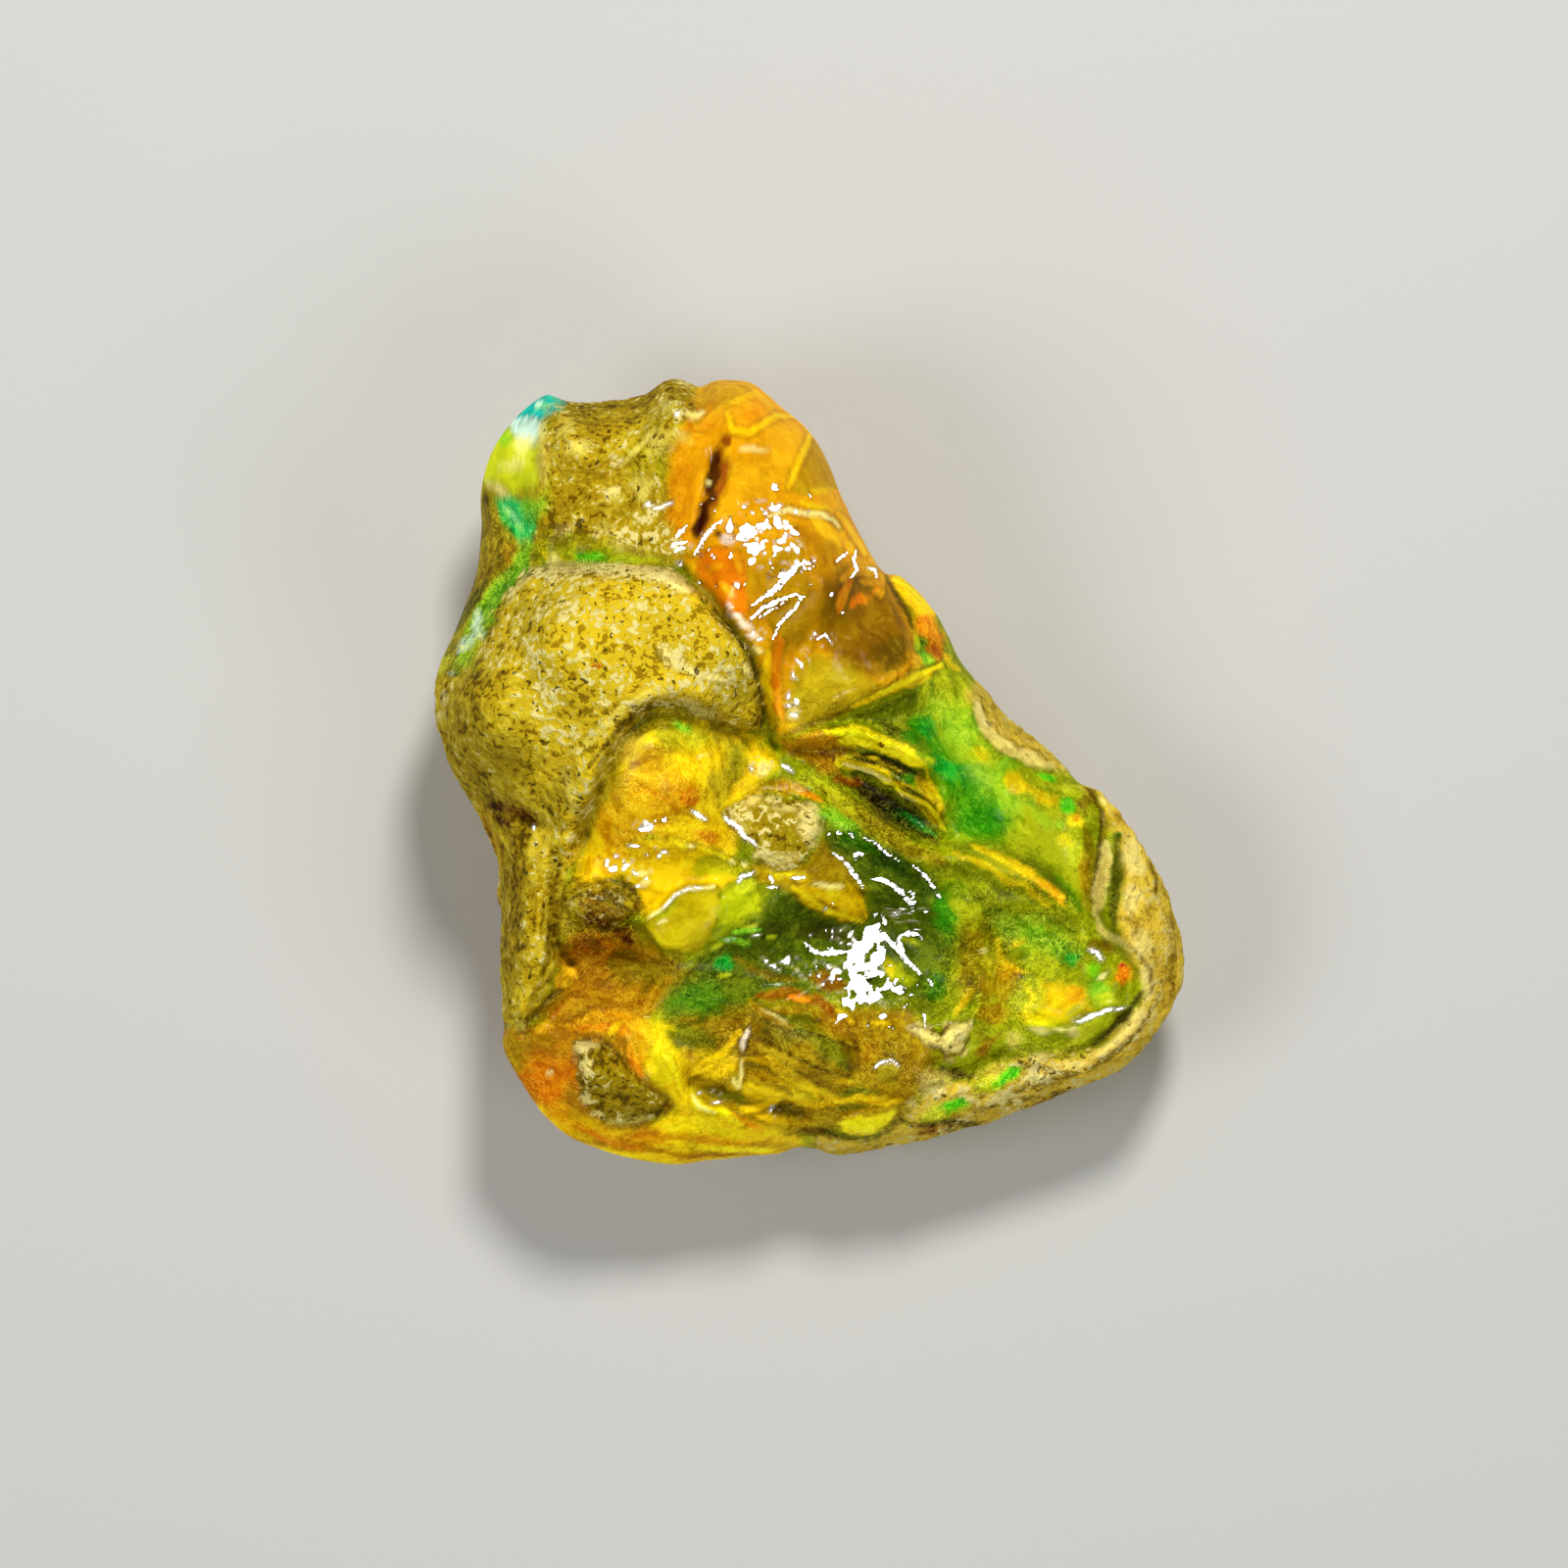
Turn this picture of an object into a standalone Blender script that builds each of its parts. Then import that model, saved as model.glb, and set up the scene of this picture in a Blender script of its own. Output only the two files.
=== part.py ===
# A rough opal nodule with its host rock, as one natural solid.
#
# The stone lies on its broken underside, at z = 0, with +Z up. The origin is on the ground under the
# middle of the stone, and +Y runs along its longest side. All forms below are given in millimetres.
import math

import bmesh
import bpy
import numpy as np
from mathutils import Vector, noise

# Driving dimensions, in millimetres.
STONE_WIDTH = 27.3
STONE_LENGTH = 28.6
STONE_HEIGHT = 14.4
METRES_PER_MM = 0.001

# The ball that becomes the stone is divided this often, and thinned again to about this many triangles.
BALL_DIVISIONS = 7
TRIANGLES = 9000
UNDERSIDE_SHARE = 0.36
REACH_POWER = 1.4

# The stone's edge seen from above, clockwise from the glassy tip at the top left.
EDGE = [
    (-9.8, 13.9), (-9.1, 13.6), (-8.3, 13.4), (-6.2, 13.6), (-5.3, 14.2), (-4.7, 14.25), (-4.0, 14.0),
    (-3.3, 14.25), (-2.1, 14.15), (-1.0, 13.2), (0.0, 12.35), (0.7, 11.1), (1.2, 9.8), (2.2, 7.9),
    (2.7, 7.2), (3.4, 7.0), (4.5, 5.9), (5.0, 5.0), (5.4, 4.1), (6.2, 3.1), (7.2, 1.95), (9.0, 0.6), (9.9, -0.35),
    (11.2, -0.85), (12.3, -2.4), (13.1, -4.3), (13.6, -6.7), (13.5, -8.4), (12.6, -10.2), (11.4, -11.15),
    (9.3, -12.0), (7.0, -12.9), (5.0, -13.4), (2.6, -13.8), (1.2, -13.95), (-0.3, -13.65), (-1.3, -13.9),
    (-3.5, -14.1), (-5.2, -14.3), (-7.5, -13.9), (-9.2, -13.3), (-10.5, -11.9), (-11.4, -10.8),
    (-11.45, -10.0), (-11.2, -9.2), (-11.2, -7.0), (-11.1, -5.0), (-11.3, -3.2), (-12.1, -1.4),
    (-13.1, 0.3), (-13.6, 2.2), (-13.6, 3.5), (-12.9, 5.1), (-12.15, 7.0), (-11.95, 8.8), (-12.0, 10.4),
    (-11.6, 12.2), (-10.9, 13.3),
]
EDGE_STEPS = 12
EDGE_CENTRE = (-1.0, -1.5)

# How high the stone stands at named places. The broad form of its top runs smoothly through these.
SPOT_HEIGHTS = {
    "glassy_tip": ((-10.6, 13.0), 8.4),
    "pale_strip": ((-10.9, 11.4), 9.2),
    "green_strip": ((-11.0, 9.0), 9.4),
    "left_waist": ((-11.8, 6.6), 9.0),
    "strip_foot": ((-13.0, 4.0), 8.6),
    "upper_rock": ((-7.9, 12.0), 10.9),
    "upper_rock_foot": ((-7.2, 9.2), 10.8),
    "top_summit": ((-4.9, 13.2), 11.5),
    "lobe_top": ((-2.4, 12.3), 12.0),
    "lobe_crown": ((-2.2, 9.2), 13.4),
    "lobe_shoulder": ((0.6, 10.3), 10.9),
    "lobe_face": ((-0.2, 6.6), 12.6),
    "lobe_face_foot": ((1.6, 4.0), 11.2),
    "lobe_edge": ((3.1, 5.6), 10.2),
    "junction": ((-1.2, 1.3), 10.4),
    "edge_bulge": ((4.5, 5.2), 8.4),
    "ball_left": ((-11.6, 2.6), 11.2),
    "ball_top": ((-8.0, 4.6), 12.4),
    "ball_right": ((-4.2, 4.4), 12.4),
    "waist_left": ((-11.6, -1.6), 9.4),
    "fan": ((2.4, 0.4), 9.5),
    "slope_head": ((5.8, 1.9), 9.0),
    "slope_middle": ((7.6, -1.4), 8.4),
    "slope_edge": ((9.6, -0.9), 7.6),
    "crust_head": ((11.5, -2.2), 7.4),
    "crust_middle": ((12.3, -5.6), 7.6),
    "crust_foot": ((12.1, -8.6), 7.5),
    "crust_corner": ((10.4, -10.6), 7.3),
    "crust_bottom": ((6.8, -12.0), 7.1),
    "basin": ((8.0, -6.8), 8.0),
    "middle_right": ((5.2, -4.2), 9.0),
    "valley": ((2.0, -6.6), 8.4),
    "rock_patch": ((-1.0, -2.3), 10.6),
    "swelling": ((-5.6, -0.6), 11.7),
    "yellow_plane": ((-4.3, -3.7), 10.9),
    "leaf": ((-4.6, -5.5), 10.2),
    "brown_hollow": ((-7.0, -7.4), 9.2),
    "knob": ((-7.8, -4.8), 10.4),
    "column": ((-10.2, -5.0), 10.2),
    "column_foot": ((-10.4, -8.6), 9.6),
    "island": ((-7.0, -11.2), 9.4),
    "left_corner": ((-10.0, -11.2), 8.2),
    "bottom_rim": ((-5.0, -13.2), 7.4),
    "bottom_middle": ((0.4, -12.9), 7.4),
    "bottom_swirl": ((-0.6, -10.2), 8.9),
    "bubble": ((3.0, -10.2), 8.6),
}
SPOT_REACH = 1.1

# Rounded lumps: centre, half widths, turn in degrees, and how far the top stands over the broad form.
LUMPS = {
    "rock_ball": ((-7.7, 3.0), (6.6, 5.2), 0, 1.9),
    "orange_swelling": ((-5.5, -1.2), (2.7, 3.2), 8, 1.1),
    "lobe_crown": ((-1.9, 8.8), (2.6, 3.2), 12, 0.5),
    "left_corner": ((-9.6, -10.9), (2.0, 2.0), 30, 0.7),
    "brown_knob": ((-7.6, -4.8), (1.45, 0.9), -12, 0.8),
    "rock_patch": ((-1.1, -2.2), (1.8, 1.4), -20, 0.7),
    "yellow_leaf": ((-4.5, -5.4), (1.6, 1.0), 25, 0.5),
    "amber_leaf": ((0.7, -4.6), (1.4, 0.7), -25, 0.6),
    "swirled_oval": ((-0.4, -10.0), (2.3, 1.3), -18, 0.6),
    "edge_bulge": ((4.2, 5.7), (1.4, 0.9), -50, 0.7),
    "bottom_leaf": ((2.1, -12.8), (1.2, 0.5), 8, 0.5),
    "bubble": ((2.8, -10.8), (0.55, 0.5), 0, 0.35),
    "cream_knot": ((-1.6, 0.1), (0.7, 0.5), -30, 0.3),
}
LUMP_FULLNESS = 0.8

# Shell-shaped break hollows with a sharp edge: centre, half widths, turn in degrees, and depth.
HOLLOWS = {
    "lobe_face": ((1.0, 5.4), (3.3, 2.4), -58, 1.0),
    "right_slope": ((6.6, -0.2), (4.6, 2.2), -38, 0.7),
    "fan_hollow": ((3.0, -1.2), (2.6, 0.8), -32, 1.2),
    "green_valley": ((2.0, -6.2), (4.0, 1.9), -10, 1.0),
    "valley_left": ((-2.4, -7.2), (2.6, 1.1), -6, 0.8),
    "brown_hollow": ((-7.1, -7.3), (2.3, 1.3), -6, 1.1),
    "right_basin": ((7.6, -6.9), (2.5, 2.1), -20, 0.8),
    "upper_rock_dip": ((-7.4, 9.9), (2.0, 1.2), 40, 0.7),
    "strip_dip": ((-11.2, 9.4), (1.4, 2.0), -4, 0.7),
    "plane_dip": ((-4.3, -3.7), (2.1, 0.9), -12, 0.5),
}

# Steps where one break surface ends above the next: outline of the higher side, height, and slope width.
STEPS = {
    "lobe": (
        [(-1.3, 1.2), (0.6, 1.9), (1.5, 2.3), (2.8, 2.8), (3.8, 3.4), (4.9, 3.9), (3.9, 4.7), (3.2, 6.2),
         (2.5, 7.4), (6.0, 14.0), (-3.2, 18.0), (-3.6, 10.6), (-4.1, 8.0), (-3.0, 5.0)], 0.8, 0.45,
    ),
    "rock_skin": (
        [(-16.0, 3.2), (-12.3, 3.6), (-11.8, 4.6), (-11.4, 5.8), (-10.8, 6.7), (-10.2, 7.3), (-6.9, 7.4),
         (-5.2, 7.3), (-4.1, 6.7), (-3.4, 5.9), (-2.3, 4.5), (-1.7, 3.0), (-1.7, 1.4), (-2.5, 1.5), (-4.0, 2.1),
         (-5.5, 2.3), (-6.7, 1.2), (-7.5, -0.3), (-8.1, -2.2), (-8.8, -3.6), (-9.2, -6.4), (-9.4, -7.5),
         (-10.2, -9.0), (-16.0, -9.6)], 0.6, 0.35,
    ),
    "rock_island": (
        [(-8.6, -9.8), (-7.6, -9.7), (-6.8, -10.4), (-6.2, -11.2), (-5.1, -12.0), (-5.4, -12.5), (-6.6, -12.7),
         (-7.8, -12.5), (-8.4, -11.6), (-8.3, -10.4)], 0.5, 0.35,
    ),
    "cream_plate": ([(3.8, -9.4), (5.1, -9.1), (5.8, -9.2), (5.3, -10.1), (4.4, -10.1)], 0.35, 0.35),
    "crust_band": (
        [(10.1, -0.4), (10.6, -2.0), (10.3, -5.0), (10.9, -6.2), (11.8, -7.4), (11.3, -9.1), (9.9, -10.2),
         (8.0, -10.8), (5.6, -11.1), (4.2, -11.7), (3.2, -13.0), (3.0, -16.0), (18.0, -16.0), (18.0, 2.0)], 0.4, 0.4,
    ),
    "fan": ([(-1.2, 1.0), (1.0, 0.3), (2.4, -0.2), (3.6, -0.9), (4.9, -1.9), (5.6, -0.6), (4.4, 1.8), (0.4, 1.7)],
            0.5, 0.4),
}

# Raised edges: the line each one follows, its half width, and its height.
RIDGES = {
    "rolled_rock": ([(-9.0, -3.0), (-8.5, -0.8), (-7.6, 0.9), (-6.5, 2.4), (-5.0, 3.0), (-3.6, 2.5)], 0.5, 0.4),
    "thin_ledge": ([(-1.1, 1.3), (0.6, 2.0), (2.5, 2.8), (3.9, 3.5), (5.0, 4.0)], 0.3, 0.4),
    "fan_ridge": ([(-0.5, 1.2), (1.5, 1.5), (3.0, 0.9), (4.3, 0.3)], 0.35, 0.6),
    "long_spine": ([(0.2, -1.4), (2.0, -2.4), (3.6, -3.2), (6.0, -3.2), (8.3, -4.0), (9.6, -5.0)], 0.45, 0.6),
    "left_column": ([(-10.6, -1.6), (-10.3, -4.0), (-10.3, -6.5), (-10.7, -9.0)], 0.75, 0.6),
    "strip_edge": ([(-9.9, 13.0), (-9.6, 11.5), (-9.6, 9.6), (-10.0, 8.0)], 0.4, 0.4),
    "yellow_rim": ([(-6.0, -9.4), (-5.1, -10.5), (-4.4, -11.8), (-3.2, -12.5), (-0.8, -13.0)], 0.4, 0.5),
    "top_summit": ([(-5.3, 13.8), (-4.8, 13.0), (-5.4, 12.0)], 0.45, 0.5),
    "leaf_edge": ([(-5.9, -5.4), (-4.8, -4.3), (-3.5, -4.2)], 0.25, 0.35),
    "cream_strip": ([(6.0, 2.2), (7.2, 0.9), (8.7, 0.1)], 0.35, 0.3),
    "basin_ledge": ([(8.0, -9.1), (9.4, -9.4), (10.4, -8.9), (11.3, -8.5)], 0.3, 0.4),
    "basin_spine": ([(5.9, -5.2), (6.4, -7.0), (6.0, -8.8)], 0.4, 0.4),
}

# Sunken lines, such as seams and cracks: the line each one follows, its half width, and its depth.
GROOVES = {
    "ball_right_seam": ([(-4.5, 7.1), (-3.3, 5.9), (-2.3, 4.5), (-1.7, 3.2), (-1.5, 2.0), (-1.3, 0.9)], 0.3, 0.9),
    "ball_top_seam": ([(-12.2, 5.2), (-11.0, 7.0), (-9.9, 7.6), (-6.4, 7.7), (-4.7, 7.3)], 0.35, 0.8),
    "swelling_seam": (
        [(-8.3, -3.6), (-7.9, -1.7), (-7.2, 0.0), (-6.5, 1.3), (-5.5, 2.1), (-4.3, 2.1), (-2.6, 1.3), (-1.2, 0.9)],
        0.3, 0.5,
    ),
    "lobe_crack": ([(-3.1, 12.0), (-3.5, 10.8), (-3.8, 9.6), (-4.1, 8.2)], 0.3, 0.9),
    "column_seam": ([(-9.1, -3.2), (-9.3, -5.0), (-9.3, -6.2), (-8.6, -6.9)], 0.28, 0.7),
    "left_crack": ([(-11.9, -1.2), (-10.9, -1.2), (-10.0, -1.8)], 0.3, 0.6),
    "red_cleft": ([(-8.8, -7.7), (-9.6, -8.5), (-10.3, -9.4)], 0.3, 0.6),
    "crust_seam": ([(10.3, -2.4), (10.1, -5.0), (10.7, -6.2), (11.6, -7.4), (11.1, -9.2), (9.7, -10.2)], 0.3, 0.4),
    "brown_groove": ([(4.4, -10.6), (5.8, -11.0), (7.0, -10.3)], 0.28, 0.5),
    "bottom_crack": ([(0.5, -13.1), (2.2, -13.4), (3.3, -12.5)], 0.28, 0.5),
    "top_notch": ([(-3.9, 14.0), (-4.1, 13.1), (-4.0, 12.3)], 0.3, 0.4),
    "bulge_seam": ([(2.8, 7.2), (3.4, 5.9), (3.9, 4.8), (4.2, 3.9)], 0.3, 0.5),
    "rim_pocket": ([(-4.1, -11.5), (-2.8, -11.9), (-0.4, -12.4)], 0.4, 0.6),
    "fan_groove": ([(-0.3, 0.8), (1.6, 0.8), (3.2, 0.0), (4.4, -0.6)], 0.28, 0.5),
}

# Where the top rounds over to the girth, and the underside to the ground.
GIRTH_HEIGHT = 5.0
GIRTH_WAVES = [(1, -1.4, 0.9), (2, 0.6, 0.6), (3, 2.1, 0.4)]
TOP_ROUNDING = 3.0
UNDERSIDE_ROUNDING = 6.5
UNDERSIDE_DEPTH = -0.9
UNDERSIDE_RISE = 3.6
UNDERSIDE_LUMP_SIZE = 4.5
UNDERSIDE_LUMP_HEIGHT = 1.0
# Towards the ground the stone's outline is the mean of its edge this far to either side, in degrees.
UNDERSIDE_SMOOTHING = (-24, -16, -8, 0, 8, 16, 24)
SMOOTHING_POWER = 5

# Faces where chips broke from the sides: compass angle of the face, its lean below (or above) the
# horizontal, both in degrees, and how deep the break goes.
BROKEN_SIDES = {
    "front_left": (228, -38, 1.1),
    "front_right": (292, -30, 1.0),
    "right_low": (338, -50, 0.8),
    "right_corner": (318, -24, 0.6),
    "back_right": (38, -30, 1.2),
    "back_top": (72, -24, 0.8),
    "back": (98, -40, 1.3),
    "left_top": (141, -33, 1.2),
    "left": (172, -44, 1.2),
    "left_low": (203, -26, 0.9),
    "lobe_flank": (32, 38, 0.5),
    "crust_bevel": (350, 40, 0.25),
    "front_bevel": (275, 44, 0.5),
}
BREAK_SOFTNESS = 0.25

# Uneven surface: size of a bump and its height, on the top, and on the sides and underside.
TOP_BUMPS = [(3.1, 0.22), (1.2, 0.14)]
SIDE_BUMPS = [(5.5, 0.6), (2.4, 0.3), (1.1, 0.14)]
BUMP_SEED = Vector((4.1, 9.3, 2.7))

OPAL_COLOUR = (0.62, 0.36, 0.03, 1.0)
OPAL_ROUGHNESS = 0.25


def edge_radius(angles):
    """How far the stone's edge lies from EDGE_CENTRE in each direction, on a smooth curve through EDGE."""
    points = np.array(EDGE) - np.array(EDGE_CENTRE)
    before, after, after_next = np.roll(points, 1, axis=0), np.roll(points, -1, axis=0), np.roll(points, -2, axis=0)
    curve = []
    for share in np.linspace(0, 1, EDGE_STEPS, endpoint=False):
        curve.append(
            0.5 * (2 * points + (after - before) * share
                   + (2 * before - 5 * points + 4 * after - after_next) * share**2
                   + (3 * points - before - 3 * after + after_next) * share**3)
        )
    curve = np.concatenate(curve)
    turned = np.arctan2(curve[:, 1], curve[:, 0])
    order = np.argsort(turned)
    return np.interp(angles, turned[order], np.hypot(*curve[order].T), period=2 * math.pi)


def oval_distance(x, y, centre, half_widths, turn):
    """Distance from centre in half widths: 1 on the oval's edge."""
    c, s = math.cos(math.radians(turn)), math.sin(math.radians(turn))
    u = (x - centre[0]) * c + (y - centre[1]) * s
    v = (y - centre[1]) * c - (x - centre[0]) * s
    return np.hypot(u / half_widths[0], v / half_widths[1])


def line_distance(x, y, line):
    """Distance to an open line of straight runs."""
    nearest = np.full(x.shape, np.inf)
    for (ax, ay), (bx, by) in zip(line, line[1:]):
        dx, dy = bx - ax, by - ay
        along = np.clip(((x - ax) * dx + (y - ay) * dy) / (dx * dx + dy * dy), 0, 1)
        nearest = np.minimum(nearest, np.hypot(x - ax - along * dx, y - ay - along * dy))
    return nearest


def inside(x, y, outline):
    """True where a point lies inside a closed outline."""
    within = np.zeros(x.shape, bool)
    for (ax, ay), (bx, by) in zip(outline, outline[1:] + outline[:1]):
        crosses = (ay > y) != (by > y)
        within ^= crosses & (x < (bx - ax) * (y - ay) / (by - ay + 1e-12) + ax)
    return within


def bumps(points, scales):
    """Gentle noise, the same each run: the sum of bumps of several sizes and heights."""
    total = np.zeros(len(points))
    for size, height in scales:
        total += height * np.array([noise.noise(Vector(p) / size + BUMP_SEED) for p in points])
    return total


def broad_height(x, y):
    """The broad form of the top: a smooth surface through SPOT_HEIGHTS."""
    weighted, weights = np.zeros_like(x), np.zeros_like(x)
    for (cx, cy), height in SPOT_HEIGHTS.values():
        weight = ((x - cx) ** 2 + (y - cy) ** 2 + SPOT_REACH**2) ** -2.0
        weighted += weight * height
        weights += weight
    return weighted / weights


def top_height(x, y):
    """Height of the upper surface, before it rounds over at the edge."""
    z = broad_height(x, y)
    for centre, half_widths, turn, height in LUMPS.values():
        d = oval_distance(x, y, centre, half_widths, turn)
        z += height * np.clip(1 - d**2, 0, 1) ** LUMP_FULLNESS
    for centre, half_widths, turn, depth in HOLLOWS.values():
        d = oval_distance(x, y, centre, half_widths, turn)
        z -= depth * np.clip(1 - d**2, 0, 1)
    for outline, height, slope_width in STEPS.values():
        to_edge = line_distance(x, y, outline + outline[:1])
        z += height * np.clip(np.where(inside(x, y, outline), to_edge, 0) / slope_width, 0, 1)
    for line, half_width, height in RIDGES.values():
        z += height * np.exp(-((line_distance(x, y, line) / half_width) ** 2))
    for line, half_width, depth in GROOVES.values():
        z -= depth * np.exp(-((line_distance(x, y, line) / half_width) ** 2))
    return z + bumps(np.stack([x, y, np.zeros_like(x)], axis=1), TOP_BUMPS)


def underside_height(x, y, reach):
    """Height of the lower surface, before it rounds over: a shallow, lumpy bowl that sinks below the ground."""
    flat = np.stack([x, y, np.zeros_like(x)], axis=1)
    lumps = bumps(flat, [(UNDERSIDE_LUMP_SIZE, UNDERSIDE_LUMP_HEIGHT)])
    return UNDERSIDE_DEPTH + UNDERSIDE_RISE * reach**2.4 + lumps


def rounding(from_edge, radius):
    """A quarter round that rises from 0 at the edge to 1 at the given distance from it."""
    return np.sqrt(1 - (1 - np.clip(from_edge / radius, 0, 1)) ** 2)


def stone_points(directions):
    """Moves each point of a unit ball to its place on the stone, before the sides are broken."""
    split = 2 * UNDERSIDE_SHARE - 1
    level = directions[:, 2]
    is_top = level > split
    share = np.where(is_top, (level - split) / (1 - split), (split - level) / (1 + split))
    reach = np.sqrt(np.clip(1 - share**REACH_POWER, 0, 1))
    angle = np.arctan2(directions[:, 1], directions[:, 0])
    radius = edge_radius(angle)
    smooth_radius = np.mean([edge_radius(angle + math.radians(turn)) for turn in UNDERSIDE_SMOOTHING], axis=0)
    radius = np.where(is_top, radius, smooth_radius + (radius - smooth_radius) * reach**SMOOTHING_POWER)
    x = EDGE_CENTRE[0] + reach * radius * np.cos(angle)
    y = EDGE_CENTRE[1] + reach * radius * np.sin(angle)
    from_edge = (1 - reach) * radius
    girth = GIRTH_HEIGHT + sum(height * np.sin(turns * angle + start) for turns, start, height in GIRTH_WAVES)
    top = girth + (top_height(x, y) - girth) * rounding(from_edge, TOP_ROUNDING)
    under = girth + (underside_height(x, y, reach) - girth) * rounding(from_edge, UNDERSIDE_ROUNDING)
    return np.stack([x, y, np.where(is_top, top, under)], axis=1), girth


def break_sides(points):
    """Flattens the sides where chips broke away."""
    for compass, lean, depth in BROKEN_SIDES.values():
        a, t = math.radians(compass), math.radians(lean)
        outward = np.array([math.cos(a) * math.cos(t), math.sin(a) * math.cos(t), math.sin(t)])
        beyond = points @ outward
        beyond -= beyond.max() - depth
        pushed = 0.5 * (beyond + np.sqrt(beyond**2 + BREAK_SOFTNESS**2))
        points = points - np.where(beyond > -4 * BREAK_SOFTNESS, pushed, 0)[:, None] * outward
    return points


def fit_to_size(points):
    """Scales and centres the stone to its three driving dimensions, standing on z = 0."""
    low, high = points.min(axis=0), points.max(axis=0)
    size = np.array([STONE_WIDTH, STONE_LENGTH, STONE_HEIGHT])
    middle = np.array([(low[0] + high[0]) / 2, (low[1] + high[1]) / 2, low[2]])
    return (points - middle) * size / (high - low)


def place_points(mesh, points):
    mesh.vertices.foreach_set("co", points.astype(np.float32).ravel())
    mesh.update()


def mesh_points(mesh, what="co"):
    values = np.empty(3 * len(mesh.vertices), np.float32)
    mesh.vertices.foreach_get(what, values)
    return values.reshape(-1, 3).astype(float)


def shape_stone(mesh):
    """Turns a fine ball into the stone: its forms, then its broken sides, its uneven skin and its flat foot."""
    points, girth = stone_points(mesh_points(mesh))
    points = break_sides(points)
    place_points(mesh, points)
    below_girth = np.clip((girth - points[:, 2]) / 1.5, 0, 1)
    points += mesh_points(mesh, "normal") * (below_girth * bumps(points, SIDE_BUMPS))[:, None]
    points[:, 2] = np.maximum(points[:, 2], 0)
    place_points(mesh, points)


def make_stone(collection):
    mesh = bpy.data.meshes.new("stone_form")
    ball = bmesh.new()
    bmesh.ops.create_icosphere(ball, subdivisions=BALL_DIVISIONS, radius=1)
    ball.to_mesh(mesh)
    ball.free()
    shape_stone(mesh)
    stone = bpy.data.objects.new("opal_stone", mesh)
    collection.objects.link(stone)
    thinner = stone.modifiers.new("thinner", "DECIMATE")
    thinner.ratio = TRIANGLES / len(mesh.polygons)
    bpy.context.view_layer.update()
    thinned = bpy.data.meshes.new_from_object(stone.evaluated_get(bpy.context.evaluated_depsgraph_get()))
    stone.modifiers.clear()
    stone.data = thinned
    place_points(thinned, fit_to_size(mesh_points(thinned)) * METRES_PER_MM)
    thinned.shade_smooth()
    return stone


def make_opal_material():
    material = bpy.data.materials.new("rough_opal")
    material.use_nodes = True
    surface = material.node_tree.nodes["Principled BSDF"]
    surface.inputs["Base Color"].default_value = OPAL_COLOUR
    surface.inputs["Roughness"].default_value = OPAL_ROUGHNESS
    return material


def main():
    for old in list(bpy.data.objects):
        bpy.data.objects.remove(old)
    collection = bpy.data.collections.new("rough_opal")
    bpy.context.scene.collection.children.link(collection)
    stone = make_stone(collection)
    stone.data.materials.append(make_opal_material())


main()
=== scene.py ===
# A rough opal nodule with its host rock: the finished surface, the camera and the lights.
# Forms and paintwork are in millimetres, with +Y towards the glassy tip and z = 0 on the ground.
import itertools
import math

import bmesh
import bpy
import numpy as np
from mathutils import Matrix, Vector, noise


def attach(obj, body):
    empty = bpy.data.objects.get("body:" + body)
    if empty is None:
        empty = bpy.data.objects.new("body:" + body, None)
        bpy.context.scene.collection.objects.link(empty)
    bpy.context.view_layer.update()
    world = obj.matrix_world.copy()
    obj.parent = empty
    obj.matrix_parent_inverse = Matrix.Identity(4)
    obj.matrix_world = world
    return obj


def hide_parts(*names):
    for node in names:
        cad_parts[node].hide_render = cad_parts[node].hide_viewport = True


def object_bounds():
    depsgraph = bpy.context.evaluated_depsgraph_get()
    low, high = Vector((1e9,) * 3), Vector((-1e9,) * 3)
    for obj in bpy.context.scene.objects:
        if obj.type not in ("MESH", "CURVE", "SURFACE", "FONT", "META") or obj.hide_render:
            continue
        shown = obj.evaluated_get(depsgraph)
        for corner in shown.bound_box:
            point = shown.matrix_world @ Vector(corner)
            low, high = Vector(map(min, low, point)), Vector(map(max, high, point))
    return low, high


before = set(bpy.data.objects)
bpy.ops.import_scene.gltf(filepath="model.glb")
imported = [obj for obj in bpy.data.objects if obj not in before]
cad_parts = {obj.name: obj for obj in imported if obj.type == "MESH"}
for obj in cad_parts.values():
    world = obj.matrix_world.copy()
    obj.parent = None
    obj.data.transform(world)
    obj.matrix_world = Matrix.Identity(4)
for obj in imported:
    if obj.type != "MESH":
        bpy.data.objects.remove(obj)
cadBox = [list(corner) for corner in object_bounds()]
print("frame loaded, box", cadBox)

metresPerMm = 0.001

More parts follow.
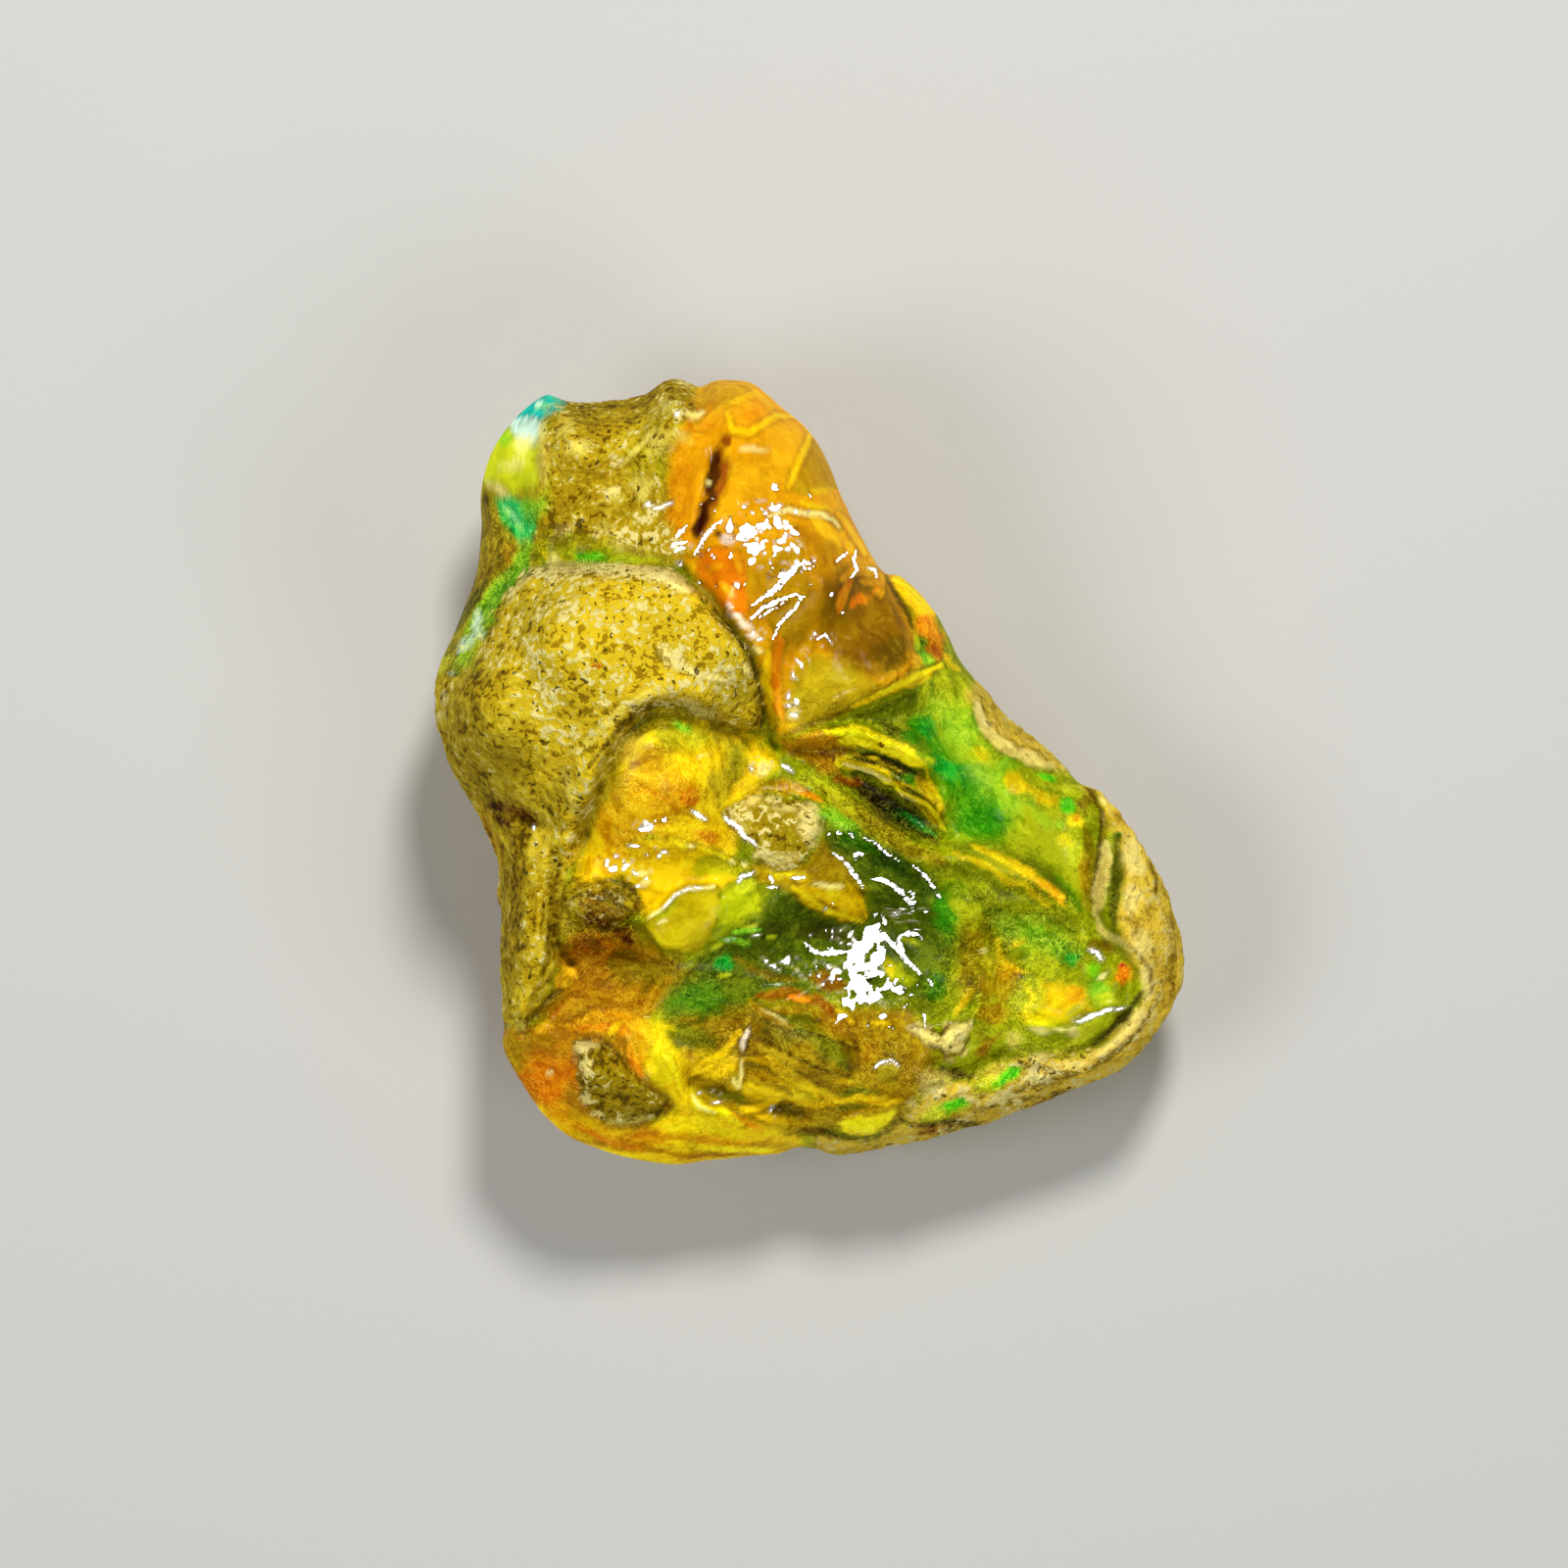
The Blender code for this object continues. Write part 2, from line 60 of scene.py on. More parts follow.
# The stone's broad form: the solid's, with a few cracks and hollows less deep.
stone = {
    "cells": 280,             # squares along each side of the upper surface
    "rimRows": 16,            # rows that crowd towards the widest line
    "rimPower": 1.5,
    "lowerRows": (6, 10, 14, 16),   # rows below it, each group with half as many corners as the last
    "lowerPower": 1.7,
    "edgeCentre": (-1.0, -1.5),
    "edgeSteps": 12,
    "sideBumpDepth": 1.5,     # how far below the widest line the side bumps reach their full height
    "girthHeight": 5.0,
    "girthWaves": [(1, -1.4, 0.9), (2, 0.6, 0.6), (3, 2.1, 0.4)],
    "topRounding": 3.0,
    "undersideRounding": 6.5,
    "undersideDepth": -0.9,
    "undersideRise": 3.6,
    "undersidePower": 2.4,
    "undersideLumps": [(4.5, 1.0)],
    "undersideSmoothing": (-24, -16, -8, 0, 8, 16, 24),
    "smoothingPower": 5,
    "breakSoftness": 0.25,
    "breakReach": 4,          # how far before a break its softness starts
    "lumpFullness": 0.8,
    "spotReach": 1.1,
    "spotFalloff": 2,
    "topBumps": [(3.1, 0.22), (1.2, 0.14)],
    "sideBumps": [(5.5, 0.6), (2.4, 0.3), (1.1, 0.14)],
    "bumpSeed": Vector((4.1, 9.3, 2.7)),
}

edge = [
    (-9.8, 13.9), (-9.1, 13.6), (-8.3, 13.4), (-6.2, 13.6), (-5.3, 14.2), (-4.7, 14.25), (-4, 14),
    (-3.3, 14.25), (-2.1, 14.15), (-1, 13.2), (0, 12.35), (0.7, 11.1), (1.2, 9.8), (2.2, 7.9), (2.7, 7.2),
    (3.4, 7), (4.5, 5.9), (5, 5), (5.4, 4.1), (6.2, 3.1), (7.2, 1.95), (9, 0.6), (9.9, -0.35),
    (11.2, -0.85), (12.3, -2.4), (13.1, -4.3), (13.6, -6.7), (13.5, -8.4), (12.6, -10.2), (11.4, -11.15),
    (9.3, -12), (7, -12.9), (5, -13.4), (2.6, -13.8), (1.2, -13.95), (-0.3, -13.65), (-1.3, -13.9),
    (-3.5, -14.1), (-5.2, -14.3), (-7.5, -13.9), (-9.2, -13.3), (-10.5, -11.9), (-11.4, -10.8),
    (-11.45, -10), (-11.2, -9.2), (-11.2, -7), (-11.1, -5), (-11.3, -3.2), (-12.1, -1.4), (-13.1, 0.3),
    (-13.6, 2.2), (-13.6, 3.5), (-12.9, 5.1), (-12.15, 7), (-11.95, 8.8), (-12, 10.4), (-11.6, 12.2),
    (-10.9, 13.3),
]

spotHeights = {
    "glassyTip": ((-10.6, 13), 8.4),
    "paleStrip": ((-10.9, 11.4), 9.2),
    "greenStrip": ((-11, 9), 9.4),
    "leftWaist": ((-11.8, 6.6), 9),
    "stripFoot": ((-13, 4), 8.6),
    "upperRock": ((-7.9, 12), 10.9),
    "upperRockFoot": ((-7.2, 9.2), 10.8),
    "topSummit": ((-4.9, 13.2), 11.5),
    "lobeTop": ((-2.4, 12.3), 12),
    "lobeCrown": ((-2.2, 9.2), 13.4),
    "lobeShoulder": ((0.6, 10.3), 10.9),
    "lobeFace": ((-0.2, 6.6), 12.6),
    "lobeFaceFoot": ((1.6, 4), 11.2),
    "lobeEdge": ((3.1, 5.6), 10.2),
    "junction": ((-1.2, 1.3), 10.4),
    "edgeBulge": ((4.5, 5.2), 8.4),
    "ballLeft": ((-11.6, 2.6), 11.2),
    "ballTop": ((-8, 4.6), 12.4),
    "ballRight": ((-4.2, 4.4), 12.4),
    "waistLeft": ((-11.6, -1.6), 9.4),
    "fan": ((2.4, 0.4), 9.5),
    "slopeHead": ((5.8, 1.9), 9),
    "slopeMiddle": ((7.6, -1.4), 8.4),
    "slopeEdge": ((9.6, -0.9), 7.6),
    "crustHead": ((11.5, -2.2), 7.4),
    "crustMiddle": ((12.3, -5.6), 7.6),
    "crustFoot": ((12.1, -8.6), 7.5),
    "crustCorner": ((10.4, -10.6), 7.3),
    "crustBottom": ((6.8, -12), 7.1),
    "basin": ((8, -6.8), 8),
    "middleRight": ((5.2, -4.2), 9),
    "valley": ((2, -6.6), 8.4),
    "rockPatch": ((-1, -2.3), 10.6),
    "swelling": ((-5.6, -0.6), 11.7),
    "yellowPlane": ((-4.3, -3.7), 10.9),
    "leaf": ((-4.6, -5.5), 10.2),
    "brownHollow": ((-7, -7.4), 9.2),
    "knob": ((-7.8, -4.8), 10.4),
    "column": ((-10.2, -5), 10.2),
    "columnFoot": ((-10.4, -8.6), 9.6),
    "island": ((-7, -11.2), 9.4),
    "leftCorner": ((-10, -11.2), 8.2),
    "bottomRim": ((-5, -13.2), 7.4),
    "bottomMiddle": ((0.4, -12.9), 7.4),
    "bottomSwirl": ((-0.6, -10.2), 8.9),
    "bubble": ((3, -10.2), 8.6),
}

# Lumps and hollows: centre, half widths, turn in degrees, and height or depth.
lumps = {
    "rockBall": ((-7.7, 3), (6.6, 5.2), 0, 1.9),
    "orangeSwelling": ((-5.5, -1.2), (2.7, 3.2), 8, 1.1),
    "lobeCrown": ((-1.9, 8.8), (2.6, 3.2), 12, 0.5),
    "leftCorner": ((-9.6, -10.9), (2, 2), 30, 0.7),
    "brownKnob": ((-7.6, -4.8), (1.45, 0.9), -12, 0.8),
    "rockPatch": ((-1.1, -2.2), (1.8, 1.4), -20, 0.7),
    "yellowLeaf": ((-4.5, -5.4), (1.6, 1), 25, 0.5),
    "amberLeaf": ((0.7, -4.6), (1.4, 0.7), -25, 0.6),
    "swirledOval": ((-0.4, -10), (2.3, 1.3), -18, 0.6),
    "edgeBulge": ((4.2, 5.7), (1.4, 0.9), -50, 0.7),
    "bottomLeaf": ((2.1, -12.8), (1.2, 0.5), 8, 0.5),
    "bubble": ((2.8, -10.8), (0.55, 0.5), 0, 0.35),
    "creamKnot": ((-1.6, 0.1), (0.7, 0.5), -30, 0.3),
}
hollows = {
    "lobeFace": ((1, 5.4), (3.3, 2.4), -58, 1),
    "rightSlope": ((6.6, -0.2), (4.6, 2.2), -38, 0.7),
    "fanHollow": ((3, -1.2), (2.6, 0.8), -32, 1.2),
    "greenValley": ((2, -6.2), (4, 1.9), -10, 1),
    "valleyLeft": ((-2.4, -7.2), (2.6, 1.1), -6, 0.8),
    "brownHollow": ((-7.1, -7.3), (2.3, 1.3), -6, 0.7),
    "rightBasin": ((7.6, -6.9), (2.5, 2.1), -20, 0.8),
    "upperRockDip": ((-7.4, 9.9), (2, 1.2), 40, 0.7),
    "stripDip": ((-11.2, 9.4), (1.4, 2), -4, 0.7),
    "planeDip": ((-4.3, -3.7), (2.1, 0.9), -12, 0.5),
}

# Steps: outline of the higher side, height, and slope width.
steps = {
    "lobe": ([(-1.3, 1.2), (0.6, 1.9), (1.5, 2.3), (2.8, 2.8), (3.8, 3.4), (4.9, 3.9), (3.9, 4.7),
        (3.2, 6.2), (2.5, 7.4), (6, 14), (-3.2, 18), (-3.6, 10.6), (-4.1, 8), (-3, 5)], 0.8, 0.45),
    "rockSkin": ([(-16, 3.2), (-12.3, 3.6), (-11.8, 4.6), (-11.4, 5.8), (-10.8, 6.7), (-10.2, 7.3),
        (-6.9, 7.4), (-5.2, 7.3), (-4.1, 6.7), (-3.4, 5.9), (-2.3, 4.5), (-1.7, 3), (-1.7, 1.4),
        (-2.5, 1.5), (-4, 2.1), (-5.5, 2.3), (-6.7, 1.2), (-7.5, -0.3), (-8.1, -2.2), (-8.8, -3.6),
        (-9.2, -6.4), (-9.4, -7.5), (-10.2, -9), (-16, -9.6)], 0.6, 0.35),
    "rockIsland": ([(-8.6, -9.8), (-7.6, -9.7), (-6.8, -10.4), (-6.2, -11.2), (-5.1, -12), (-5.4, -12.5),
        (-6.6, -12.7), (-7.8, -12.5), (-8.4, -11.6), (-8.3, -10.4)], 0.5, 0.35),
    "creamPlate": ([(3.8, -9.4), (5.1, -9.1), (5.8, -9.2), (5.3, -10.1), (4.4, -10.1)], 0.35, 0.35),
    "crustBand": ([(10.1, -0.4), (10.6, -2), (10.3, -5), (10.9, -6.2), (11.8, -7.4), (11.3, -9.1),
        (9.9, -10.2), (8, -10.8), (5.6, -11.1), (4.2, -11.7), (3.2, -13), (3, -16), (18, -16),
        (18, 2)], 0.4, 0.4),
    "fan": ([(-1.2, 1), (1, 0.3), (2.4, -0.2), (3.6, -0.9), (4.9, -1.9), (5.6, -0.6), (4.4, 1.8),
        (0.4, 1.7)], 0.5, 0.4),
}

# Ridges and grooves: the line each one follows, its half width, and its height or depth.
ridges = {
    "rolledRock": ([(-9, -3), (-8.5, -0.8), (-7.6, 0.9), (-6.5, 2.4), (-5, 3), (-3.6, 2.5)], 0.5, 0.4),
    "thinLedge": ([(-1.1, 1.3), (0.6, 2), (2.5, 2.8), (3.9, 3.5), (5, 4)], 0.3, 0.4),
    "fanRidge": ([(-0.5, 1.2), (1.5, 1.5), (3, 0.9), (4.3, 0.3)], 0.35, 0.6),
    "longSpine": ([(0.2, -1.4), (2, -2.4), (3.6, -3.2), (6, -3.2), (8.3, -4), (9.6, -5)], 0.45, 0.6),
    "leftColumn": ([(-10.6, -1.6), (-10.3, -4), (-10.3, -6.5), (-10.7, -9)], 0.75, 0.6),
    "stripEdge": ([(-9.9, 13), (-9.6, 11.5), (-9.6, 9.6), (-10, 8)], 0.4, 0.4),
    "yellowRim": ([(-6, -9.4), (-5.1, -10.5), (-4.4, -11.8), (-3.2, -12.5), (-0.8, -13)], 0.4, 0.5),
    "topSummit": ([(-5.3, 13.8), (-4.8, 13), (-5.4, 12)], 0.45, 0.5),
    "leafEdge": ([(-5.9, -5.4), (-4.8, -4.3), (-3.5, -4.2)], 0.25, 0.35),
    "creamStrip": ([(6, 2.2), (7.2, 0.9), (8.7, 0.1)], 0.35, 0.3),
    "basinLedge": ([(8, -9.1), (9.4, -9.4), (10.4, -8.9), (11.3, -8.5)], 0.3, 0.4),
    "basinSpine": ([(5.9, -5.2), (6.4, -7), (6, -8.8)], 0.4, 0.4),
}
grooves = {
    "ballRightSeam": ([(-4.5, 7.1), (-3.3, 5.9), (-2.3, 4.5), (-1.7, 3.2), (-1.5, 2),
        (-1.3, 0.9)], 0.22, 0.6),
    "ballTopSeam": ([(-12.2, 5.2), (-11, 7), (-9.9, 7.6), (-6.4, 7.7), (-4.7, 7.3)], 0.3, 0.6),
    "swellingSeam": ([(-8.3, -3.6), (-7.9, -1.7), (-7.2, 0), (-6.5, 1.3), (-5.5, 2.1), (-4.3, 2.1),
        (-2.6, 1.3), (-1.2, 0.9)], 0.3, 0.5),
    "lobeCrack": ([(-3.1, 12), (-3.5, 10.8), (-3.8, 9.6), (-4.1, 8.2)], 0.2, 0.45),
    "columnSeam": ([(-9.1, -3.2), (-9.3, -5), (-9.3, -6.2), (-8.6, -6.9)], 0.28, 0.7),
    "leftCrack": ([(-11.9, -1.2), (-10.9, -1.2), (-10, -1.8)], 0.3, 0.6),
    "redCleft": ([(-8.8, -7.7), (-9.6, -8.5), (-10.3, -9.4)], 0.3, 0.6),
    "crustSeam": ([(10.3, -2.4), (10.1, -5), (10.7, -6.2), (11.6, -7.4), (11.1, -9.2),
        (9.7, -10.2)], 0.3, 0.4),
    "brownGroove": ([(4.4, -10.6), (5.8, -11), (7, -10.3)], 0.28, 0.5),
    "bottomCrack": ([(0.5, -13.1), (2.2, -13.4), (3.3, -12.5)], 0.28, 0.5),
    "topNotch": ([(-3.9, 14), (-4.1, 13.1), (-4, 12.3)], 0.3, 0.4),
    "bulgeSeam": ([(2.8, 7.2), (3.4, 5.9), (3.9, 4.8), (4.2, 3.9)], 0.3, 0.5),
    "rimPocket": ([(-4.1, -11.5), (-2.8, -11.9), (-0.4, -12.4)], 0.4, 0.6),
    "fanGroove": ([(-0.3, 0.8), (1.6, 0.8), (3.2, 0), (4.4, -0.6)], 0.28, 0.5),
}

# Chips broken from the sides: compass angle, lean, both in degrees, and depth.
brokenSides = {
    "frontLeft": (228, -38, 1.1),
    "frontRight": (292, -30, 1),
    "rightLow": (338, -50, 0.8),
    "rightCorner": (318, -24, 0.6),
    "backRight": (38, -30, 1.2),
    "backTop": (72, -24, 0.8),
    "back": (98, -40, 1.3),
    "leftTop": (141, -33, 1.2),
    "left": (172, -44, 1.2),
    "leftLow": (203, -26, 0.9),
    "lobeFlank": (32, 38, 0.5),
    "crustBevel": (350, 40, 0.25),
    "frontBevel": (275, 44, 0.5),
}


def edgeRadius(angles):
    points = np.array(edge) - np.array(stone["edgeCentre"])
    before, after, afterNext = (np.roll(points, turn, axis=0) for turn in (1, -1, -2))
    curve = []
    for share in np.linspace(0, 1, stone["edgeSteps"], endpoint=False):
        curve.append(
            0.5 * (2 * points + (after - before) * share
                   + (2 * before - 5 * points + 4 * after - afterNext) * share**2
                   + (3 * points - before - 3 * after + afterNext) * share**3)
        )
    curve = np.concatenate(curve)
    turned = np.arctan2(curve[:, 1], curve[:, 0])
    order = np.argsort(turned)
    return np.interp(angles, turned[order], np.hypot(*curve[order].T), period=2 * math.pi)


def ovalDistance(x, y, centre, halfWidths, turn):
    c, s = math.cos(math.radians(turn)), math.sin(math.radians(turn))
    u = (x - centre[0]) * c + (y - centre[1]) * s
    v = (y - centre[1]) * c - (x - centre[0]) * s
    return np.hypot(u / halfWidths[0], v / halfWidths[1])


def lineDistance(x, y, line):
    nearest = np.full(x.shape, np.inf)
    for (ax, ay), (bx, by) in zip(line, line[1:]):
        dx, dy = bx - ax, by - ay
        along = np.clip(((x - ax) * dx + (y - ay) * dy) / (dx * dx + dy * dy), 0, 1)
        nearest = np.minimum(nearest, np.hypot(x - ax - along * dx, y - ay - along * dy))
    return nearest


def inside(x, y, outline):
    within = np.zeros(x.shape, bool)
    for (ax, ay), (bx, by) in zip(outline, outline[1:] + outline[:1]):
        crosses = (ay > y) != (by > y)
        within ^= crosses & (x < (bx - ax) * (y - ay) / (by - ay + 1e-12) + ax)
    return within


# How far each place lies within an outline. Outside it, the distance is below 0.
def depthInside(x, y, outline):
    toEdge = lineDistance(x, y, outline + outline[:1])
    return np.where(inside(x, y, outline), toEdge, -toEdge)


def bumps(points, scales):
    total = np.zeros(len(points))
    for size, height in scales:
        total += height * np.array([noise.noise(Vector(p) / size + stone["bumpSeed"]) for p in points])
    return total


def broadHeight(x, y):
    weighted, weights = np.zeros_like(x), np.zeros_like(x)
    for (cx, cy), height in spotHeights.values():
        weight = ((x - cx) ** 2 + (y - cy) ** 2 + stone["spotReach"] ** 2) ** -stone["spotFalloff"]
        weighted += weight * height
        weights += weight
    return weighted / weights


def topHeight(x, y):
    z = broadHeight(x, y)
    for centre, halfWidths, turn, height in lumps.values():
        d = ovalDistance(x, y, centre, halfWidths, turn)
        z += height * np.clip(1 - d**2, 0, 1) ** stone["lumpFullness"]
    for centre, halfWidths, turn, depth in hollows.values():
        z -= depth * np.clip(1 - ovalDistance(x, y, centre, halfWidths, turn) ** 2, 0, 1)
    for outline, height, slopeWidth in steps.values():
        z += height * np.clip(depthInside(x, y, outline) / slopeWidth, 0, 1)
    for line, halfWidth, height in ridges.values():
        z += height * np.exp(-((lineDistance(x, y, line) / halfWidth) ** 2))
    for line, halfWidth, depth in grooves.values():
        z -= depth * np.exp(-((lineDistance(x, y, line) / halfWidth) ** 2))
    return z + bumps(np.stack([x, y, np.zeros_like(x)], axis=1), stone["topBumps"])


def undersideHeight(x, y, reach):
    flat = np.stack([x, y, np.zeros_like(x)], axis=1)
    rise = stone["undersideRise"] * reach ** stone["undersidePower"]
    return stone["undersideDepth"] + rise + bumps(flat, stone["undersideLumps"])


def rounding(fromEdge, radius):
    return np.sqrt(1 - (1 - np.clip(fromEdge / radius, 0, 1)) ** 2)


def stonePoints(reach, angle, isTop):
    radius = edgeRadius(angle)
    smoothing = [edgeRadius(angle + math.radians(turn)) for turn in stone["undersideSmoothing"]]
    smoothRadius = np.mean(smoothing, axis=0)
    towardsGround = smoothRadius + (radius - smoothRadius) * reach ** stone["smoothingPower"]
    radius = np.where(isTop, radius, towardsGround)
    x = stone["edgeCentre"][0] + reach * radius * np.cos(angle)
    y = stone["edgeCentre"][1] + reach * radius * np.sin(angle)
    fromEdge = (1 - reach) * radius
    waves = sum(height * np.sin(turns * angle + start) for turns, start, height in stone["girthWaves"])
    girth = stone["girthHeight"] + waves
    top = girth + (topHeight(x, y) - girth) * rounding(fromEdge, stone["topRounding"])
    under = girth + (undersideHeight(x, y, reach) - girth) * rounding(fromEdge, stone["undersideRounding"])
    return np.stack([x, y, np.where(isTop, top, under)], axis=1), girth


def breakSides(points):
    for compass, lean, depth in brokenSides.values():
        a, t = math.radians(compass), math.radians(lean)
        outward = np.array([math.cos(a) * math.cos(t), math.sin(a) * math.cos(t), math.sin(t)])
        beyond = points @ outward
        beyond -= beyond.max() - depth
        softness = stone["breakSoftness"]
        pushed = 0.5 * (beyond + np.sqrt(beyond**2 + softness**2))
        points = points - np.where(beyond > -stone["breakReach"] * softness, pushed, 0)[:, None] * outward
    return points


# Fast noise on a lattice, from -1 to 1, for arrays of points with two or three columns.
latticeSetup = {
    "seedStep": 974634777, "start": 12345, "twist": 0x9E3779B97F4A7C15,
    "fold": 29, "bits": 24, "origin": 1000,
}


def lattice(cells, seed):
    mixed = np.full(len(cells), seed * latticeSetup["seedStep"] + latticeSetup["start"], np.uint64)
    for column in range(cells.shape[1]):
        mixed = (mixed ^ cells[:, column].astype(np.uint64)) * np.uint64(latticeSetup["twist"])
        mixed ^= mixed >> np.uint64(latticeSetup["fold"])
    bits = latticeSetup["bits"]
    return (mixed >> np.uint64(64 - bits)).astype(float) / 2 ** (bits - 1) - 1


def softNoise(points, size, seed=0):
    places = points / size + latticeSetup["origin"]
    cells = np.floor(places).astype(np.int64)
    part = places - cells
    part = part**3 * (part * (part * 6 - 15) + 10)
    total = np.zeros(len(points))
    for corner in itertools.product((0, 1), repeat=points.shape[1]):
        weight = np.prod(np.where(np.array(corner) == 1, part, 1 - part), axis=1)
        total += weight * lattice(cells + np.array(corner), seed)
    return total


def layeredNoise(points, size, seed=0, count=3, spread=1.6):
    total = sum(softNoise(points, size / 2**n, seed + n) / 2**n for n in range(count))
    return total / spread


# Noises laid over each other, each with its size, amount and seed.
def noiseSum(points, parts):
    return sum(amount * softNoise(points, size, seed) for size, amount, seed in parts)


def fade(value, low, high):
    part = np.clip((value - low) / (high - low), 0, 1)
    return part * part * (3 - 2 * part)


# Paint. Each colour is named once, as it looks in daylight (red, green, blue from 0 to 255).
# The white colour paints highlights only; butter, blush, lemon, rockPale and rockCream are also laid as
# painted highlights in places.
palette = {
    "rockTan": (206, 176, 26), "rockPale": (224, 206, 84), "rockShade": (148, 124, 10),
    "rockDark": (80, 62, 6), "rockCream": (250, 232, 140), "upperRock": (166, 134, 12),
    "columnRock": (150, 122, 7), "teal": (10, 186, 172), "ice": (208, 242, 224), "mint": (150, 238, 160),
    "lime": (204, 214, 26), "leafGreen": (118, 200, 30), "flashGreen": (34, 200, 96),
    "straw": (196, 178, 18), "oliveBrown": (150, 124, 6), "amber": (232, 162, 4),
    "amberLight": (250, 188, 14), "amberDeep": (228, 128, 4), "fire": (248, 134, 6), "rust": (176, 84, 8),
    "crackBrown": (90, 40, 4), "garnet": (70, 16, 5), "honey": (206, 158, 6), "toffee": (128, 88, 5),
    "caramel": (196, 132, 4), "brownAmber": (166, 104, 4), "bronze": (180, 140, 5), "gold": (250, 206, 5),
    "lemon": (255, 232, 12), "butter": (253, 240, 150), "olive": (160, 172, 4), "oliveLight": (180, 190, 6),
    "moss": (112, 126, 6), "darkOlive": (74, 76, 5), "pine": (18, 66, 6), "emerald": (4, 158, 34),
    "green": (24, 140, 4), "brightGreen": (72, 214, 12), "valleyGreen": (84, 108, 6), "umber": (54, 44, 4),
    "night": (26, 20, 4), "leafGold": (194, 174, 6), "crust": (224, 190, 56), "crustPale": (246, 224, 122),
    "crustShade": (158, 124, 14), "crustDark": (90, 70, 8), "red": (216, 44, 22), "blush": (252, 236, 222),
    "white": (255, 253, 244),
}
# Colours that glow a little of themselves (emission): painted light from within the opal and at the painted
# highlights.
glowing = {
    "teal", "ice", "mint", "lime", "leafGreen", "flashGreen", "amber", "amberLight", "amberDeep", "fire",
    "gold", "lemon", "butter", "oliveLight", "emerald", "green", "brightGreen", "leafGold", "red", "blush",
    "white",
}

# Each region's marks: areas (colour, outline, soft edge, strength), ovals (colour, centre, half widths,
# strength, turn) and strokes (colour, line, half width, strength). They are laid on in this order.
opalBase = {"areas": [
    ("amber", [(-5.4, 8.2), (-5.3, 10.4), (-5, 12), (-4.4, 13.2), (-3.8, 15), (-1, 15), (1.4, 12.4),
        (2.6, 8.6), (3.6, 6), (4.2, 4.2), (3.4, 3.2), (1.6, 2.3), (-1.1, 1.3), (-1.6, 2.6), (-2.3, 4.6),
        (-3.4, 6), (-4.5, 7.4)], 0.3),
    ("gold", [(-8.6, -4.2), (-7.8, -1.4), (-7, 0.6), (-6.2, 2.2), (-5, 2.6), (-3.4, 2.1), (-2, 1.2),
        (-1.2, 0.4), (-2.4, -1), (-2.8, -3), (-3.2, -4.2), (-5.8, -5.4), (-7.4, -4)], 0.3),
    ("olive", [(-1, 1.2), (1.5, 2.3), (4.9, 3.9), (6, 5), (8, 3), (11, 0.2), (10.8, -2), (10.3, -5.3),
        (8.8, -4.8), (5.4, -3.6), (2.6, -2.4), (0.2, -1.1)], 0.3),
    ("valleyGreen", [(0.3, -2), (1.8, -2), (2.8, -2.7), (3.8, -3.2), (4.8, -4.2), (5.4, -5.2), (5.3, -7.2),
        (4.6, -8.4), (3, -8.3), (0.8, -8), (-1, -7.9), (-3, -8.8), (-4.8, -9.1), (-5.8, -8.4), (-5.4, -7.4),
        (-4, -6.8), (-3.4, -6.1), (-2.6, -5.6), (-1.9, -5.1), (-1.4, -4.2), (-0.6, -4.2), (0.3, -5.1),
        (1.9, -5.5), (2.2, -5), (2, -4), (1.2, -3.3)], 0.3),
    ("olive", [(5, -3.4), (7, -3.9), (8.6, -4.8), (10.2, -5.2), (10.4, -6.6), (11.6, -7.2), (11.6, -8.8),
        (10.2, -10), (8.6, -9.9), (7.2, -9.7), (6.4, -10.6), (4.6, -10.9), (3.6, -10.2), (4, -9),
        (3.2, -8.2), (4.6, -8.4), (5.2, -7), (5.4, -5.2)], 0.3),
    ("bronze", [(-4.85, -9), (-2, -8.4), (1, -8.5), (3.6, -8.6), (4.4, -9.8), (4.4, -11), (3.6, -12.4),
        (2.8, -13), (-0.6, -13.2), (-3, -12.5), (-4.6, -11.4)], 0.3),
    ("caramel", [(-9.4, -6.4), (-8.2, -5.6), (-6.6, -5.6), (-5.4, -6.4), (-4.8, -7.2), (-5.4, -8.2),
        (-6, -9.2), (-6.4, -10.6), (-5, -11.8), (-4.8, -12.4), (-6.2, -13.4), (-9.6, -14), (-12.4, -11.4),
        (-12, -9.2), (-9.8, -9.2), (-8.8, -7.6)], 0.3),
    ("gold", [(-6.1, -9), (-5, -9.2), (-4.6, -10.2), (-4.4, -11.2), (-4.1, -11.9), (-3.3, -12.2),
        (-2, -12.8), (-0.5, -13.2), (0.2, -15), (-4, -15), (-9, -14.8), (-11, -12.6), (-9.2, -12),
        (-8.2, -12.6), (-6.8, -13), (-5.4, -12.8), (-4.8, -12.1), (-5.4, -11.3), (-6.2, -10.7),
        (-6.3, -9.8)], 0.25),
    ("straw", [(-14.5, 2.8), (-12.2, 3.4), (-11.6, 5.4), (-10.6, 7.2), (-9.8, 7.5), (-5, 7.4), (-4.9, 7.9),
        (-8, 8.4), (-9.4, 8.6), (-9.5, 10), (-9.6, 13), (-9.2, 15), (-12.6, 14), (-13, 8),
        (-14.6, 4)], 0.2),
]}
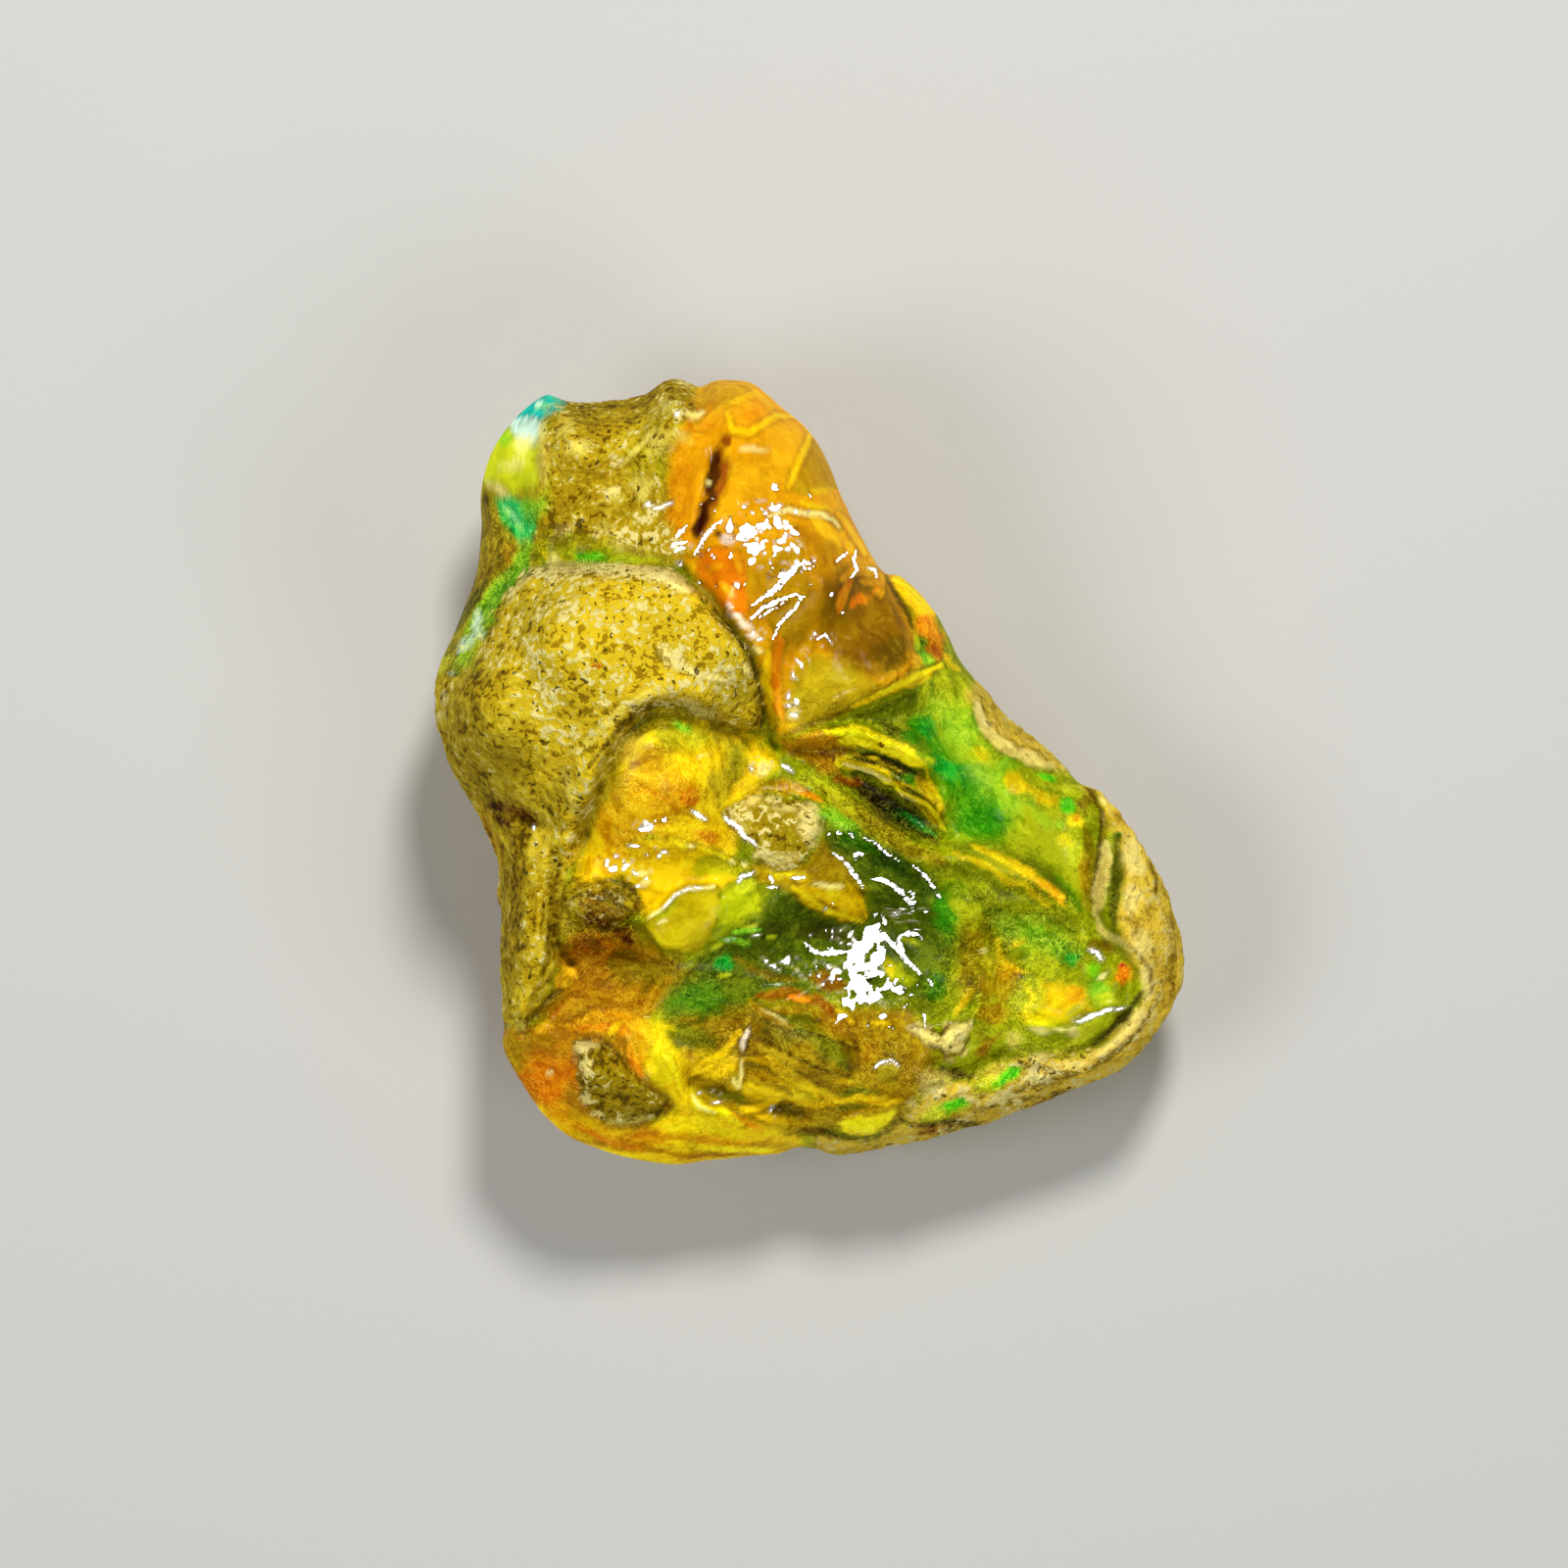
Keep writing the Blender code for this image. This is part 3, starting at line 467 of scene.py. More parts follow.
glassyTip = {"areas": [
    ("lime", [(-11.9, 12.3), (-10.8, 12.8), (-9.9, 12.4), (-9.8, 10.6), (-10.1, 10.2), (-11, 10.2),
        (-12.2, 10.6)], 0.15, 0.9),
    ("ice", [(-10.9, 12.9), (-9.7, 12.9), (-9.6, 12.1), (-10.2, 11.9), (-10.8, 12.3)], 0.1, 0.95),
    ("teal", [(-12.2, 12.2), (-11.3, 12.5), (-10.7, 12.75), (-10.1, 12.8), (-9.7, 12.7), (-9.3, 12.95),
        (-8.8, 13.5), (-9.6, 14.8), (-12.4, 13.8)], 0.06),
    ("flashGreen", [(-11.5, 9.9), (-10.9, 10), (-10.3, 9.8), (-9.9, 9.4), (-9.75, 8.9), (-10, 8.2),
        (-10.5, 8.3), (-11, 8.9)], 0.12),
    ("oliveBrown", [(-12.6, 10.2), (-11.6, 9.8), (-11.2, 8.8), (-10.8, 8.2), (-10.5, 7.5), (-11.2, 6.5),
        (-12.6, 5.6), (-13, 8.4)], 0.25, 0.85),
], "ovals": [
    ("leafGreen", (-11.2, 12.2), (0.4, 0.3), 0.7), ("butter", (-10.45, 11.9), (0.45, 0.4), 0.7),
    ("butter", (-10.7, 11.15), (0.6, 0.25), 0.55, 10), ("lime", (-10.2, 10.6), (0.5, 0.35)),
    ("leafGreen", (-10, 9.55), (0.55, 0.45), 0.85, 20), ("green", (-10, 9.3), (0.3, 0.3), 0.6, 20),
], "strokes": [
    ("ice", [(-11.5, 12.45), (-10.8, 12.75), (-10.2, 12.85)], 0.05, 1.0),
    ("ice", [(-9.95, 13.3), (-9.7, 13.5)], 0.06), ("mint", [(-10.9, 13.3), (-10.4, 13.5)], 0.1, 0.4),
    ("rockPale", [(-9.75, 12.6), (-9.65, 11.4), (-9.6, 10.4)], 0.22),
    ("rockCream", [(-11.8, 10.5), (-11.3, 10.25), (-10.9, 10)], 0.1, 0.9),
    ("mint", [(-11.15, 9.65), (-10.8, 9.3), (-10.4, 8.8)], 0.05),
    ("emerald", [(-11.3, 9.7), (-11, 9), (-10.6, 8.4)], 0.1, 0.6),
    ("rockTan", [(-11.85, 9.4), (-11.6, 8.4), (-11.6, 7.4)], 0.12, 0.6),
    ("amber", [(-11, 8.2), (-10.8, 7.6)], 0.2, 0.35),
    ("leafGreen", [(-10.15, 8.2), (-10.6, 7.4), (-11.2, 6.6), (-11.9, 5.6), (-12.3, 4.7),
        (-13, 3.2)], 0.36, 0.75),
    ("green", [(-10.2, 8), (-10.6, 7.3), (-11.2, 6.6), (-11.6, 6)], 0.14, 0.6),
    ("lime", [(-11.9, 4.9), (-12.2, 4), (-12.6, 3.3)], 0.25, 0.6),
    ("ice", [(-12, 5.9), (-12.1, 5.3), (-11.85, 4.8)], 0.12), ("ice", [(-12.2, 5), (-12.5, 4.4)], 0.08),
    ("ice", [(-12.5, 4.9), (-12.8, 4.3)], 0.07, 0.7), ("ice", [(-13, 3.6), (-13.05, 3.2)], 0.12),
    ("darkOlive", [(-12.9, 5), (-12.3, 6.2), (-11.7, 6.9)], 0.14),
    ("umber", [(-13.2, 4.1), (-12.8, 4.9)], 0.07, 0.7), ("lime", [(-13.5, 3.4), (-13.1, 4.3)], 0.14, 0.7),
    ("umber", [(-11.85, 10.1), (-11.7, 9.8)], 0.1, 0.9),
]}
greenBand = {"areas": [
    ("oliveLight", [(-10, 8.2), (-9.2, 8.3), (-7.8, 8.1), (-6, 7.9), (-5.2, 7.6), (-6.4, 7.4),
        (-9.9, 7.4)], 0.12, 0.8),
], "ovals": [
    ("green", (-7.9, 7.75), (0.8, 0.25), 0.9), ("leafGreen", (-6.7, 7.6), (0.7, 0.15), 0.6),
], "strokes": [
    ("brightGreen", [(-8.5, 7.8), (-7.4, 7.82)], 0.09, 0.7),
    ("lemon", [(-9.7, 7.9), (-9.2, 7.7), (-8.8, 7.6)], 0.14, 0.9),
    ("butter", [(-9.35, 7.85), (-9.05, 7.6)], 0.06, 0.9), ("butter", [(-9.5, 7.6), (-9.2, 7.62)], 0.05),
]}
upperRockMarks = {"ovals": [
    ("rockPale", (-8.4, 11.7), (0.5, 0.35), 0.8, 20), ("rockPale", (-8.9, 12.4), (0.5, 0.3), 0.5, 50),
    ("rockPale", (-7.1, 10), (0.45, 0.4), 0.7), ("rockPale", (-6, 10.3), (0.45, 0.65), 0.8, 10),
    ("rockPale", (-5.5, 11.8), (0.55, 0.5), 0.6, 10), ("rockPale", (-4.8, 12), (0.6, 0.25), 0.5, -15),
    ("rockPale", (-5.2, 13.3), (0.35, 0.35), 0.7), ("rockShade", (-5.9, 12.9), (0.4, 0.5), 0.6, 10),
    ("straw", (-6.2, 11.2), (0.7, 0.9), 0.5, 20), ("rockShade", (-7.8, 10.9), (0.9, 0.3), 0.4, 30),
    # Along the rock's lower edge: the pale and cream marks are painted highlights, the rockShade marks
    # painted shadow.
    ("rockPale", (-7.3, 8.8), (0.5, 0.22), 0.7, -15), ("rockPale", (-6.9, 8.15), (0.4, 0.2), 0.6, 10),
    ("rockShade", (-8, 8.7), (1.4, 0.4), 0.4, 10), ("rockCream", (-8.9, 8.8), (0.3, 0.1), 0.6, 25),
    ("rockCream", (-7.5, 8.55), (0.5, 0.08), 0.6), ("rockShade", (-6.4, 9.2), (0.7, 0.2), 0.6, -12),
], "strokes": [
    ("rockDark", [(-9.55, 11.68), (-9.25, 11.8)], 0.06, 0.9),
    ("rockDark", [(-8.5, 13.25), (-7.8, 13.3)], 0.05, 0.9),
    ("rockDark", [(-8.8, 10.55), (-8.65, 10.7)], 0.07),
    ("rockPale", [(-6.9, 11), (-6.1, 11.8), (-5.6, 12.4)], 0.05),
    # Painted shadow along the rock's lower edge.
    ("rockShade", [(-9.4, 9.2), (-8.2, 9.7), (-7.2, 9.5), (-6.2, 9)], 0.12, 0.6),
    ("rockCream", [(-7.4, 10.1), (-6.9, 10.25)], 0.06),
    # Painted highlights on the rock's edges.
    ("white", [(-5.85, 9.6), (-5.5, 9.5), (-5, 9.7)], 0.06, 1.0),
    ("white", [(-6, 9.6), (-5.8, 9.75)], 0.05), ("white", [(-5, 13), (-4.7, 12.95)], 0.07),
    ("butter", [(-4.5, 12.9), (-4.2, 12.85), (-3.85, 13)], 0.09, 0.9),
    ("rockShade", [(-9, 13.3), (-8, 13.15), (-6.4, 13.4)], 0.07, 0.5),
]}
lobeMarks = {"areas": [
    ("honey", [(-4.2, 13.3), (-3.8, 15), (-2, 15), (-2.1, 13.9), (-2.9, 13.1)], 0.3, 0.6),
    ("amberDeep", [(-5.5, 8.3), (-5.2, 9.8), (-4.8, 11.2), (-4.2, 11.1), (-4.3, 9.6),
        (-4.4, 8.4)], 0.25, 0.45),
    ("honey", [(-0.5, 10.1), (0.05, 12), (0.8, 11.4), (1.1, 10.4), (0.5, 10.1)], 0.08, 0.75),
    ("amberLight", [(-0.1, 9.25), (0.8, 9.1), (1.4, 8.4), (1.7, 7.8), (0.9, 8.1), (0.2, 8.8)], 0.08, 0.85),
    ("caramel", [(-0.7, 9), (0.1, 8.7), (1, 8), (1.4, 7.2), (0.5, 6.7), (-0.2, 7.5)], 0.2, 0.75),
    ("toffee", [(0.4, 6.9), (1.4, 7.4), (2.4, 7.2), (3.3, 6), (3.7, 5.1), (3.6, 4.1), (2.8, 3.5),
        (1.6, 3.6), (0.7, 4.3), (0.2, 5.6)], 0.35, 0.85),
    ("fire", [(-4.05, 7.9), (-3.4, 8.15), (-2.6, 7.9), (-2.3, 7.3), (-2.3, 6.4), (-2.1, 5.5), (-2.7, 5.6),
        (-3.4, 6.4), (-4.1, 7.2)], 0.15, 0.95),
    ("oliveBrown", [(-2.1, 5.4), (-2.2, 7.2), (-0.4, 8.4), (0.2, 6.4), (-0.2, 4.6),
        (-1.1, 4.4)], 0.35, 0.45),
    ("straw", [(-1, 1.7), (-0.9, 3.4), (0, 4.2), (1.4, 3.9), (2.8, 3.2), (1.6, 2.4),
        (-0.3, 1.6)], 0.3, 0.8),
], "ovals": [
    ("amberDeep", (-2, 12.9), (0.7, 0.6), 0.4, 30), ("amberDeep", (-4, 12.5), (0.6, 0.25), 0.6, -10),
    ("amberLight", (-0.9, 11.6), (0.7, 0.9), 0.5), ("amberLight", (-3, 9.6), (0.7, 0.4), 0.7, 30),
    ("amberLight", (-2.3, 10.6), (0.8, 0.6), 0.5), ("butter", (-2, 11.65), (0.6, 0.14), 0.55),
    ("gold", (0.5, 10.2), (0.45, 0.17), 0.85, 5), ("gold", (0.3, 9.6), (0.55, 0.12), 0.85, -8),
    ("gold", (-0.25, 9.75), (0.14, 0.14)), ("darkOlive", (3, 4.3), (0.9, 0.7), 0.45, 20),
    ("toffee", (2, 4.4), (1.5, 0.8), 0.35, 35), ("oliveBrown", (-0.3, 5.4), (1, 1.4), 0.3, -30),
    ("honey", (1.2, 5.2), (0.7, 0.8), 0.3), ("fire", (1.95, 6.15), (0.45, 0.25), 0.85, 15),
    ("fire", (2.4, 6.6), (0.12, 0.3), 0.7, -10), ("amber", (-0.9, 3), (0.35, 0.9), 0.6, -5),
    # Painted highlights: the amberLight and butter marks on the fiery patch, and the blush mark beside the
    # bright patch.
    ("amberLight", (-3.4, 7.3), (0.4, 0.15), 0.6, 20), ("butter", (-2.7, 6.6), (0.12, 0.28), 0.7, -20),
    ("blush", (-3, 8.3), (0.35, 0.16), 0.7, -10), ("garnet", (-3.3, 8.5), (0.25, 0.15), 0.8, -30),
    ("rust", (-2.95, 11.9), (0.2, 0.18), 0.9), ("amberDeep", (-4.9, 8.7), (0.4, 0.5), 0.5),
    ("butter", (-0.6, 2.1), (0.35, 0.3), 0.6),
], "strokes": [
    ("rust", [(-3.25, 11.5), (-3.2, 10.9), (-3.35, 10.3), (-3.65, 9.7), (-3.75, 9.1),
        (-3.95, 8.6)], 0.2, 0.9),
    ("crackBrown", [(-3.3, 11.45), (-3.5, 11.1), (-3.45, 10.7), (-3.7, 10.35), (-3.6, 9.9),
        (-3.9, 9.55)], 0.13, 0.9),
    ("crackBrown", [(-3.8, 9.7), (-3.75, 9.2), (-4, 8.9), (-4.1, 8.5)], 0.13, 0.95),
    ("garnet", [(-3.6, 10.9), (-3.7, 10.5), (-3.6, 10.15)], 0.07),
    ("garnet", [(-3.8, 9.4), (-3.95, 9), (-4, 8.6)], 0.08, 0.9), ("rust", [(-3, 11.2), (-3.1, 10.6)], 0.08),
    ("garnet", [(-3.3, 11.35), (-3.35, 11.1)], 0.05), ("butter", [(-3.72, 10.5), (-3.6, 10.35)], 0.08, 0.9),
    ("gold", [(-3, 12.9), (-2.8, 12.3), (-2.2, 12.2), (-1.6, 12.6), (-1.2, 12.9), (-0.6, 12.9)], 0.07),
    ("gold", [(-0.8, 10.2), (-0.4, 11.2), (-0.1, 11.9), (0, 12.3)], 0.06),
    ("gold", [(-2.9, 13.3), (-2, 13.7), (-1.4, 13.2)], 0.08, 0.4),
    # A painted highlight along the lobe's upper ridge.
    ("butter", [(-1.5, 9.2), (-0.8, 9.45), (-0.2, 9.3), (0.4, 9.3), (0.8, 9.15), (1.05, 8.85)], 0.05, 0.9),
    ("amberLight", [(1, 9.4), (1.5, 8.8), (2, 7.9)], 0.08, 0.7),
    ("amberDeep", [(1.4, 7), (1.2, 6.3), (0.9, 5.8)], 0.14, 0.7),
    ("amber", [(1.8, 6.9), (2.5, 6.8), (2.6, 6.3)], 0.1, 0.7),
    ("amber", [(1.1, 7), (1.5, 7.3), (2.2, 7.2), (2.6, 6.9)], 0.14, 0.6),
    ("amberLight", [(-3.3, 6.8), (-2.8, 6.4)], 0.08, 0.6),
    # The blush and butter lines below are pale pink flakes along the ball's seam, partly painted highlight.
    ("amberLight", [(-2.8, 7.8), (-2.5, 7.2)], 0.07, 0.6), ("blush", [(-3, 6.1), (-2.8, 5.85)], 0.05),
    ("amberDeep", [(-1.15, 5), (-1.3, 4.2), (-1.25, 3.2), (-1.05, 2)], 0.17, 0.85),
    ("gold", [(-1.6, 4.4), (-1.6, 3.4), (-1.5, 2.4), (-1.35, 1.7)], 0.14),
    ("blush", [(-3, 5.7), (-2.6, 5.6), (-2.4, 5.3)], 0.06), ("blush", [(-2.6, 5.3), (-2.1, 5.2)], 0.07),
    ("blush", [(-2.3, 4.9), (-1.9, 4.9)], 0.06), ("butter", [(-2.1, 4.5), (-1.75, 4.3)], 0.06),
    ("gold", [(-1.65, 3.6), (-1.5, 2.6), (-1.4, 1.6)], 0.08, 0.7),
    ("amber", [(-1.7, 5.3), (-1.4, 4.8)], 0.15, 0.6),
    ("toffee", [(-0.9, 1.35), (0.6, 1.95), (1.6, 2.35)], 0.07, 0.7),
]}
bulgeMarks = {"areas": [
    ("gold", [(2.8, 7.2), (3.6, 7.4), (4.8, 6.4), (4.8, 5.6), (4, 5.5), (3.4, 6.2)], 0.12, 0.95),
    ("amberDeep", [(3.9, 5.7), (4.4, 5.7), (4.9, 5), (4.9, 4.2), (4.5, 4), (4.1, 4.6)], 0.2, 0.9),
], "ovals": [
    ("fire", (4.2, 5.3), (0.3, 0.5), 0.6, -30), ("green", (4.05, 4.5), (0.25, 0.45)),
    ("leafGreen", (4.15, 4.1), (0.3, 0.2)), ("straw", (5, 5), (0.15, 0.4), 0.7, -20),
], "strokes": [
    ("umber", [(2.75, 7.1), (3.2, 6.3), (3.6, 5.7), (3.75, 5.2)], 0.07),
    ("lime", [(3.85, 5), (3.9, 4.4)], 0.08, 0.6), ("rust", [(4.4, 4.6), (4.7, 4.1)], 0.1, 0.6),
    ("gold", [(4.9, 4.2), (5.4, 3.8)], 0.1, 0.6),
]}
fanMarks = {"areas": [
    ("caramel", [(-1.2, 1.1), (0.3, 1.55), (1.3, 1.6), (1.5, 1), (1.1, 0.5), (1.2, -0.1), (0.3, 0),
        (-0.7, 0.6)], 0.2, 0.9),
    ("moss", [(1.6, 1.95), (3, 2.6), (4.4, 3.3), (4.4, 2.2), (4, 0.9), (3, 1.3), (2.2, 1.75)], 0.2, 0.8),
    ("umber", [(1.4, 0.75), (2.2, 0.7), (3, 0.4), (4, 0), (3.6, -0.4), (2.6, 0.1), (1.8, 0.3)], 0.1, 0.9),
    ("umber", [(0.9, 0), (1.8, -0.2), (2.6, -0.5), (3.6, -1.1), (4.8, -2.1), (4.6, -2.6), (3.6, -2.3),
        (2.6, -1.8), (1.9, -1.2)], 0.25, 0.95),
    ("lemon", [(0.4, 1.5), (1.5, 1.75), (2.3, 1.45), (3.2, 0.95), (4.2, 0.15), (3.2, 0.4), (2, 0.9),
        (1, 1)], 0.08),
], "ovals": [
    ("green", (4, 1.75), (0.55, 0.45), 0.85, 20), ("green", (3.6, 1.2), (0.5, 0.3), 0.7, -30),
    ("darkOlive", (2.9, 1.5), (0.5, 0.25), 0.8, -40), ("rust", (1.4, -0.35), (0.6, 0.25), 0.7, -20),
    ("night", (2.6, -1), (0.9, 0.35), 0.9, -30), ("pine", (3.7, -1.7), (0.9, 0.35), 0.9, -32),
    ("green", (3.8, -0.25), (0.5, 0.2), 0.7, -20), ("caramel", (0, 0.9), (0.9, 0.4), 0.5, 10),
    ("amber", (0.7, 1.2), (0.5, 0.15), 0.6, 15),
], "strokes": [
    ("gold", [(1, 0.45), (1.8, 0.22), (2.5, -0.05), (3.1, -0.4)], 0.15, 0.95),
    ("lemon", [(1.2, 0.35), (2, 0.12), (3, -0.35)], 0.05, 0.9),
    ("lemon", [(1, 1.35), (2.2, 1.25), (3.6, 0.6)], 0.12),
    ("pine", [(1.7, 0.95), (2.8, 0.5), (3.7, 0.05)], 0.03),
    ("gold", [(1.6, 0.65), (2.4, 0.45), (3.3, 0.05)], 0.03),
    ("gold", [(2.8, -0.3), (3.5, -0.55), (4.2, -0.9)], 0.05, 0.9),
    ("lemon", [(3.6, 0.45), (4.2, 0.2), (4.5, 0)], 0.05),
    ("gold", [(3.5, -0.8), (4.1, -1.3), (4.6, -1.9)], 0.05, 0.9),
    ("pine", [(3.4, -0.5), (4, -0.8), (4.4, -1.2)], 0.04), ("gold", [(4.2, 0.45), (4.8, 0.4)], 0.12, 0.9),
    ("straw", [(3.1, -0.7), (3.6, -0.9), (4, -1.15), (4.3, -1.5)], 0.06, 0.9),
    ("honey", [(3.9, -0.1), (4.4, -0.9), (4.9, -1.9)], 0.2, 0.85),
    ("gold", [(4.1, -0.3), (4.5, -1.1)], 0.06), ("butter", [(3.2, -0.75), (3.9, -1.05)], 0.03),
    ("emerald", [(3.4, -1.5), (4, -1.9), (4.6, -2.3)], 0.07, 0.6),
    ("darkOlive", [(1.6, 1.9), (2.8, 2.4), (4, 2.9)], 0.08, 0.4),
    ("oliveBrown", [(0.2, -0.5), (1.2, -1.2), (2.6, -2.1), (3.8, -2.9), (5, -3.3)], 0.3, 0.75),
    ("oliveLight", [(0.1, -0.2), (0.8, -0.8), (1.6, -1.5)], 0.12, 0.5),
    ("fire", [(-0.4, -0.75), (0, -0.85), (0.4, -1.05)], 0.08, 0.7),
    ("toffee", [(0.9, 0.7), (1.7, 0.75)], 0.1, 0.5),
    ("gold", [(1.5, 2.35), (2.8, 2.9), (3.8, 3.4), (4.8, 3.85)], 0.07, 1.0),
    ("gold", [(3, 3.05), (3.7, 3.3), (4.3, 3.6)], 0.2, 0.9),
    ("lemon", [(2.2, 2.7), (3.2, 3.15), (4, 3.55), (4.8, 3.95)], 0.05, 1.0),
    ("lemon", [(0.9, 1.5), (1.6, 1.4), (2.4, 1.1), (3.3, 0.65), (4.2, 0.2)], 0.24, 1.0),
    ("night", [(1.7, 0.62), (2.5, 0.5), (3.3, 0.2), (4, -0.1)], 0.08),
    ("gold", [(2.1, 0.55), (2.5, 0.45)], 0.02),
    ("lemon", [(1, 0.35), (1.9, 0.12), (2.6, -0.18), (3.2, -0.55)], 0.12, 1.0),
    ("butter", [(1.2, 0.3), (2.1, 0.02), (2.9, -0.35)], 0.03, 0.9),
    ("lemon", [(3.1, -0.6), (3.7, -0.9), (4.2, -1.15), (4.6, -1.6), (4.9, -2.1)], 0.04, 0.9),
    ("gold", [(4.2, 0.1), (4.35, -0.5), (4.7, -1), (4.65, -1.6)], 0.05, 0.9),
    ("toffee", [(2.45, 0.98), (2.65, 0.92)], 0.05, 0.9),
]}
slopeMarks = {"areas": [
    ("oliveLight", [(3.8, 3), (5, 3.8), (6, 2.9), (6.1, 1.9), (6.9, 0.9), (7.6, -0.2), (6.8, -1.2),
        (5.4, 0.4), (4.7, 1.5)], 0.35, 0.75),
    ("green", [(4, 1.8), (4.7, 1.6), (5.5, 0.7), (6.2, -0.1), (6.8, -0.9), (7.3, -1.9), (6.9, -2.6),
        (5.2, -2.3), (4.9, -1.2), (4.3, -0.2)], 0.6, 0.9),
], "ovals": [
    ("leafGreen", (5.3, 1.7), (0.9, 1.7), 0.6, 35), ("moss", (4.9, 3), (0.8, 0.6), 0.55),
    ("leafGreen", (6.8, -0.5), (1, 1.6), 0.5, 40), ("emerald", (5.1, 0.05), (0.8, 0.5), 0.95, -40),
    ("emerald", (4.3, 1.6), (0.35, 0.5), 0.6, 20), ("green", (6.2, -1.7), (0.9, 0.8), 0.6, -30),
    ("gold", (7.5, -0.4), (0.6, 0.45), 0.7, -20), ("gold", (6.2, 0.6), (0.5, 0.3), 0.45, -35),
    ("brightGreen", (8.7, -0.2), (0.45, 0.2), 0.9, -22), ("brightGreen", (9.3, -1.3), (0.35, 0.27), 0.9),
    ("lime", (9.4, -0.65), (0.35, 0.3), 0.6), ("lemon", (9.5, -1.8), (0.4, 0.25), 0.95),
    ("amber", (9.62, -1.65), (0.1, 0.14)), ("lime", (9.5, -3), (0.5, 0.6), 0.7),
    ("honey", (9.9, -3.7), (0.3, 0.9), 0.7, 5), ("leafGreen", (8.4, -1.8), (0.7, 0.5), 0.35, -30),
    ("leafGreen", (7.4, -1.4), (0.7, 0.5), 0.3, -30), ("lime", (5.2, 2.6), (0.7, 0.5), 0.3),
    ("moss", (9, -4.4), (0.8, 0.4), 0.5, -40), ("leafGreen", (6.9, 0.1), (0.3, 0.7), 0.3, -40),
    ("toffee", (10.1, -1), (0.3, 0.6), 0.7, -20), ("gold", (8.5, -1), (0.6, 0.3), 0.6, -35),
    ("lemon", (9.2, -2.5), (0.4, 0.5), 0.5), ("lime", (7.7, -2.1), (0.7, 0.2), 0.5, -35),
    ("moss", (8.6, -3.6), (0.7, 0.2), 0.5, -40), ("leafGreen", (9, -1.9), (0.3, 0.3), 0.6),
    ("straw", (6.6, 1.2), (0.5, 0.25), 0.5, -40),
], "strokes": [
    ("gold", [(5.9, -2.7), (7, -3.2), (7.8, -3.5), (8.6, -4.2), (9.2, -4.9)], 0.15, 0.85),
    ("amber", [(8.2, -3.8), (8.6, -4.2), (9.1, -4.8)], 0.1), ("lemon", [(6.2, -2.9), (7.2, -3.3)], 0.05),
    ("gold", [(5.2, -2.9), (6.6, -3.5), (7.8, -4.1), (8.6, -4.9)], 0.1, 0.6),
    ("moss", [(5, -2.6), (6.4, -3.1), (7.6, -3.7)], 0.07, 0.7),
    ("moss", [(4.8, -3.3), (6, -3.9), (7.4, -4.4)], 0.1, 0.7),
    ("oliveBrown", [(9.9, -1.9), (10.2, -3.2), (10, -4.9)], 0.14, 0.7),
    ("green", [(8.9, -3.7), (9.4, -4.3), (9.8, -5)], 0.12, 0.5),
]}
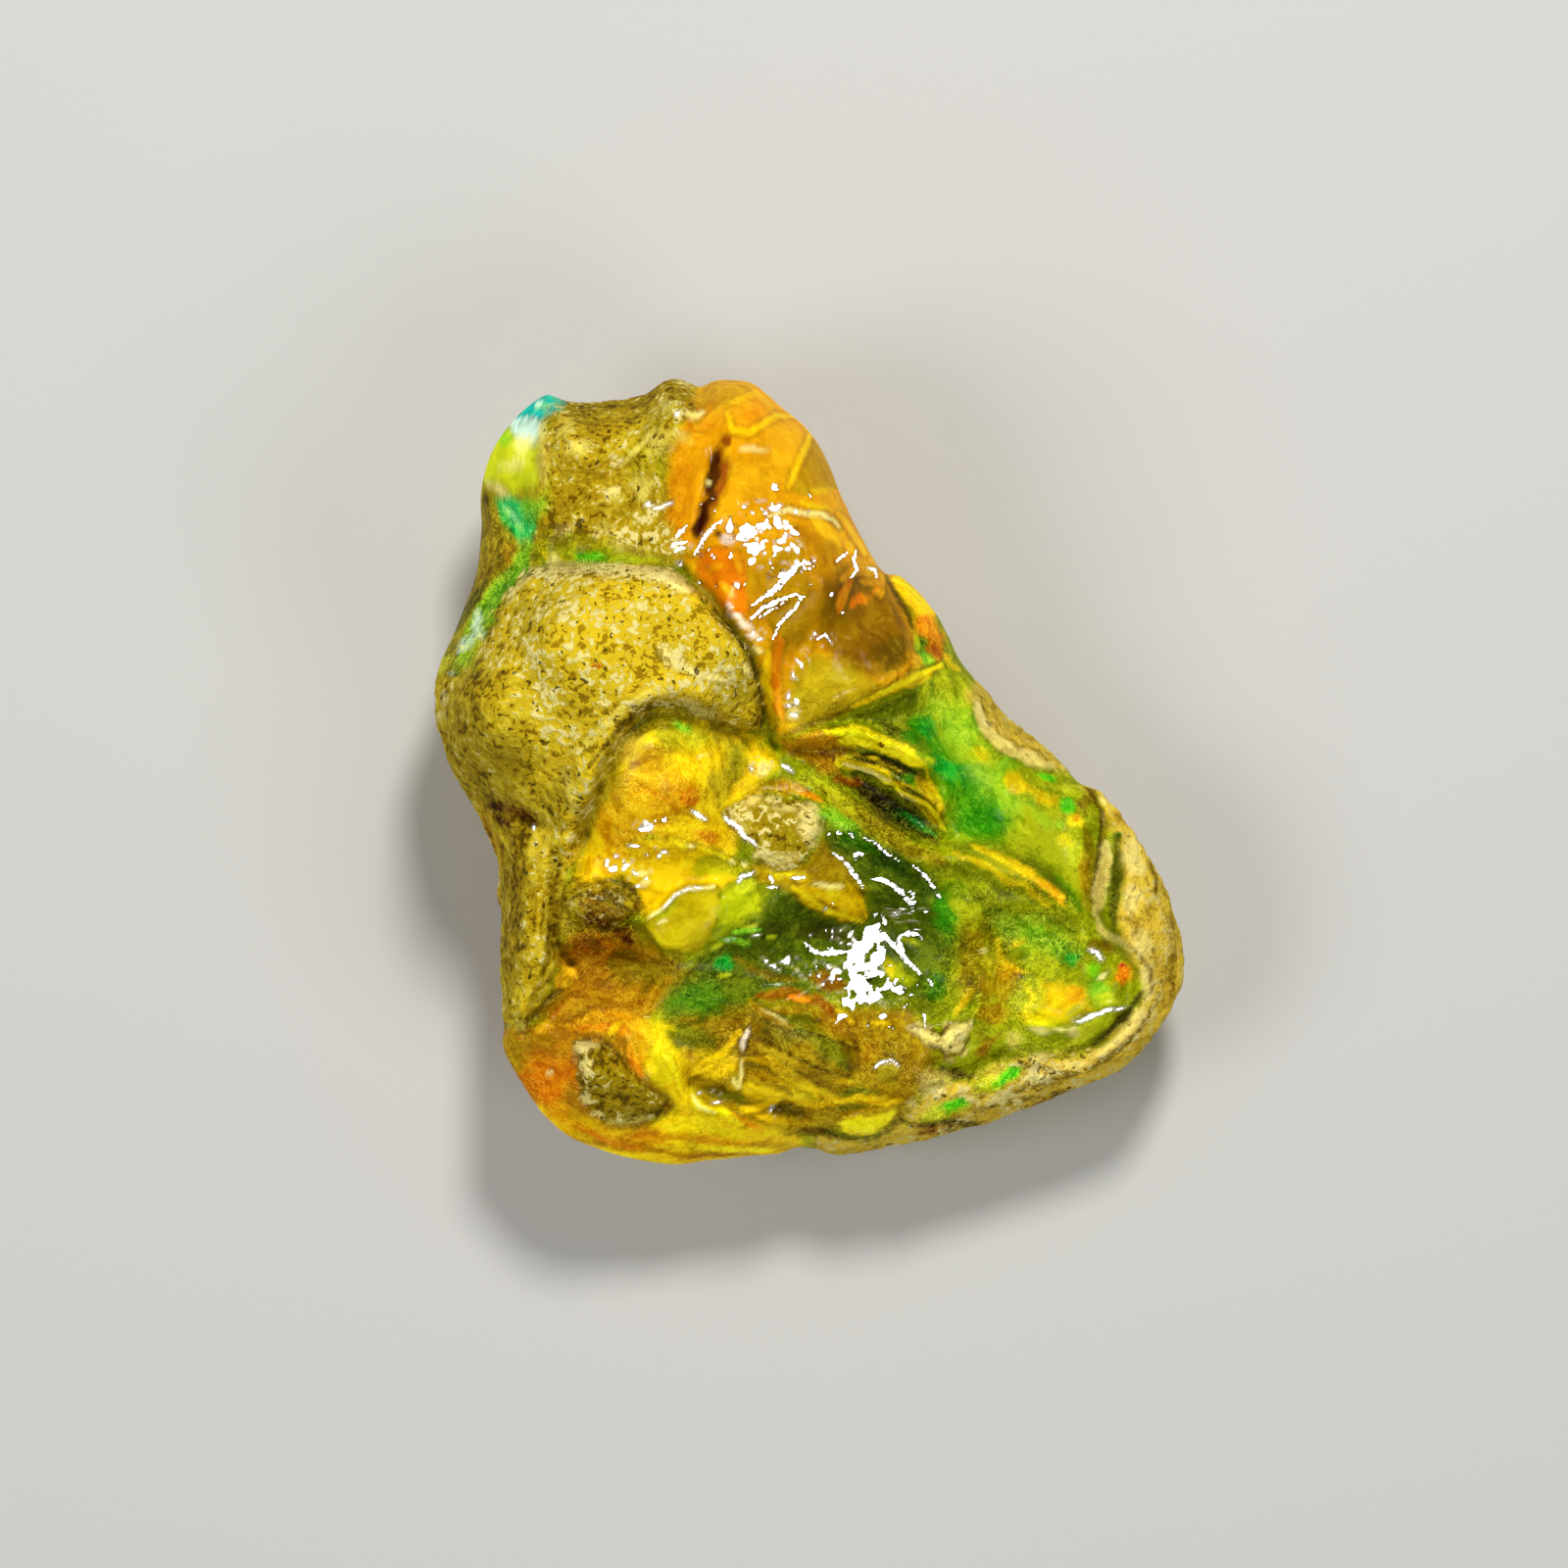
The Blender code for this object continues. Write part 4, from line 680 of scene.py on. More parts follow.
swellingMarks = {"ovals": [
    ("amberLight", (-6.2, -0.9), (1.7, 2), 0.85), ("leafGold", (-4.9, 1.4), (1.7, 0.9), 0.8, -8),
    ("leafGreen", (-4.5, 1.6), (0.5, 0.25), 0.95, -38), ("lime", (-4.2, 1.25), (0.7, 0.4), 0.5, -38),
    ("butter", (-3.85, 0.6), (0.22, 0.15), 0.95), ("amber", (-4.5, -0.9), (0.6, 0.7), 0.7),
    ("amberDeep", (-4.3, -0.9), (0.4, 0.45)), ("amberDeep", (-3.9, -2.3), (0.55, 0.3), 0.8, -15),
    ("amberDeep", (-7.3, -1.4), (0.4, 1.1), 0.35, -15), ("amber", (-7.2, -3.2), (0.8, 0.7), 0.7),
    ("rockPale", (-6.4, 0.9), (0.9, 0.7), 0.5, 45), ("straw", (-7, -0.4), (0.6, 1.2), 0.5, -20),
    ("straw", (-5.2, 1.9), (1.1, 0.4), 0.6, 10), ("honey", (-5.9, 0.7), (1, 0.7), 0.6, 30),
    ("moss", (-5.3, 1.5), (1.5, 0.7), 0.4, -4), ("caramel", (-5.7, 0.2), (0.9, 0.3), 0.45, 25),
    ("leafGreen", (-4.5, 1.55), (0.45, 0.2), 0.8, -38), ("amberLight", (-4.9, -0.3), (0.7, 0.4), 0.6, -20),
    ("amberLight", (-5.9, -0.4), (0.9, 0.9), 0.5), ("rockTan", (-3, 1.4), (0.9, 0.4), 0.6, -25),
    ("moss", (-2.7, 0.3), (0.5, 0.9), 0.75, -15), ("straw", (-3.2, -0.6), (0.5, 1), 0.7),
    ("straw", (-7.3, 0), (0.5, 0.9), 0.6, -30), ("butter", (-5.3, -2.95), (0.15, 0.1)),
    ("lime", (-5.6, -2.5), (0.5, 0.2), 0.6, -15), ("honey", (-2.2, -1.3), (0.5, 0.9), 0.5),
    ("honey", (-1.6, -0.5), (1.5, 0.35), 0.7), ("amberDeep", (-0.6, -0.6), (0.7, 0.2), 0.4, -20),
], "strokes": [
    # Painted highlights on the swelling's lower side, like the small butter spot among the ovals.
    ("white", [(-4.3, -1.4), (-4.05, -1.55), (-3.75, -1.72)], 0.09, 0.9),
    ("white", [(-6.6, -2.65), (-6.1, -2.72)], 0.05),
    ("amberLight", [(-6.4, 0), (-5.6, -0.2), (-5.2, -0.7)], 0.12, 0.5),
    ("amberDeep", [(-6.2, -0.6), (-5.4, -0.8), (-4.8, -1.4)], 0.07, 0.4),
    ("straw", [(-3.5, 1.6), (-2.9, 0.8), (-3, -0.4)], 0.12, 0.6),
    ("gold", [(-4, 0), (-3.5, -0.8), (-3.4, -1.6)], 0.1, 0.6),
    ("oliveBrown", [(-7.9, -2), (-7.5, -0.6), (-6.9, 0.5)], 0.1, 0.5),
    ("oliveBrown", [(-6.3, 1.3), (-5.6, 1.7), (-4.9, 1.7)], 0.08, 0.7),
    ("caramel", [(-6.4, 0.3), (-5.7, 0.8), (-5, 0.7)], 0.08, 0.7),
]}
planeMarks = {"areas": [
    ("gold", [(-6.4, -2.5), (-5.2, -2.4), (-4.1, -2.7), (-3, -3.1), (-2.2, -3.5), (-2.6, -4), (-3.4, -4.15),
        (-4.3, -4.1), (-5, -4.6), (-5.8, -5.2), (-6.3, -4.6), (-6.6, -3.6)], 0.1, 0.85),
    ("leafGold", [(-5.95, -5.45), (-5.1, -4.65), (-4.2, -4.17), (-3.4, -4.17), (-3.2, -5.1), (-3.6, -5.8),
        (-4, -6.4), (-4.6, -6.65), (-5.2, -6.4), (-5.8, -6)], 0.07),
    ("oliveLight", [(-3.25, -4.5), (-2.4, -3.9), (-1.85, -4), (-1.8, -5), (-2.6, -5.3),
        (-3.3, -5.5)], 0.08, 0.85),
], "ovals": [
    ("oliveLight", (-3.3, -3.5), (1.2, 0.55), 0.75, -15), ("straw", (-4.2, -5.8), (0.7, 0.6), 0.6, 30),
    ("moss", (-6, -6.1), (0.5, 0.5), 0.5), ("lime", (-5.2, -5), (0.5, 0.3), 0.5, 35),
    ("butter", (-5.3, -5.35), (0.25, 0.1), 0.8, 20),
], "strokes": [
    # Painted highlights along the leaf's and the plane's edges: the white, butter and thin lemon lines here.
    ("butter", [(-5.85, -5.25), (-5.3, -4.9), (-4.9, -4.45), (-4.4, -4.22), (-3.45, -4.15)], 0.03, 1.0),
    ("white", [(-5.3, -4.9), (-4.9, -4.45), (-4.4, -4.22), (-3.9, -4.17)], 0.02, 0.9),
    ("lemon", [(-5.1, -2.4), (-4.6, -2.65), (-4.1, -2.7)], 0.04, 0.9),
    ("lemon", [(-4.1, -2.7), (-3, -3.1), (-2.2, -3.5)], 0.01),
    ("butter", [(-4.4, -2.65), (-4.2, -2.7)], 0.03, 0.9),
    ("butter", [(-2.9, -3.2), (-2.7, -3.3)], 0.03, 0.9),
    ("butter", [(-2.45, -3.3), (-2.3, -3.4)], 0.03, 0.9),
    ("white", [(-2.6, -4.05), (-2.3, -3.85), (-1.95, -3.7)], 0.1, 0.9),
    ("lime", [(-2.7, -4.3), (-2, -4)], 0.12, 0.7), ("butter", [(-6.3, -3.7), (-5.9, -3.65)], 0.07),
    ("butter", [(-6.2, -4.1), (-5.8, -3.95)], 0.06),
]}
centreMarks = {"areas": [
    ("honey", [(-2.2, -3.4), (-0.2, -3.3), (0.5, -2.4), (0.9, -2.9), (1.4, -3.4), (1.9, -4.2), (2, -5.4),
        (1, -5.3), (0, -4.9), (-0.8, -4.2), (-1.8, -4)], 0.15, 0.85),
    ("gold", [(-0.7, -4.15), (0.1, -4.05), (1.3, -4.1), (1.7, -4.6), (2.05, -5.3), (1.8, -5.5), (1.1, -5.4),
        (0, -4.95)], 0.06),
], "ovals": [
    ("lemon", (-0.9, -3.7), (1, 0.3), 0.7, -5), ("lemon", (0.9, -4.4), (0.5, 0.25), 0.6, -30),
    ("caramel", (0.6, -4.8), (0.9, 0.16), 0.8, -28), ("pine", (2.8, -3.3), (0.9, 0.5), 0.7, -35),
    ("darkOlive", (0.3, -5.8), (1.6, 0.4), 0.8, -5), ("green", (4.9, -5.2), (0.45, 1), 0.75),
    ("green", (5.4, -4.3), (0.6, 0.35), 0.5, -20), ("leafGreen", (1, -1.8), (0.8, 0.35), 0.75, -25),
    ("green", (1.7, -2.6), (0.8, 0.3), 0.5, -25), ("pine", (4.1, -4.2), (0.4, 0.5), 0.5),
    ("moss", (3.2, -5.4), (0.8, 0.3), 0.5), ("green", (4.6, -7.7), (0.45, 0.5), 0.5),
    ("moss", (4.8, -6.8), (0.4, 0.5), 0.5), ("emerald", (-3.15, -6.95), (0.38, 0.42), 1.0, 20),
    ("green", (-4.2, -8.3), (1.3, 0.7), 0.45), ("oliveBrown", (-5.6, -7.4), (0.8, 0.4), 0.6),
    ("oliveLight", (3.3, -7.3), (0.45, 0.7), 0.8, 35), ("lemon", (2.9, -7.2), (0.25, 0.5), 0.8, 10),
    ("rust", (0.7, -7.6), (0.9, 0.45), 0.65, -10), ("darkOlive", (-1.6, -5.6), (0.8, 0.3), 0.6, 10),
    ("moss", (-2.4, -7.6), (0.9, 0.3), 0.5, -20), ("lime", (3.6, -6.2), (0.35, 0.15), 0.7, -10),
    ("leafGreen", (-2.6, -6.2), (0.7, 0.2), 0.5, -10),
], "strokes": [
    # Painted highlights: the butter line along the amber leaf and the short white lines.
    ("butter", [(0.1, -4), (0.7, -4.15), (1.2, -4.15)], 0.05),
    ("lemon", [(-0.6, -4.15), (0.6, -5), (1.9, -5.45)], 0.05, 0.9),
    ("gold", [(1.3, -4), (1.8, -4.6), (2.05, -5.3)], 0.07, 0.9),
    ("leafGreen", [(-3.3, -6.15), (-2.8, -6.05), (-2.2, -6.3)], 0.06),
    ("white", [(-3.1, -6.1), (-2.75, -6.05)], 0.01), ("white", [(-2.1, -5.95), (-1.8, -5.9)], 0.01),
    ("lime", [(-2.5, -5.7), (-1.9, -5.5)], 0.02), ("leafGreen", [(-2.8, -5.8), (-1.8, -5.7)], 0.06),
    ("lime", [(-1.6, -6), (-1.2, -5.95)], 0.02), ("lime", [(-3.6, -6.4), (-3.2, -6.2)], 0.05),
    ("oliveBrown", [(-2.7, -6.8), (-2, -7.15), (-1.2, -7.4), (-0.4, -7.6)], 0.12),
    ("lime", [(-3.3, -7.4), (-2.9, -7.35)], 0.05),
    ("rust", [(-1.9, -8.15), (-0.8, -8.1), (0.2, -8.3), (0.9, -8.7)], 0.2),
    ("fire", [(-0.8, -8.15), (-0.4, -8.2), (0, -8.28)], 0.07, 0.9),
    ("night", [(2, -7.7), (2.3, -7.3), (2.5, -6.9)], 0.05),
]}
brownMarks = {"areas": [
    ("oliveBrown", [(-9.2, -4.4), (-8, -3.95), (-6.8, -3.85), (-6.2, -4.4), (-6.2, -5.2), (-7, -5.5),
        (-8, -5.7), (-9.2, -6)], 0.12, 0.9),
], "ovals": [
    ("toffee", (-7.6, -4.8), (1.5, 0.9), 0.85, -12), ("umber", (-7, -4.45), (0.65, 0.35), 0.8, -15),
    ("crackBrown", (-7.9, -6.2), (0.9, 0.3), 0.7, -8), ("crackBrown", (-6.7, -5.9), (0.5, 0.3), 0.6, -20),
    ("garnet", (-7.8, -5.45), (0.55, 0.25), 0.85, -10), ("garnet", (-6.65, -6.1), (0.25, 0.22), 1.0),
    ("brownAmber", (-7.6, -6.8), (1.4, 0.9), 0.4), ("rust", (-8.3, -6.3), (0.6, 0.3), 0.5, -20),
    ("oliveBrown", (-5.8, -7.2), (1.6, 0.8), 0.85), ("oliveBrown", (-6, -6), (0.5, 0.4), 0.6),
    ("oliveBrown", (-6.3, -7.1), (1, 0.25), 0.6), ("brownAmber", (-8, -8.4), (1.5, 0.45), 0.7),
    ("toffee", (-9.6, -7.35), (0.45, 0.5), 0.7), ("rockDark", (-9.4, -7.5), (0.2, 0.2), 0.6),
], "strokes": [
    ("umber", [(-8.9, -4.65), (-8.1, -4.4), (-7.2, -4.7), (-6.4, -5.05)], 0.05),
    ("umber", [(-9, -3.2), (-9.2, -4.4), (-9.25, -5.6), (-9.5, -6.5)], 0.06),
    ("umber", [(-7.2, -3.95), (-6.5, -4.1), (-6.25, -4.7)], 0.07),
    ("amberLight", [(-9.2, -8.05), (-8.95, -7.5), (-8.75, -7.25), (-8.45, -7.45)], 0.17, 1.0),
    ("garnet", [(-10.6, -9.5), (-10.3, -9), (-10.1, -8.8), (-9.9, -8.4)], 0.1, 0.9),
    ("garnet", [(-10, -8.9), (-9.6, -8.6), (-9.5, -8.2), (-9, -8)], 0.1, 0.9),
    ("crackBrown", [(-10.4, -9), (-9.8, -8.4), (-9.2, -8.2)], 0.15, 0.6),
    ("rust", [(-9.8, -8.9), (-9, -8.5)], 0.15, 0.6),
    ("amberDeep", [(-7.6, -5.9), (-7.2, -6.4), (-7.5, -6.9)], 0.12, 0.4),
    ("toffee", [(-7.2, -6.6), (-5.9, -6.85), (-4.8, -6.95)], 0.07, 0.6),
]}
cornerMarks = {"ovals": [
    ("honey", (-10.9, -10.3), (0.9, 1.1)), ("amberDeep", (-9.5, -11), (1.1, 1.1), 0.9, 10),
    ("amberDeep", (-9.4, -12), (0.9, 0.4), 0.6, -30), ("butter", (-9.4, -10.85), (0.1, 0.1), 0.9),
    ("amberLight", (-9.6, -12.4), (1, 0.3), 0.6, -25), ("amberDeep", (-6, -13.15), (0.9, 0.3)),
    ("amberDeep", (-2, -13.1), (0.3, 0.4), 0.6), ("amber", (-3.6, -13.3), (2.2, 0.35), 0.6, -4),
    ("amber", (-7.6, -13.3), (2, 0.45), 0.6, -14), ("lemon", (-5.3, -10.3), (0.6, 1.4), 1.0, 10),
    ("lemon", (-4.5, -12.7), (1.6, 0.4), 0.9, -10), ("lemon", (-2.4, -13.2), (1.2, 0.3), 0.7, -4),
    ("honey", (-9.6, -9.6), (0.6, 0.25), 0.5, 10), ("rust", (-10.6, -11.3), (0.15, 0.08), 0.7),
    ("lemon", (-5.5, -9.6), (0.5, 0.4), 0.5), ("honey", (-0.9, -13.6), (0.9, 0.3), 0.6),
], "strokes": [
    ("amber", [(-8.7, -9.2), (-7.4, -9), (-6.3, -9.3), (-6.2, -10.5)], 0.42, 0.9),
    ("fire", [(-8.4, -9.3), (-7.4, -9.2), (-6.5, -9.5)], 0.14, 0.5),
    ("gold", [(-7.3, -9.5), (-6.9, -9.1)], 0.08, 0.9),
    ("amberDeep", [(-6.6, -9.9), (-6.4, -10.5), (-6, -11)], 0.12),
    ("amber", [(-9.6, -12.3), (-8.2, -13), (-6.5, -13.4), (-4.5, -13.4), (-2.2, -13.5)], 0.12),
    ("caramel", [(-9.6, -13), (-8, -13.5), (-6.2, -13.6), (-4.5, -14), (-2, -13.9)], 0.06),
    ("amberDeep", [(-8.4, -12.9), (-7.2, -13.5), (-6, -13.7)], 0.08, 0.7),
    ("lemon", [(-5.2, -13.4), (-3.4, -13.7), (-1.4, -13.8)], 0.07),
    ("lemon", [(-4.4, -11.5), (-4, -12.1), (-3.2, -12.4), (-2.5, -12.8)], 0.12, 0.9),
    ("butter", [(-4.3, -11.7), (-4, -12.15), (-3.4, -12.4)], 0.01),
    ("amberDeep", [(-2.8, -12.4), (-2.2, -12.8), (-1.6, -13)], 0.07, 0.6),
    ("gold", [(-5.8, -12.9), (-4.9, -12.6), (-4.4, -12.3)], 0.08, 0.7),
    ("lemon", [(-5.3, -10.2), (-4.8, -10.9), (-4.7, -11.6)], 0.04),
    ("toffee", [(-0.6, -12.9), (0.4, -13.1), (1.4, -13.5)], 0.08, 0.7),
]}
bottomMarks = {"areas": [
    ("lemon", [(0.95, -12.9), (1.6, -12.6), (2.6, -12.5), (3.15, -12.3), (2.9, -12.8), (2.4, -13.25),
        (1.6, -13.2)], 0.06, 0.95),
], "ovals": [
    ("moss", (-4.4, -9.6), (0.9, 0.6)), ("gold", (-3.5, -10.6), (1.1, 0.6), 0.9, -10),
    ("lemon", (-3.4, -10.3), (0.7, 0.3), 0.6), ("gold", (-2, -11.6), (1.2, 0.3), 0.8, -12),
    ("gold", (-0.9, -11.4), (1.4, 0.4), 0.8, -10), ("lemon", (-0.3, -11.75), (1, 0.2), 0.7, -15),
    ("oliveBrown", (2.6, -9.8), (0.9, 0.7), 0.6, -10), ("gold", (1.4, -11.9), (1.2, 0.2), 0.8, -4),
    ("darkOlive", (-1, -9.5), (1.2, 0.6), 0.7, -25), ("darkOlive", (0.9, -10.3), (1.1, 0.6), 0.7, -22),
    ("rust", (1.2, -9.2), (0.9, 0.4), 0.35, -20), ("honey", (2.7, -9.4), (0.7, 0.4), 0.45),
    ("caramel", (2.1, -10.2), (0.6, 0.4), 0.5), ("moss", (-0.2, -9), (0.6, 0.2), 0.6, -20),
    ("darkOlive", (-3.5, -11.6), (0.8, 0.35), 0.8, -25), ("moss", (-2.7, -11.9), (0.6, 0.25), 0.8, -15),
    ("darkOlive", (-1, -12.2), (0.7, 0.25), 0.7, -15), ("straw", (2.8, -10.95), (0.5, 0.38)),
    ("moss", (1.7, -11.6), (0.8, 0.22), 0.8, 5), ("gold", (2.5, -11.9), (0.8, 0.25), 0.8, -5),
    ("moss", (1.5, -12.2), (0.7, 0.18), 0.7, 5), ("gold", (1.2, -11.2), (0.5, 0.12), 0.6),
    ("crustShade", (1, -13.65), (1.4, 0.35)), ("honey", (3.4, -10.9), (0.3, 0.5), 0.5, -40),
    ("gold", (-1.6, -12.6), (0.4, 0.15), 0.6, -20), ("moss", (4.2, -8.7), (0.9, 0.3), 0.6, -5),
    ("honey", (4.6, -10.4), (0.8, 0.2), 0.4),
], "strokes": [
    ("gold", [(-4.3, -10.9), (-3.4, -10.4), (-2.9, -9.8), (-2.6, -9.3)], 0.16, 0.9),
    ("gold", [(-2.3, -10.4), (-1.5, -10.5), (-0.9, -10.9), (-0.1, -11.3), (0.3, -11.8)], 0.14, 0.9),
    ("gold", [(-2.6, -12.3), (-1.9, -12.2), (-1, -11.7), (0.3, -12.1), (0.9, -12)], 0.12),
    ("toffee", [(-1.9, -11.1), (-1.2, -11.3), (-0.6, -11.7)], 0.1, 0.7),
    ("moss", [(-1.6, -8.8), (-0.4, -9.2), (0.6, -9.9), (1.3, -10.7)], 0.25, 0.6),
    ("toffee", [(1.1, -9), (1.6, -9.6), (1.8, -10.6)], 0.08, 0.7),
    ("crackBrown", [(-2.15, -9.1), (-2.3, -9.7), (-2.35, -10.2)], 0.06, 0.9),
    ("blush", [(-2.25, -9.3), (-2.42, -9.75), (-2.45, -10.1)], 0.06, 1.0),
    ("butter", [(-2.45, -10.4), (-2.5, -11), (-2.55, -11.5)], 0.02),
    ("butter", [(-2.8, -11.1), (-2.6, -11.5)], 0.05),
    ("butter", [(-1.8, -8.6), (-1.3, -8.8), (-0.8, -9.15)], 0.02, 0.9),
    ("gold", [(-3.9, -10.5), (-3.2, -10.2), (-2.7, -10.4)], 0.06),
    ("gold", [(-2.2, -11.3), (-1.6, -11.6), (-0.9, -11.7)], 0.06),
    ("umber", [(-0.3, -9.3), (0.8, -9.75), (1.9, -10.1)], 0.02),
    ("umber", [(-1.6, -9.7), (-0.6, -10.3), (0.5, -10.8), (1.6, -11.1)], 0.02),
    ("honey", [(-2.2, -8.3), (-1.9, -8.6), (-1.3, -9), (-0.6, -9.3)], 0.08, 0.6),
    # A painted highlight on the bubble.
    ("white", [(2.35, -10.75), (2.6, -10.52), (3, -10.47), (3.25, -10.68)], 0.06, 0.9),
    ("umber", [(0.4, -13), (1.2, -13.35), (2.3, -13.45), (3, -13), (3.4, -12.5)], 0.05, 0.9),
    ("garnet", [(3, -12.95), (3.4, -12.5)], 0.09, 0.6),
    ("gold", [(0.9, -8.6), (1.3, -8.8), (1.6, -9.1)], 0.05), ("gold", [(2.2, -9.05), (2.9, -9.1)], 0.06),
    ("honey", [(-1.9, -10.3), (-1.4, -10.5), (-0.8, -10.9), (-0.3, -11.1)], 0.05),
    ("umber", [(-2.2, -10.5), (-2, -10.75)], 0.07, 0.7),
    ("gold", [(-0.6, -11.3), (0.4, -11.6), (1.2, -12)], 0.08, 0.6),
    ("toffee", [(-2.9, -10), (-2.3, -10.2), (-1.8, -10)], 0.07, 0.4),
]}
basinMarks = {"areas": [
    ("lime", [(9.9, -9.1), (11.3, -8.6), (10.9, -9.3), (10.1, -9.9), (9.3, -10.1), (9.5, -9.6)], 0.08, 0.9),
], "ovals": [
    ("moss", (5.7, -4.4), (0.8, 0.5), 0.6, -10), ("leafGreen", (8.6, -6.2), (1.2, 0.8), 0.4),
    ("emerald", (9.6, -6.75), (0.3, 0.38), 0.95), ("green", (9.4, -6.4), (0.6, 0.6), 0.45),
    ("honey", (6.9, -7.6), (0.8, 1.1), 0.7), ("amber", (7.1, -7.3), (0.4, 0.5), 0.6, 20),
    ("caramel", (6.7, -8.8), (0.8, 0.5), 0.7, 10), ("gold", (9, -8.3), (1.3, 0.8), 0.9),
    ("amber", (9.7, -8.1), (0.4, 0.5), 0.7, 20), ("lime", (8.1, -8.1), (0.55, 0.7), 0.75),
    ("lemon", (8.3, -9), (0.7, 0.3), 0.85, -5), ("gold", (7.6, -6.2), (0.3, 0.2)),
    ("leafGreen", (10.5, -7.9), (0.5, 0.6), 0.85, -30), ("lime", (10.7, -8.2), (0.4, 0.3)),
    ("brightGreen", (10.3, -7.2), (0.3, 0.35), 0.6), ("fire", (11.4, -7.35), (0.38, 0.38), 1.0),
    ("red", (11.35, -7.07), (0.2, 0.12), 1.0), ("honey", (6, -6.4), (0.4, 1.2), 0.5),
    ("toffee", (5.7, -7.4), (0.3, 0.8), 0.5, 10), ("leafGreen", (7.6, -5.6), (1.3, 0.7), 0.45, -20),
    ("moss", (6.5, -5), (0.6, 0.4), 0.5), ("butter", (8.2, -9.35), (0.5, 0.22), 0.9),
    ("rockCream", (9.6, -9.4), (0.3, 0.3), 0.9), ("butter", (9, -9.35), (0.25, 0.2), 0.7),
    ("rust", (6.4, -10), (0.6, 0.25), 0.6, 40), ("rockPale", (7.4, -9.7), (0.35, 0.4), 0.9),
    ("toffee", (10.6, -6.3), (0.6, 0.25), 0.8, -20), ("moss", (9.2, -5.4), (0.7, 0.4), 0.5, -30),
], "strokes": [
    ("oliveBrown", [(5.6, -5.4), (5.7, -7), (5.4, -8.6)], 0.2, 0.7),
    ("gold", [(5.2, -8.8), (5.6, -8.3), (5.9, -7.8)], 0.09, 0.6),
    # Painted highlights along the basin's ledge and rim.
    ("white", [(9.8, -9.05), (10.5, -8.8), (11.4, -8.5)], 0.12, 1.0),
    ("white", [(10.1, -6.4), (10.4, -6.55), (10.65, -6.85)], 0.09, 0.95),
    ("butter", [(10.5, -7.5), (10.75, -7.3)], 0.06, 0.9),
    ("gold", [(6.8, -6), (6.9, -6.8), (7.4, -7.2), (7.9, -7.3)], 0.06),
    ("oliveBrown", [(6.3, -5.2), (6.6, -6), (6.4, -6.8)], 0.08, 0.6),
    ("lemon", [(7.7, -7.6), (8.1, -8.2), (7.7, -8.9)], 0.07, 0.6),
    ("toffee", [(6, -9.4), (6.6, -9.8), (7, -9.4)], 0.08, 0.6),
    ("umber", [(4.6, -10.75), (5.3, -10.88), (5.9, -11.05)], 0.1, 0.95),
    ("butter", [(6.2, -6.45), (6.3, -6.55)], 0.06), ("moss", [(5.5, -6.1), (6.2, -7), (6, -8)], 0.07, 0.4),
]}
